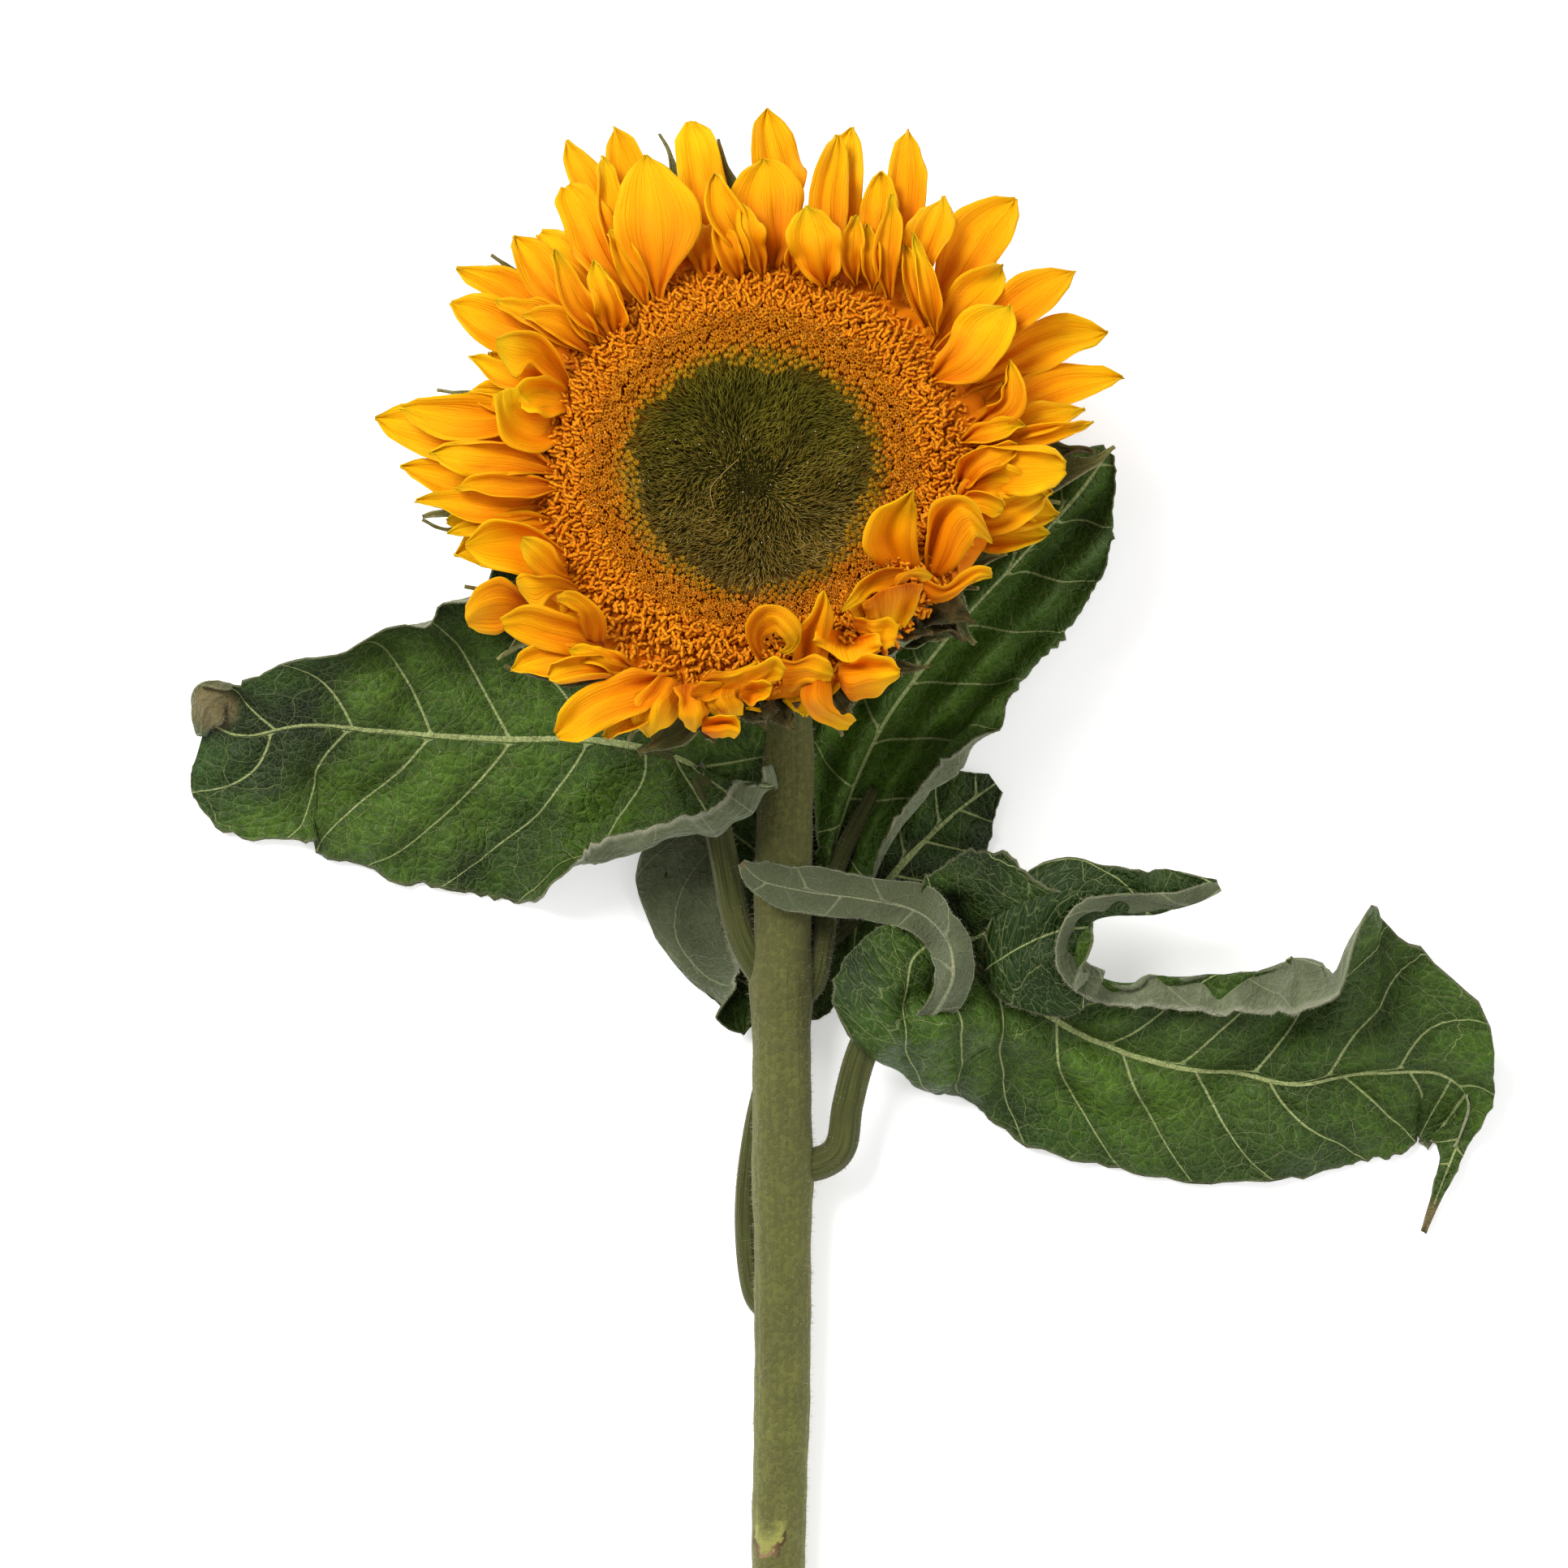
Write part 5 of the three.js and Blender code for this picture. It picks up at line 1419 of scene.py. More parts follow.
def petal_surface(line, half_width, outline, random, twist, cup, wave, pleat, roll=(0, 0),
                  roll_from=0.2, rib=0.13, rows=PETAL_ROWS, columns=PETAL_COLUMNS):
    """A petal's middle surface in head coordinates, shares along and across, and troughs for painted shade.
    """
    centre = smooth_rows(line, rows)
    s = running_length(centre) / running_length(centre)[-1]
    travel = unit(np.gradient(centre, axis=0))
    normal = np.array([0, 0, 1.0])
    normals = []
    for direction in travel:
        normal = unit(normal - normal.dot(direction) * direction)
        normals.append(normal)
    normals = np.array(normals)
    left = np.cross(normals, travel)
    angle = np.radians(twist) * smoothstep(0.1, 1.0, s) + SWAY * uneven(s, random, 0.6, 1.2) * s
    normals, left = (normals * np.cos(angle)[:, None] - left * np.sin(angle)[:, None],
                     left * np.cos(angle)[:, None] + normals * np.sin(angle)[:, None])
    wander = WANDER * half_width * uneven(s, random, 0.7, 1.3) * np.sin(np.pi * s)
    centre = centre + wander[:, None] * left
    width = half_width * np.interp(s, np.linspace(0, 1, len(OUTLINES[outline])), OUTLINES[outline])
    root, middle, tip = np.radians(cup) * random.uniform(0.8, 1.25)
    past_claw = smoothstep(0, CLAW_END, s)
    bowl = root * (1 - past_claw) + middle * past_claw * (1 - smoothstep(TIP_FROM, 1, s))
    crease = tip * smoothstep(0.5, 0.95, s) + 0.25 * root * (1 - smoothstep(0, 0.3, s))
    rolling = smoothstep(roll_from, roll_from + ROLL_LENGTH, s)
    sides, shares = [], []
    for sign, turned_up in ((1, roll[0]), (-1, roll[1])):
        own_width = width * (1 + WIDTH_CHANGE * uneven(s, random, 0.8, 1.6) * np.sin(np.pi * s))
        out, up = section_side(own_width, crease, bowl, np.radians(turned_up) * rolling, columns)
        side = centre[:, None] + sign * out[..., None] * left[:, None] + up[..., None] * normals[:, None]
        share = (np.arange(columns) + 1) / columns
        swing = LONG_SWING * uneven(s, random, 1.0, 1.8) + SHORT_SWING * uneven(s, random, 2.4, 3.8)
        swing = wave * swing * np.sin(np.pi * np.clip(s, 0, 0.95)) ** 0.7
        swing = swing * min(1.0, half_width / FULL_WAVE_WIDTH)
        side = side + (swing[:, None] * share**2.2)[..., None] * normals[:, None]
        sides.append(side)
        shares.append(sign * np.broadcast_to(share, side.shape[:2]))
    grid = np.concatenate([sides[0][:, ::-1], centre[:, None], sides[1]], axis=1)
    across = np.concatenate([shares[0][:, ::-1], np.zeros((rows, 1)), shares[1]], axis=1)
    ribs = np.cos(across * np.pi * RIBS + random.uniform(-0.4, 0.4)) * (1 - 0.4 * np.abs(across))
    bends = np.cos(across * np.pi * random.uniform(2.0, 2.9) + random.uniform(-0.6, 0.6))
    bends = bends * (1 - 0.75 * s[:, None]) * (1 - across**4)
    dent = np.sin(2 * np.pi * (1.3 * s[:, None] + 0.4 * across + random.uniform(0, 1)))
    height = rib * ribs * np.sqrt(np.sin(np.pi * np.clip(s, 0.02, 0.98)))[:, None]
    scale = min(1.0, half_width / FULL_PLEAT_WIDTH)
    height = height + scale * (pleat * bends + DENT_HEIGHT * dent * s[:, None])
    grid = grid + grid_normals(grid) * height[..., None]
    # The troughs of the pleats, which the material paints darker as painted shade.
    fold = np.clip(-bends, 0, 1) * np.ones_like(across)
    return grid, np.repeat(s[:, None], grid.shape[1], axis=1), across, fold


def add_sheet(batch, grid, half_thickness, s, across, along=None, **fields):
    """A thin sheet in head coordinates, with its places along and across in its fields."""
    points, faces, _ = sheet(grid, half_thickness, half_thickness)
    length = running_length(grid[:, grid.shape[1] // 2])[-1]
    batch.add(from_head(points), faces, along=twice(s if along is None else along),
              across=twice(across), length=twice(s * length), **fields)


def petal_thickness(across):
    """Half a petal's thickness, less towards its margins."""
    return PETAL_HALF_THICKNESS * (1 - 0.4 * np.abs(across))


def add_petal(batch, line, half_width, outline, random, green, twist, **style):
    """A petal that follows a line, green towards its tip."""
    grid, s, across, fold = petal_surface(line, half_width, outline, random, twist, **style)
    add_sheet(batch, grid, petal_thickness(across), s, across, fold=twice(fold),
              tint=random.uniform(0.1, 0.9), green=twice(green * smoothstep(0.65, 1.0, s)))


# %% Petal table
# Each petal: the node it stands for, its layer, places from claw to tip in the head's own frame,
# half width, outline and style, and for some a twist in degrees and green at the tip. A layer gives
# the three places their levels above the disc's face.
LAYERS = {"back": (-6, -5.5, -9), "middle": (-4, -1, -4), "front": (-2, 2.5, 1), "top": (-1.5, 4, 3)}
PETALS = [
    ("petal_back_08", "back", [(-33.5, 10), (-50, 7.5), (-66, 12.5)], 5.1, "spoon", "flat", 4),
    (None, "middle", [(-33, 11.5), (-48.5, 9), (-61.5, 12.5)], 3.7, "spoon", "flat", -6),
    (None, "middle", [(-33.5, 11.5), (-42.5, 11.5), (-51, 15)], 1.7, "strap", "rolled"),
    (None, "middle", [(-32.5, 16), (-41.5, 16.5), (-49.5, 22)], 2.3, "strap", "channel", 10),
    (None, "front", [(-33.5, 0), (-45, 1.5), (-56, 2.5)], 3.1, "spoon", "right_roll", 0, 0.3),
    ("petal_middle_08", "back", [(-33.5, -1.5), (-47.5, -1), (-61.5, 3.5)], 3.4, "spoon", "flat"),
    (None, "front", [(-33.5, -3), (-43, -4.5), (-51.5, -4)], 2.1, "strap", "channel", 8),
    ("petal_front_08", "middle", [(-33.5, -5.5), (-46, -7), (-58.5, -4.5)], 2.6, "strap", "channel", 10, 0.5),
    (None, "middle", [(-32, -9), (-44, -10), (-53, -10.5)], 2, "strap", "flat"),
    (None, "middle", [(-30, -17.5), (-37.5, -18.5), (-46, -16)], 1.7, "strap", "channel"),
    ("petal_middle_09", "middle", [(-24, -35.5), (-33, -34.5), (-41.5, -35.5)], 2.7, "spoon", "channel"),
    (None, "front", [(-22, -37), (-29.5, -37), (-35, -38.5)], 2.4, "blunt", "trumpet"),
    (None, "front", [(-21, -36), (-26.5, -35.5), (-31.5, -33.5)], 2, "strap", "flat"),
    ("petal_back_10", "front", [(-13, -37.5), (-24.5, -43.5), (-33.5, -49)], 4, "blunt", "flat", -6),
    ("petal_middle_10", "middle", [(-13, -39), (-19.5, -45), (-25.5, -47.5)], 2.6, "spoon", "channel"),
    ("petal_middle_14", "middle", [(34.5, -9.5), (43, -8.5), (51, -3.5)], 3.4, "spoon", "broad"),
    (None, "top", [(35.5, -9), (39, -7.5), (43.5, -8.5)], 2, "blunt", "rolled"),
    (None, "front", [(35.5, -6), (41.5, -3), (47.5, -3.5)], 3.1, "blunt", "broad"),
    ("petal_back_01", "front", [(36.5, -1.5), (45, 0), (54.5, 0)], 4, "blunt", "left_roll"),
    (None, "top", [(36.5, -2.5), (40, -0.5), (46, 3)], 2.3, "strap", "rolled", 10),
    ("petal_front_01", "middle", [(37.5, 4.5), (47.5, 5.5), (59.5, 10)], 1.9, "strap", "channel", 20),
    (None, "middle", [(37.5, 7), (47.5, 8.5), (58, 12.5)], 2.6, "strap", "flat"),
    ("petal_middle_01", "back", [(37.5, 9), (52, 16), (65, 20)], 3.9, "spoon", "flat", -6),
    (None, "front", [(37, 5.5), (42, 6), (47.5, 7.5)], 1.9, "strap", "channel"),
    ("petal_front_02", "top", [(39, 8), (45, 11), (45, 19)], 1.9, "strap", "left_roll", 0, 0.2),
    ("petal_back_02", "back", [(35.5, 15), (50, 24.5), (62.5, 28.5)], 4, "spoon", "flat", 6),
    ("petal_middle_02", "middle", [(34, 20.5), (45.5, 29.5), (56.5, 38)], 4, "spoon", "flat", -6),
    (None, "top", [(32, 17), (38.5, 20.5), (45, 29)], 5.4, "wide", "broad", 4, 0.4),
    ("petal_front_03", "middle", [(31.5, 23.5), (37.5, 31), (44, 39)], 2.9, "spoon", "channel", 10, 0.2),
    ("petal_back_03", "back", [(30.5, 28.5), (38.5, 43), (46.5, 53.5)], 4.9, "spoon", "flat", 4),
    ("petal_middle_03", "middle", [(26.5, 32), (30.5, 41), (33.5, 52)], 3.3, "spoon", "wavy", -8, 0.3),
    (None, "top", [(32, 25.5), (30.5, 32.5), (28, 42.5)], 1.6, "strap", "rolled", 10, 0.8),
    (None, "front", [(30.5, 27), (28.5, 32.5), (26.5, 41)], 1.7, "strap", "channel", 0, 0.2),
    ("petal_back_04", "back", [(23, 36.5), (26.5, 51.5), (27.5, 66.5)], 3.6, "spoon", "flat", 8),
    (None, "middle", [(21, 35.5), (22, 44.5), (22.5, 56.5)], 2.7, "spoon", "wavy"),
    (None, "front", [(24, 32), (23.5, 40), (24.5, 50.5)], 1.9, "strap", "channel", 10),
    ("petal_middle_04", "back", [(17, 37), (15, 51.5), (17.5, 67)], 3.9, "spoon", "flat", -10),
    ("petal_front_04", "middle", [(14.5, 36), (13.5, 49.5), (15, 63.5)], 3.3, "spoon", "flat", 8, 0.1),
    (None, "top", [(12.5, 34.5), (11, 39.5), (9.5, 47.5)], 3.9, "wide", "wavy", -8, 0.7),
    (None, "front", [(18, 35), (17, 40), (18.5, 46.5)], 1.9, "strap", "channel"),
    (None, "front", [(21, 34), (21, 38.5), (20, 45)], 1.6, "strap", "channel"),
    ("petal_back_05", "back", [(5.5, 39.5), (4.5, 54.5), (2.5, 70.5)], 3.9, "spoon", "wavy", 10),
    (None, "middle", [(3.5, 38.5), (3, 47.5), (2, 59)], 5.9, "wide", "flat", 0, 0.3),
    (None, "front", [(7, 37), (8.5, 40.5), (10.5, 46)], 1.7, "strap", "channel"),
    (None, "front", [(1.5, 37), (-4.5, 45), (-6.5, 54.5)], 2.7, "spoon", "channel", -16, 0.1),
    (None, "top", [(1.5, 36.5), (-0.5, 41.5), (-2, 48)], 1.9, "strap", "left_roll", 10),
    (None, "front", [(-2.5, 36), (-4.5, 40), (-6.5, 45.5)], 1.9, "strap", "channel"),
    ("petal_front_05", "back", [(-4.5, 38.5), (-8.5, 53), (-11, 68)], 4, "blunt", "flat", -6),
    (None, "top", [(-16.5, 31.5), (-17, 43), (-18.5, 57)], 6.9, "oval", "broad", 0, 0.2),
    (None, "middle", [(-8, 36.5), (-8.5, 40.5), (-10.5, 47.5)], 2.6, "strap", "wavy"),
    ("petal_middle_05", "back", [(-15, 33), (-19.5, 50), (-24.5, 67)], 3.9, "spoon", "flat", -6),
    (None, "middle", [(-18.5, 32), (-24, 45), (-26.5, 59.5)], 2.6, "spoon", "channel", 8, 0.1),
    ("petal_back_06", "back", [(-19.5, 32.5), (-27, 50.5), (-33, 64.5)], 3.3, "spoon", "flat", 8),
    ("petal_front_06", "middle", [(-19.5, 30.5), (-27, 41.5), (-32.5, 54)], 3.7, "blunt", "wavy", -8),
    (None, "front", [(-18.5, 30.5), (-22, 37.5), (-25, 44)], 2, "strap", "channel"),
    ("petal_middle_06", "back", [(-23, 30), (-30.5, 39), (-37.5, 47)], 2.7, "blunt", "wavy"),
    (None, "middle", [(-25.5, 25), (-35, 34.5), (-42, 44.5)], 3.9, "spoon", "flat", 6),
    (None, "top", [(-25.5, 24.5), (-31, 30), (-34.5, 39.5)], 2.1, "strap", "channel", -12, 0.9),
    (None, "top", [(-24, 25.5), (-25, 30), (-27.5, 37.5)], 2.3, "strap", "right_roll", 0, 0.5),
    (None, "front", [(-27, 23.5), (-31, 28), (-33.5, 33.5)], 1.7, "strap", "channel"),
    ("petal_back_07", "back", [(-26.5, 24), (-39, 33), (-52, 40.5)], 3.1, "spoon", "flat", -6),
    ("petal_middle_07", "back", [(-29, 22.5), (-41, 27), (-53, 34)], 4.4, "spoon", "flat", 5),
    (None, "middle", [(-28.5, 23), (-36.5, 27.5), (-45, 32.5)], 2.3, "strap", "channel"),
    (None, "front", [(-28, 22), (-33.5, 25.5), (-40, 28)], 1.9, "strap", "channel", 8),
]
# A petal that is cupped or rolled shows less of its width from above than it has laid flat.
FULLNESS = {"flat": 1.14, "broad": 1.06, "channel": 1.45, "wavy": 1.25, "rolled": 1.6, "trumpet": 1.8,
            "left_roll": 1.45, "right_roll": 1.45}
print("petals listed:", len(PETALS))

# %% Curled petal table
# These petals fold over themselves, so each is a net of places: lines from its base to its tip, going
# from one margin to the other, in the head's own frame. First come its node and the green at its tip.
CURLED_PETALS = [
    (None, 0, [
        [(22.5, -18, -1), (21, -18, 3), (19, -16.5, 7), (21, -12, 10), (24.5, -10, 12), (28, -8.5, 14)],
        [(26, -18.5, -2), (25, -16.5, 0), (23.5, -13.5, 3), (24.5, -11, 7), (26.5, -9.5, 10.5),
         (28, -8.5, 14)],
        [(27.5, -18.5, -2), (27, -17, 1.5), (26.5, -14.5, 5.5), (27, -11.5, 8.5), (27.5, -10, 11.5),
         (28, -8.5, 14)],
        [(29.5, -18, -1), (29, -17, 1.5), (28.5, -14.5, 5.5), (28.5, -11.5, 8.5), (28, -10, 12),
         (28, -8.5, 14)],
    ]),
    ("petal_front_13", 0, [
        [(30, -18, -1), (30, -15, 5), (30.5, -11.5, 9), (32.5, -9.5, 11), (36, -8.5, 11), (39, -10, 9),
         (41.5, -15, 5)],
        [(31, -19, -2), (31, -14.5, 1), (32.5, -11, 4), (34.5, -10, 8), (36.5, -10, 9.5), (39, -12, 8),
         (41.5, -15, 5)],
        [(31.5, -19, -2), (33, -16.5, 3), (34.5, -13.5, 7), (36, -12, 9), (37.5, -12, 9.5),
         (39.5, -13.5, 8), (41.5, -15, 5)],
        [(32.5, -19, -2), (35, -19, 2), (37, -17, 5), (38, -16, 7), (38.5, -15, 7.5), (39.5, -15, 6.5),
         (41.5, -15.5, 5)],
    ]),
    ("petal_middle_13", 0, [
        [(26.5, -18.5, 1), (22, -20, 4.5), (19, -22.5, 6), (17, -25, 6), (15.5, -27.5, 5)],
        [(26.5, -19, 0), (23, -20.5, 2), (20, -22.5, 3.5), (18, -25.5, 5), (15.5, -27.5, 5)],
        [(26, -20, 0), (23, -23.5, 3), (21, -24, 4), (19, -26, 5), (15.5, -28, 5)],
    ]),
    (None, 0, [
        [(19, -26.5, 5), (19.5, -27, 2), (20.5, -27.5, -1), (21.5, -28, -3)],
        [(23, -24.5, 7.5), (23, -26, 5), (23, -27, 1), (23.5, -28, -3)],
        [(26.5, -23.5, 7), (26.5, -24.5, 3.5), (25.5, -26, -0.5), (25, -28, -3)],
        [(29.5, -23, 6), (29, -24.5, 3), (28, -26.5, 0), (26.5, -28, -3)],
    ]),
    (None, 0, [
        [(24.5, -24, 5), (25, -22, 7), (27, -21.5, 8.5), (29.5, -20.5, 7), (31, -21, 5)],
        [(24.5, -24.5, 6), (25.5, -23, 8), (27, -22, 8.5), (29.5, -21.5, 7), (31, -21.5, 5)],
        [(24.5, -24, 4.5), (26, -23, 5), (28, -21.5, 5), (29.5, -22, 4), (31, -21.5, 4)],
    ]),
    (None, 0, [
        [(26, -21, -1), (23, -23, 1), (20, -24.5, 2), (17, -26.5, 3)],
        [(26, -23, -2), (23.5, -24, -1), (20.5, -25.5, -1), (17.5, -27.5, 1)],
        [(26, -24.5, -3), (24, -26, -3), (21.5, -27.5, -3), (18.5, -28.5, 0)],
    ]),
    ("petal_back_13", 0, [
        [(29.5, -20, 0), (33, -22, 1.5), (36, -20.5, 4), (39, -19.5, 5), (41, -19.5, 4.5),
         (41.5, -20, 3)],
        [(29.5, -20.5, -1.5), (33, -22.5, 0), (36.5, -21.5, 2.5), (39, -20.5, 4), (40.5, -20.5, 4),
         (41.5, -20.5, 3)],
        [(30, -22, -2), (32, -23.5, -1), (35.5, -23, 1.5), (38.5, -21.5, 4), (40, -21, 4),
         (41.5, -20.5, 3)],
        [(30, -22.5, -4), (31.5, -23, -4), (34.5, -23.5, -1), (37, -22, 1), (39, -21.5, 3),
         (41.5, -21, 3)],
    ]),
    (None, 0, [
        [(1.5, -35, -1), (0, -34, 2), (-1, -32, 5), (-0.5, -30, 7.5), (1.5, -28, 9), (4, -28, 9.5),
         (6.5, -29, 9.5), (8.5, -31, 8.5), (8.5, -33, 6.5), (7.5, -34.5, 4.5), (6, -35, 3)],
        [(2.5, -34.5, -2), (1, -33.5, 1), (0.5, -32, 3), (1, -30.5, 4.5), (2.5, -29.5, 6), (4, -30, 8.5),
         (5.5, -31.5, 9.5), (7, -33, 8.5), (7.5, -33.5, 6), (6.5, -34.5, 4), (5, -34.5, 3)],
        [(3.5, -34, -2), (2.5, -33, 0), (2, -32, 1), (2.5, -31.5, 2.5), (3.5, -31.5, 4), (4.5, -32, 6.5),
         (5, -33, 7), (5.5, -33.5, 6.5), (6, -34, 5.5), (5.5, -34, 4), (4.5, -34.5, 3)],
    ]),
    ("petal_front_12", 0, [
        [(7.5, -38, -1), (7, -35, 2), (8, -31.5, 5), (10, -29, 7.5), (11.5, -26.5, 9.5),
         (12.5, -25.5, 10)],
        [(9, -38, -2), (9, -34.5, -0.5), (10, -31.5, 2), (11.5, -29, 5.5), (12.5, -27, 8),
         (12.5, -25.5, 10)],
        [(10.5, -38, -2), (11, -35, 1), (12, -32.5, 4.5), (12.5, -30, 7.5), (13, -27.5, 9),
         (12.5, -25.5, 10)],
        [(12.5, -38, -1), (13, -35, 0), (13.5, -32, 3), (14, -29.5, 6), (13.5, -27.5, 8.5),
         (12.5, -25.5, 10)],
    ]),
    (None, 0, [
        [(13, -30.5, 3), (11.5, -31.5, 5.5), (10.5, -33, 5.5), (11, -33.5, 4)],
        [(15, -29.5, 0), (14, -31.5, 1.5), (13.5, -33, 3), (13.5, -34.5, 3)],
        [(16, -29.5, -2), (15.5, -32, -1), (15.5, -34, 1.5), (16, -36, 2)],
        [(18, -30.5, -1), (18, -31.5, -1), (18, -33.5, 1.5), (18.5, -35.5, 2)],
        [(20, -31, 3), (21.5, -32, 5), (22.5, -33.5, 4.5), (22, -34, 3)],
    ]),
    (None, 0, [
        [(17.5, -28, 3), (19, -29, 5), (21, -29, 4), (23.5, -29, 5.5), (25.5, -30, 4)],
        [(17.5, -29, 2), (19.5, -29.5, 2), (21, -31, 4), (23, -30.5, 2.5), (25, -31.5, 4)],
        [(18.5, -30, 0), (20, -31, 2), (21.5, -32, 3), (23, -34, 3.5), (24.5, -33, 2)],
    ]),
    ("petal_middle_12", 0, [
        [(15.5, -35, 0), (18, -36, 3), (21, -35.5, 5.5), (24, -36.5, 5), (25.5, -37.5, 3)],
        [(15, -36.5, 0), (17.5, -36, -1), (20, -36.5, 0), (23, -37, 2), (25.5, -38, 3)],
        [(15, -38.5, 0), (17, -40, 2.5), (20, -39.5, 3.5), (22.5, -39.5, 3.5), (25.5, -38.5, 3)],
        [(16, -40, -3), (18, -41.5, -3), (21, -41, -2), (23.5, -40, 0), (25.5, -38.5, 2.5)],
    ]),
    (None, 0, [
        [(4.5, -35, 1), (7.5, -36, 3), (10.5, -36, 6), (13, -36.5, 5.5), (14, -38, 4)],
        [(5, -36.5, -1), (7, -37, 1), (9.5, -37.5, 3.5), (11.5, -38.5, 4.5), (14, -38.5, 3)],
        [(5.5, -39.5, -2), (7, -40, -2), (9, -39.5, 0), (11.5, -39.5, 1.5), (13.5, -39.5, 2)],
    ]),
    ("petal_back_12", 0, [
        [(8.5, -40, 0), (8.5, -42, -2), (10, -43.5, -4), (12.5, -45, -5), (14.5, -45.5, -6),
         (16.5, -45.5, -6.5)],
        [(10.5, -39.5, 1), (10, -42.5, 1), (11.5, -44, -1), (13.5, -44.5, -3), (15, -45, -4),
         (17, -45, -5.5)],
        [(11.5, -39.5, 3), (11.5, -42.5, 4), (13, -44.5, 2.5), (14.5, -45, 0.5), (16, -45, -2),
         (17.5, -45, -4)],
        [(13.5, -39, 0), (14, -41.5, 0), (14.5, -43.5, -1), (15.5, -44.5, -1), (17, -44, -2),
         (18, -44.5, -4)],
    ]),
    ("petal_front_11", 0, [
        [(-5.5, -40, 0), (-3, -38.5, 3), (0.5, -37.5, 5), (4, -36.5, 6.5), (6, -38, 5)],
        [(-4.5, -41, -1), (-1.5, -40, 1), (1, -39, 2), (3.5, -37.5, 3), (5.5, -38.5, 4)],
        [(-3, -43, -2), (-1.5, -41, -1), (1.5, -39.5, 0), (3.5, -39.5, 1.5), (5, -39.5, 3)],
    ]),
    (None, 0, [
        [(-2, -40, 1), (0, -40, 3.5), (1.5, -40, 4.5), (3.5, -40.5, 4)],
        [(-2, -42, 2.5), (0, -40.5, 0), (1.5, -40.5, 0), (3.5, -41, 3.5)],
        [(-1.5, -43, 2), (0, -43.5, 1), (1.5, -43, 2.5), (3, -42.5, 3)],
    ]),
    (None, 0, [
        [(-8.5, -39, 2), (-6.5, -38, 3.5), (-4.5, -38, 3), (-2, -37.5, 3), (1, -36, 3)],
        [(-8.5, -39.5, 2.5), (-6.5, -39, 3), (-4.5, -39, 3), (-2, -38.5, 3.5), (1, -36.5, 3.5)],
        [(-8, -39.5, 1), (-6, -39, 1), (-4, -39.5, 1), (-1.5, -38.5, 2), (1, -37, 3)],
    ]),
    (None, 0, [
        [(-10, -40.5, 3), (-8.5, -40, 3.5), (-6.5, -39.5, 2), (-4.5, -39, 1)],
        [(-10.5, -42.5, 3.5), (-8, -41, 1), (-6, -40.5, -0.5), (-4, -40, -1)],
        [(-9.5, -42.5, 2), (-7.5, -43, 2), (-5, -42, 1), (-3, -41.5, 0)],
    ]),
    (None, 0, [
        [(-7.5, -40.5, 0), (-8, -42.5, 1), (-7, -43.5, 0), (-5.5, -44, -3)],
        [(-5, -40, 0), (-5.5, -42, 1), (-4.5, -43.5, 0), (-4, -44, -3)],
        [(-2.5, -39, 0), (-2.5, -41.5, 0), (-1.5, -42.5, -1), (-1.5, -44, -3)],
    ]),
    ("petal_middle_11", 0, [
        [(-8.5, -44.5, -2), (-6, -45.5, 1), (-3.5, -45.5, 2), (-2, -46, 0)],
        [(-8.5, -46.5, -1), (-6, -45.5, -3), (-4, -45.5, -2.5), (-2, -47, 0)],
        [(-8.5, -47.5, -1), (-6, -48, 0.5), (-4, -47.5, 0.5), (-2, -48, 0)],
        [(-7.5, -47.5, -3), (-6, -48.5, -2), (-4.5, -48.5, -1), (-3, -48.5, -2)],
    ]),
    ("petal_front_10", 0, [
        [(-13.5, -40.5, 2), (-12.5, -43, 2.5), (-12.5, -45, 0.5), (-11.5, -46, -3)],
        [(-11, -39.5, 1), (-11, -42.5, 1), (-10.5, -45.5, 1), (-10, -47, -3)],
        [(-9.5, -39, 0), (-9, -43, 2), (-8.5, -45, 1), (-9.5, -46.5, -3)],
        [(-8, -38.5, -1), (-7.5, -41, -1), (-7.5, -43.5, -2), (-8.5, -45.5, -3)],
    ]),
    ("petal_back_11", 0, [
        [(-16, -38, 1), (-18.5, -41, 2.5), (-20.5, -43.5, 2), (-20.5, -46, 0), (-18, -48, -3)],
        [(-14.5, -38, 0), (-16, -41, 0.5), (-17.5, -44, 1.5), (-18, -46.5, 0.5), (-17.5, -48, -3)],
        [(-13, -38.5, 0), (-14.5, -42, 2), (-15.5, -44, 3.5), (-16, -46, 1.5), (-17.5, -48, -3)],
        [(-12, -39, -1), (-11.5, -41, -2), (-12, -43.5, -3), (-14.5, -45.5, -4), (-16.5, -47, -3)],
    ]),
    (None, 0, [
        [(-32, -15, -1), (-37, -13, 4), (-41.5, -11.5, 6), (-45.5, -11.5, 5.5), (-49.5, -14.5, 3)],
        [(-32, -16, -2), (-37, -14, -0.5), (-41, -12.5, 0), (-45, -13.5, 1.5), (-49.5, -15, 3)],
        [(-32, -17.5, -1), (-36.5, -20, 1.5), (-41.5, -20.5, 3.5), (-46, -19, 3.5), (-49.5, -15.5, 3)],
    ]),
    (None, 0.6, [
        [(-32, -19, 0), (-33, -18.5, 5), (-34.5, -16.5, 7), (-37, -15, 7), (-39.5, -14.5, 6)],
        [(-31.5, -20, 0), (-33.5, -20, 3), (-35.5, -18.5, 5), (-37.5, -17, 6.5), (-39.5, -15, 6)],
        [(-31, -21, 0), (-33.5, -22, 2), (-37, -21, 4.5), (-39, -19, 6), (-40, -16, 6)],
    ]),
    (None, 0, [
        [(-30, -21.5, 0), (-33, -21.5, 5), (-36.5, -22, 7), (-39.5, -21.5, 7), (-40.5, -22, 6)],
        [(-30, -22.5, 0), (-33, -22.5, 3), (-35.5, -23, 5), (-38, -23.5, 6.5), (-40.5, -23, 6)],
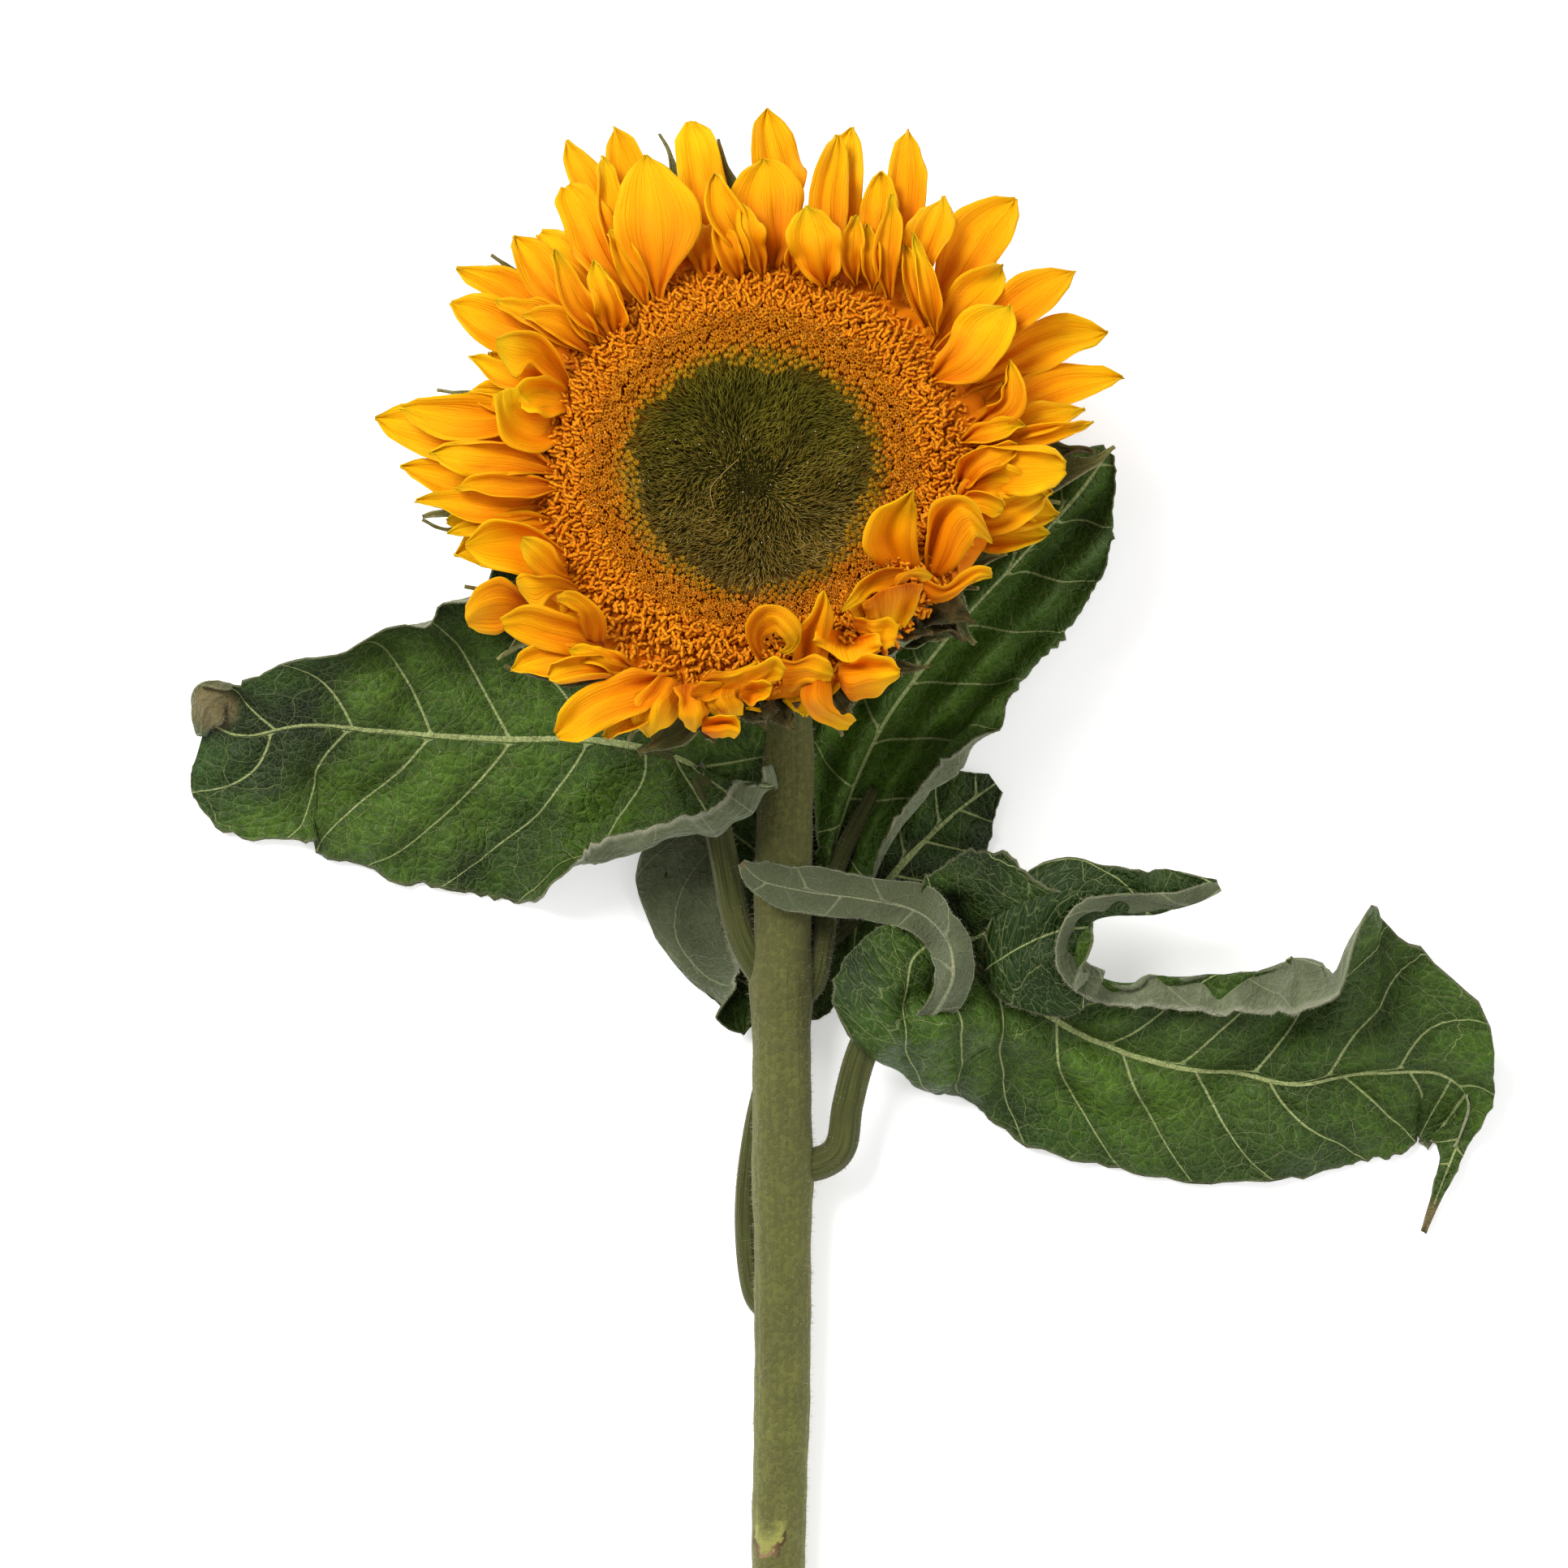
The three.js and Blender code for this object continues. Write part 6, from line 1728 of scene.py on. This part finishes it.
        [(-30, -23, 0), (-33, -23.5, 3), (-35, -25.5, 5), (-37, -27.5, 4), (-40, -24, 5)],
    ]),
    ("petal_back_09", 0, [
        [(-38, -24, -2), (-40.5, -22.5, 3), (-43.5, -21.5, 4.5), (-47, -22.5, 3.5), (-49.5, -25, 0)],
        [(-38, -24.5, -4), (-41, -24.5, 0), (-44, -24.5, 1.5), (-47, -25.5, 1.5), (-49.5, -27, -1)],
        [(-38.5, -26.5, -4), (-41, -27.5, -2), (-44, -29.5, -3), (-47, -28.5, -4), (-49, -28, -3)],
    ]),
    (None, 0, [
        [(-25.5, -31.5, -1), (-25, -30, 4), (-26, -28, 7), (-29.5, -25.5, 8), (-31.5, -25, 8),
         (-33.5, -25.5, 7)],
        [(-27, -31.5, -1), (-27, -29.5, 2), (-28, -28, 5.5), (-30, -26.5, 7), (-32, -26, 8),
         (-33.5, -26, 7)],
        [(-28.5, -31, -1), (-29.5, -29.5, 2.5), (-29.5, -28.5, 5.5), (-31, -28, 7), (-32.5, -27, 7),
         (-33.5, -26.5, 6.5)],
    ]),
    ("petal_front_09", 0, [
        [(-25.5, -31, -2), (-29.5, -28.5, 3), (-34.5, -27.5, 5), (-39.5, -26.5, 4.5), (-43.5, -28, 2)],
        [(-25.5, -31.5, -4), (-30, -30.5, -0.5), (-35, -29.5, 0.5), (-39.5, -28.5, 1.5), (-43, -29, 2)],
        [(-26, -33, -4), (-31, -34, -1), (-35, -33.5, 0.5), (-39.5, -32, 0.5), (-42.5, -30, 1)],
    ]),
    ("petal_front_07", 0.8, [
        [(-31.5, 16.5, -1), (-33.5, 19, 4), (-37, 22.5, 7), (-41, 22.5, 8), (-44.5, 21.5, 7)],
        [(-31.5, 16.5, -3), (-34.5, 19, 0), (-37.5, 20.5, 3.5), (-41, 20.5, 6.5), (-44.5, 20.5, 7)],
        [(-32.5, 15, -1), (-35.5, 16, 2.5), (-38.5, 17.5, 5), (-41, 14.5, 6), (-44, 18.5, 6.5)],
    ]),
    (None, 0.5, [
        [(-33, 5.5, -1), (-37.5, 2, 2), (-42, 2.5, 5), (-44, 6, 7), (-45, 11, 7)],
        [(-33.5, 9, -2), (-37, 7, -0.5), (-40.5, 7.5, 1.5), (-42.5, 9, 4.5), (-43, 12, 7)],
        [(-32.5, 11, -1), (-36, 11, 2.5), (-38.5, 10, 5), (-40, 11.5, 6), (-40.5, 12.5, 7)],
    ]),
    (None, 0, [
        [(-32, 15, -1), (-34.5, 15, 4), (-38, 14.5, 7), (-41, 12.5, 7)],
        [(-32, 13.5, -2), (-34.5, 13.5, 0), (-37.5, 13.5, 1.5), (-40, 11.5, 5)],
        [(-32, 11, -1), (-34.5, 8.5, 3), (-37.5, 8, 6), (-40, 9, 6)],
    ]),
]
print("curled petals listed:", len(CURLED_PETALS))

# %% Petal meshes
PETAL_FIELDS = ("along", "across", "length", "fold", "tint", "green")
NET_ROWS, NET_COLUMNS = 29, 17
NET_RIB, LONG_LOOP, FULL_NET_WIDTH = 0.1, 6, 8


def add_curled_petal(batch, lines, random, green):
    """A petal through a net of points: lines from claw to tip, side by side."""
    rib = NET_RIB * min(1.0, LONG_LOOP / len(lines[0]))  # a long loop is smoother
    along = np.stack([smooth_rows(line, NET_ROWS) for line in lines], axis=1)
    grid = np.stack([smooth_rows(row, NET_COLUMNS) for row in along])
    if grid_normals(grid)[..., 2].mean() < 0:
        grid = grid[:, ::-1]
    s = np.linspace(0, 1, NET_ROWS)[:, None]
    across = np.linspace(-1, 1, NET_COLUMNS)[None] * np.ones_like(s)
    bends = np.cos(across * np.pi * random.uniform(1.8, 2.6) + random.uniform(-0.6, 0.6))
    bends = bends * (1 - across**4)
    ends = np.sqrt(np.sin(np.pi * np.clip(s, 0.02, 0.98)))
    waves = uneven(s, random, 1.6, 2.4) * np.abs(across) ** 2.5
    width = np.linalg.norm(grid[NET_ROWS // 2, 0] - grid[NET_ROWS // 2, -1])
    relief = rib * np.cos(across * np.pi * RIBS) + 0.25 * bends + 0.4 * waves
    grid = grid + grid_normals(grid) * (ends * min(1.0, width / FULL_NET_WIDTH) * relief)[..., None]
    # The troughs of the bends, which the material paints darker as painted shade.
    fold = np.clip(-bends, 0, 1) * 0.7
    s = s * np.ones_like(across)
    add_sheet(batch, grid, petal_thickness(across), s, across, 0.1 + 0.8 * s, fold=twice(fold),
              tint=random.uniform(0.2, 0.8), green=twice(green * smoothstep(0.5, 1.0, s)))


def finish_petal(batch, node, spare):
    """Build a petal's mesh; one with no node of its own is numbered among the spare ones."""
    name = f"petal_between_{spare:02d}" if node is None else node + "_blade"
    piece = batch.build(name, [petal_material])
    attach(piece, "root")
    if node is not None:
        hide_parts(node)
    return spare + (node is None)


random = np.random.default_rng(21)
spare = 1
for node, layer, plan, half_width, outline, style, *more in PETALS:
    twist, green = (*more, 0, 0)[:2]
    line = [(x, y, level) for (x, y), level in zip(plan, LAYERS[layer])]
    batch = Batch(PETAL_FIELDS)
    add_petal(batch, line, FULLNESS[style] * half_width, outline, random, green, twist, **STYLES[style])
    spare = finish_petal(batch, node, spare)
for node, green, lines in CURLED_PETALS:
    batch = Batch(PETAL_FIELDS)
    add_curled_petal(batch, lines, random, green)
    spare = finish_petal(batch, node, spare)
print("petals made:", len(PETALS) + len(CURLED_PETALS), "of them with no node of their own:", spare - 1)

# %% Petals underneath
UNDER_PETALS, UNDER_ROOT_RADIUS, UNDER_ROWS, UNDER_COLUMNS = 50, 35.5, 16, 5
UNDER_LEVELS = (-6.5, -6.0, -8.5)  # at the claw, in the middle and at the tip
BARE_FROM, BARE_TO = 293, 341  # degrees round the rim where only dark bracts show
under = Batch(PETAL_FIELDS)
for number in range(UNDER_PETALS):
    azimuth = number * 360 / UNDER_PETALS + random.uniform(-3, 3)
    if BARE_FROM < azimuth < BARE_TO:
        continue
    turn = math.radians(azimuth)
    lower_side = smoothstep(0.2, 0.7, -math.sin(turn))
    reach = random.uniform(49, 54) - 9.5 * lower_side
    end_turn = turn + random.normal(0, 0.05)
    low, middle, end = UNDER_LEVELS
    line = [(r * math.cos(t), r * math.sin(t), h) for r, t, h in (
        (UNDER_ROOT_RADIUS, turn, low),
        (0.5 * (UNDER_ROOT_RADIUS + reach), 0.5 * (turn + end_turn), middle - random.uniform(0, 2)),
        (reach, end_turn, end))]
    add_petal(under, line, random.uniform(3.6, 4.8), "wide", random, 0.0, random.uniform(-14, 14),
              rows=UNDER_ROWS, columns=UNDER_COLUMNS, **STYLES["wavy"])
# The bases of all the petals overlap in a pleated collar round the rim.
COLLAR_PLEATS, COLLAR_COLUMNS, COLLAR_ROWS = 58, 520, 7
COLLAR_RADIUS, COLLAR_WIDTH, COLLAR_LEVEL, COLLAR_HALF_THICKNESS = 34.4, 8.5, -2.6, 0.12
turn = np.linspace(0, 2 * np.pi, COLLAR_COLUMNS)
lower_side = smoothstep(0.2, 0.7, -np.sin(turn))
bare = np.exp(-((np.degrees(turn) - 0.5 * (BARE_FROM + BARE_TO)) / 18) ** 2)
rows = []
for share in np.linspace(0, 1, COLLAR_ROWS):
    pleat = (0.25 + 0.7 * share) * np.abs(np.sin(0.5 * COLLAR_PLEATS * turn + 0.8 * np.sin(5 * turn)))
    radius = COLLAR_RADIUS + share * (COLLAR_WIDTH - 2.5 * lower_side - 3 * bare)
    level = COLLAR_LEVEL - 2.6 * share - 1.2 * share**2 + pleat
    rows.append(np.stack([radius * np.cos(turn), radius * np.sin(turn), level], -1))
grid = np.array(rows)[:, ::-1]
ones = np.ones(grid.shape[:2])
# The collar gets a little of the petals' painted fold shade all over.
add_sheet(under, grid, COLLAR_HALF_THICKNESS, 0 * ones, 0.5 * ones,
          np.linspace(0, 0.3, COLLAR_ROWS)[:, None] * ones, fold=twice(0.2 * ones), tint=0.4)
piece = under.build("petals_underneath", [petal_material])
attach(piece, "root")
print("petals underneath:", UNDER_PETALS, "faces", len(piece.data.polygons))

# %% [markdown]
# # The bracts
#
# Green bracts ring the base behind the petals. Each is broad at the foot and draws out into a thin
# curling tip, with rough hairy margins. A few at the lower edge have withered brown. The long ones at
# the far side bend down towards the table. All use the petal's surface with a leaf-like outline.

# %% Bract material
bract_material, g, shader = new_material("bract_skin", roughness=0.72, sheen=0.35,
                                        sheen_tint=rgb(206, 206, 170), specular=0.15)
ribs = g.use(fine_ribs, Across=g.field("across"), Along=g.field("length"),
             Pitch=0.14, Waver=0.2).outputs[0]
tone = g.mix(ribs, rgb(58, 68, 30), rgb(92, 100, 48))
tone = g.over(tone, rgb(70, 72, 34), spots(g, 0.004), 0.5)
tone = g.mix(g.remap(g.field("along"), 0.6, 1.0), tone, rgb(132, 126, 66))
tone = g.mix(g.remap(g.math("ABSOLUTE", g.field("across")), 0.9, 1.0), tone, rgb(130, 128, 90))
withered = g.mix(spots(g, 0.003), rgb(30, 24, 10), rgb(92, 76, 40))
tone = g.mix(g.field("tint"), tone, withered)
g.feed(shader["Sheen Weight"], g.math("MULTIPLY_ADD", g.field("tint"), -0.35, 0.35))
g.feed(shader["Base Color"], tone)
add_bump(g, shader, g.math("ADD", ribs, spots(g, 0.0011)), 0.0002)

# %% Bract shapes
OUTLINES["bract"] = (0.85, 0.98, 1.0, 0.9, 0.74, 0.54, 0.34, 0.2, 0.11, 0.05, 0.015)
OUTLINES["long_bract"] = (0.5, 0.7, 0.9, 1.0, 1.0, 0.9, 0.74, 0.5, 0.24, 0.1, 0.02)
BRACT_ROOT, BRACT_ROOT_RADIUS, BRACT_POINTS, BRACT_HALF_WIDTH = -14.4, 38.6, 6, 5.2
BRACTS = [  # degrees round the rim, reach, lift and bend of each bract's middle line
    (0, 54, -10, -10), (24, 56, -14, -14), (48, 62, -34.8, -23), (73, 63, -29, -20), (98, 66, -24.4, -18),
    (134, 64, -32.8, -22), (158, 60, -14, -14), (182, 58, -10, -10), (213, 53, -8, -16), (244, 49, -8, -18),
    (290, 46, -10, -20), (326, 47, -10, -20),
]
# The bracts that show between the petals: places in the head's own frame, half width, withered share.
MORE_BRACTS = [
    ([(-13.5, 41, -10), (-13.5, 55.5, -9), (-14.5, 61.5, -8), (-16.5, 65, -7)], 1.7, 0),
    ([(-3, 41, -10), (-3.5, 52.5, -9), (-5, 59, -8), (-6, 64, -7)], 2.6, 0),
    ([(-29.5, 29.5, -12), (-39.5, 38, -11), (-43, 41, -10), (-46, 43, -9)], 2.2, 0),
    ([(-22.5, 30, -10), (-27, 39.5, -9), (-31, 46, -8)], 1.6, 0),
    ([(32, 26.5, -12), (40, 38, -11), (44, 44.5, -10)], 3.2, 0),
    ([(37.5, 4, -13), (51.5, 3.5, -12), (59, 4.5, -11), (63.5, 7.5, -10)], 5, 0.1),
    ([(37.5, 6.5, -12), (51.5, 7, -11), (57.5, 7, -10), (60, 6, -9)], 3.2, 0.6),
    ([(36, -7, -12), (43.5, -8, -11), (48.5, -6.5, -10), (53.5, -5.5, -9)], 4.4, 0.05),
    ([(31.5, -14.5, -11), (37.5, -13.5, -10), (44.5, -12.5, -9)], 3.6, 0.1),
    ([(28.5, -19.5, -9), (34, -23.5, -7), (39, -26, -7)], 4.6, 0.85),
    ([(27, -20, -10), (33, -25.5, -9), (37, -28.5, -9)], 3.6, 0.95),
    ([(23, -24.5, -8), (27.5, -27.5, -6), (31.5, -28, -6)], 3, 0.9),
    ([(21, -28, -8), (23.5, -31, -6), (26, -31, -6)], 2, 0.95),
    ([(19, -32.5, -8), (26, -34, -8), (31, -33.5, -8)], 1.7, 0.6),
    ([(1, -38, -8), (-0.5, -42.5, -6), (2.5, -45.5, -6)], 4.2, 0.8),
    ([(4.5, -37.5, -9), (5, -42.5, -8), (7, -45, -8)], 3.8, 0.8),
    ([(14.5, -37.5, -9), (15.5, -40.5, -8), (17, -42.5, -7)], 2.6, 0.5),
    ([(-35, -6, -10), (-47.5, -8, -9), (-53.5, -8.5, -8), (-57.5, -7, -7)], 1.7, 0.2),
    ([(-32, -21.5, -10), (-44.5, -19.5, -9), (-50, -19, -8)], 2.4, 0.4),
    ([(-25.5, -34.5, -10), (-37.5, -34.5, -9), (-43, -33.5, -8)], 2, 0.6),
    ([(-8.5, -40.5, -10), (-13.5, -45, -10), (-19.5, -49, -9)], 3.2, 0.2),
    ([(-5, -42, -9), (-7, -46, -8), (-6.5, -48, -7)], 3, 0.7),
    ([(-48, 30.5, -11), (-45, 33, -10), (-47, 34.5, -9)], 2, 0),
]
# The small ones under the rim all follow one line: its radius and level.
SMALL_BRACTS, SMALL_ROWS, SMALL_COLUMNS = 26, 12, 4
SMALL_LINE = [(29, -22.0), (34.5, -20.6), (39.2, -17.4), (41.2, -12.5), (43.5, -9.0)]


def bract_line(azimuth, reach, lift, bend):
    """Points of a bract's middle line, rising at lift and turning by bend on the way."""
    turn = math.radians(azimuth)
    steps = BRACT_POINTS - 1
    slopes = np.radians(lift + bend * (np.arange(steps) + 0.5) / steps)
    step = (reach - BRACT_ROOT_RADIUS) / np.cos(slopes).sum()
    radius = BRACT_ROOT_RADIUS + np.concatenate([[0], np.cumsum(step * np.cos(slopes))])
    height = BRACT_ROOT + np.concatenate([[0], np.cumsum(step * np.sin(slopes))])
    return np.stack([radius * math.cos(turn), radius * math.sin(turn), height], -1)


# %% Bract meshes
FRINGE, SMALL_FRINGE = 50, 20  # hairs along each margin
BRACT_COLUMNS = 6
BRACT_CUP, BRACT_RIB, BRACT_TWIST = (20, 26, 10), 0.1, 14
BRACT_HALF_THICKNESS, THINNER_AT_MARGIN = 0.3, 0.14
random = np.random.default_rng(33)
hair_batch = Batch()


def add_bract(batch, line, half_width, withered, outline="bract", rows=PETAL_ROWS,
              columns=BRACT_COLUMNS, hairs=FRINGE):
    """A bract along a line: the more withered it is, the more it twists, waves and folds."""
    twist = random.uniform(-BRACT_TWIST, BRACT_TWIST) * (1 + 2 * withered)
    grid, s, across, _ = petal_surface(
        line, half_width, outline, random, twist, cup=BRACT_CUP, wave=0.5 + 1.6 * withered,
        pleat=0.2 + 0.5 * withered, rib=BRACT_RIB, rows=rows, columns=columns)
    half_thickness = BRACT_HALF_THICKNESS - THINNER_AT_MARGIN * np.abs(across)
    add_sheet(batch, grid, half_thickness, s, across, tint=withered)
    margin_hairs(hair_batch, from_head(grid), random, hairs)


for number, bract in enumerate(BRACTS, 1):
    batch = Batch(PETAL_FIELDS)
    add_bract(batch, bract_line(*bract), BRACT_HALF_WIDTH, 0.0)
    piece = batch.build(f"bract_{number:02d}_blade", [bract_material])
    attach(piece, "root")
    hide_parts(f"bract_{number:02d}")
batch = Batch(PETAL_FIELDS)
for line, half_width, withered in MORE_BRACTS:
    add_bract(batch, line, half_width, withered, "long_bract")
for number in range(SMALL_BRACTS):
    azimuth = number * 360 / SMALL_BRACTS + random.uniform(-4, 4)
    turn = math.radians(azimuth)
    line = [(r * math.cos(turn), r * math.sin(turn), level) for r, level in SMALL_LINE]
    add_bract(batch, line, random.uniform(4.6, 5.6), 0.0, rows=SMALL_ROWS, columns=SMALL_COLUMNS,
              hairs=SMALL_FRINGE)
more = batch.build("bracts_between", [bract_material])
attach(more, "root")
bract_hairs = hair_batch.build("bract_hairs", [hair_material], smooth=False)
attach(bract_hairs, "root")
print("bracts:", len(BRACTS) + len(MORE_BRACTS) + SMALL_BRACTS)

# %% [markdown]
# # Light, floor and camera
#
# The flower lies on a plain white table under broad soft light. A wide lamp at the upper left shapes
# the folds, a weaker one on the right opens up their shadows, and an even white world fills the rest.
# The camera looks straight down on the flower. Its long lens keeps the view nearly parallel.

# %% Floor
WHITE = (1, 1, 1, 1)
FLOOR_GLOW = 0.42
FLOOR_HALF = 3000.0
floor_material, g, shader = new_material("pale_floor", roughness=0.9, specular=0.1)
shader["Base Color"].default_value = rgb(246, 246, 246)
shader["Emission Color"].default_value = WHITE
shader["Emission Strength"].default_value = FLOOR_GLOW
floor_points = [(x * FLOOR_HALF, y * FLOOR_HALF, -ORIGIN[2]) for x, y in ((-1, -1), (1, -1), (1, 1), (-1, 1))]
floor = make_object("floor", floor_points, [(0, 1, 2, 3)], [floor_material], smooth=False)
floor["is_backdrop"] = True

# %% Lamps and world
WORLD_STRENGTH = 0.5


def area_lamp(name, place, aim, size, watts):
    lamp = bpy.data.lights.new(name, "AREA")
    lamp.shape = "DISK"
    lamp.size = size
    lamp.energy = watts
    holder = bpy.data.objects.new(name, lamp)
    holder.location = place
    direction = Vector(aim) - Vector(place)
    holder.rotation_euler = direction.to_track_quat("-Z", "Y").to_euler()
    bpy.context.scene.collection.objects.link(holder)


area_lamp("top_lamp", place=(-0.9, 0.9, 1.5), aim=(0, -0.02, 0.03), size=1.0, watts=38)
area_lamp("side_lamp", place=(1.5, -0.2, 1.0), aim=(0, 0, 0.03), size=0.8, watts=9)
world = bpy.data.worlds.new("soft_world")
world.use_nodes = True
world.node_tree.nodes["Background"].inputs["Color"].default_value = WHITE
world.node_tree.nodes["Background"].inputs["Strength"].default_value = WORLD_STRENGTH
bpy.context.scene.world = world
bpy.context.scene.view_settings.view_transform = "Standard"

# %% Camera
CAMERA_DISTANCE = 1500.0
CAMERA_PLANE = 30.0  # the level that the distance is measured from
CAMERA_OVER = (0.57, -55.1)
CAMERA_LENS, CAMERA_SENSOR = 195.6, 36.0
camera_data = bpy.data.cameras.new("overhead_camera")
camera_data.lens = CAMERA_LENS
camera_data.sensor_width = CAMERA_SENSOR
camera_data.clip_end = 100.0
camera = bpy.data.objects.new("overhead_camera", camera_data)
camera.location = to_frame([*CAMERA_OVER, CAMERA_PLANE + CAMERA_DISTANCE])
camera.rotation_euler = (0, 0, 0)
bpy.context.scene.collection.objects.link(camera)
bpy.context.scene.camera = camera
print("camera at", [round(v, 4) for v in camera.location])

# %% Sizes at the end
visual_low, visual_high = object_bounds()
growth = [[round((v - c) * 1000, 1) for v, c in zip(vis, cad)]
          for vis, cad in zip((visual_low, visual_high), cad_box)]
print("visual box minus CAD box, mm:", growth)
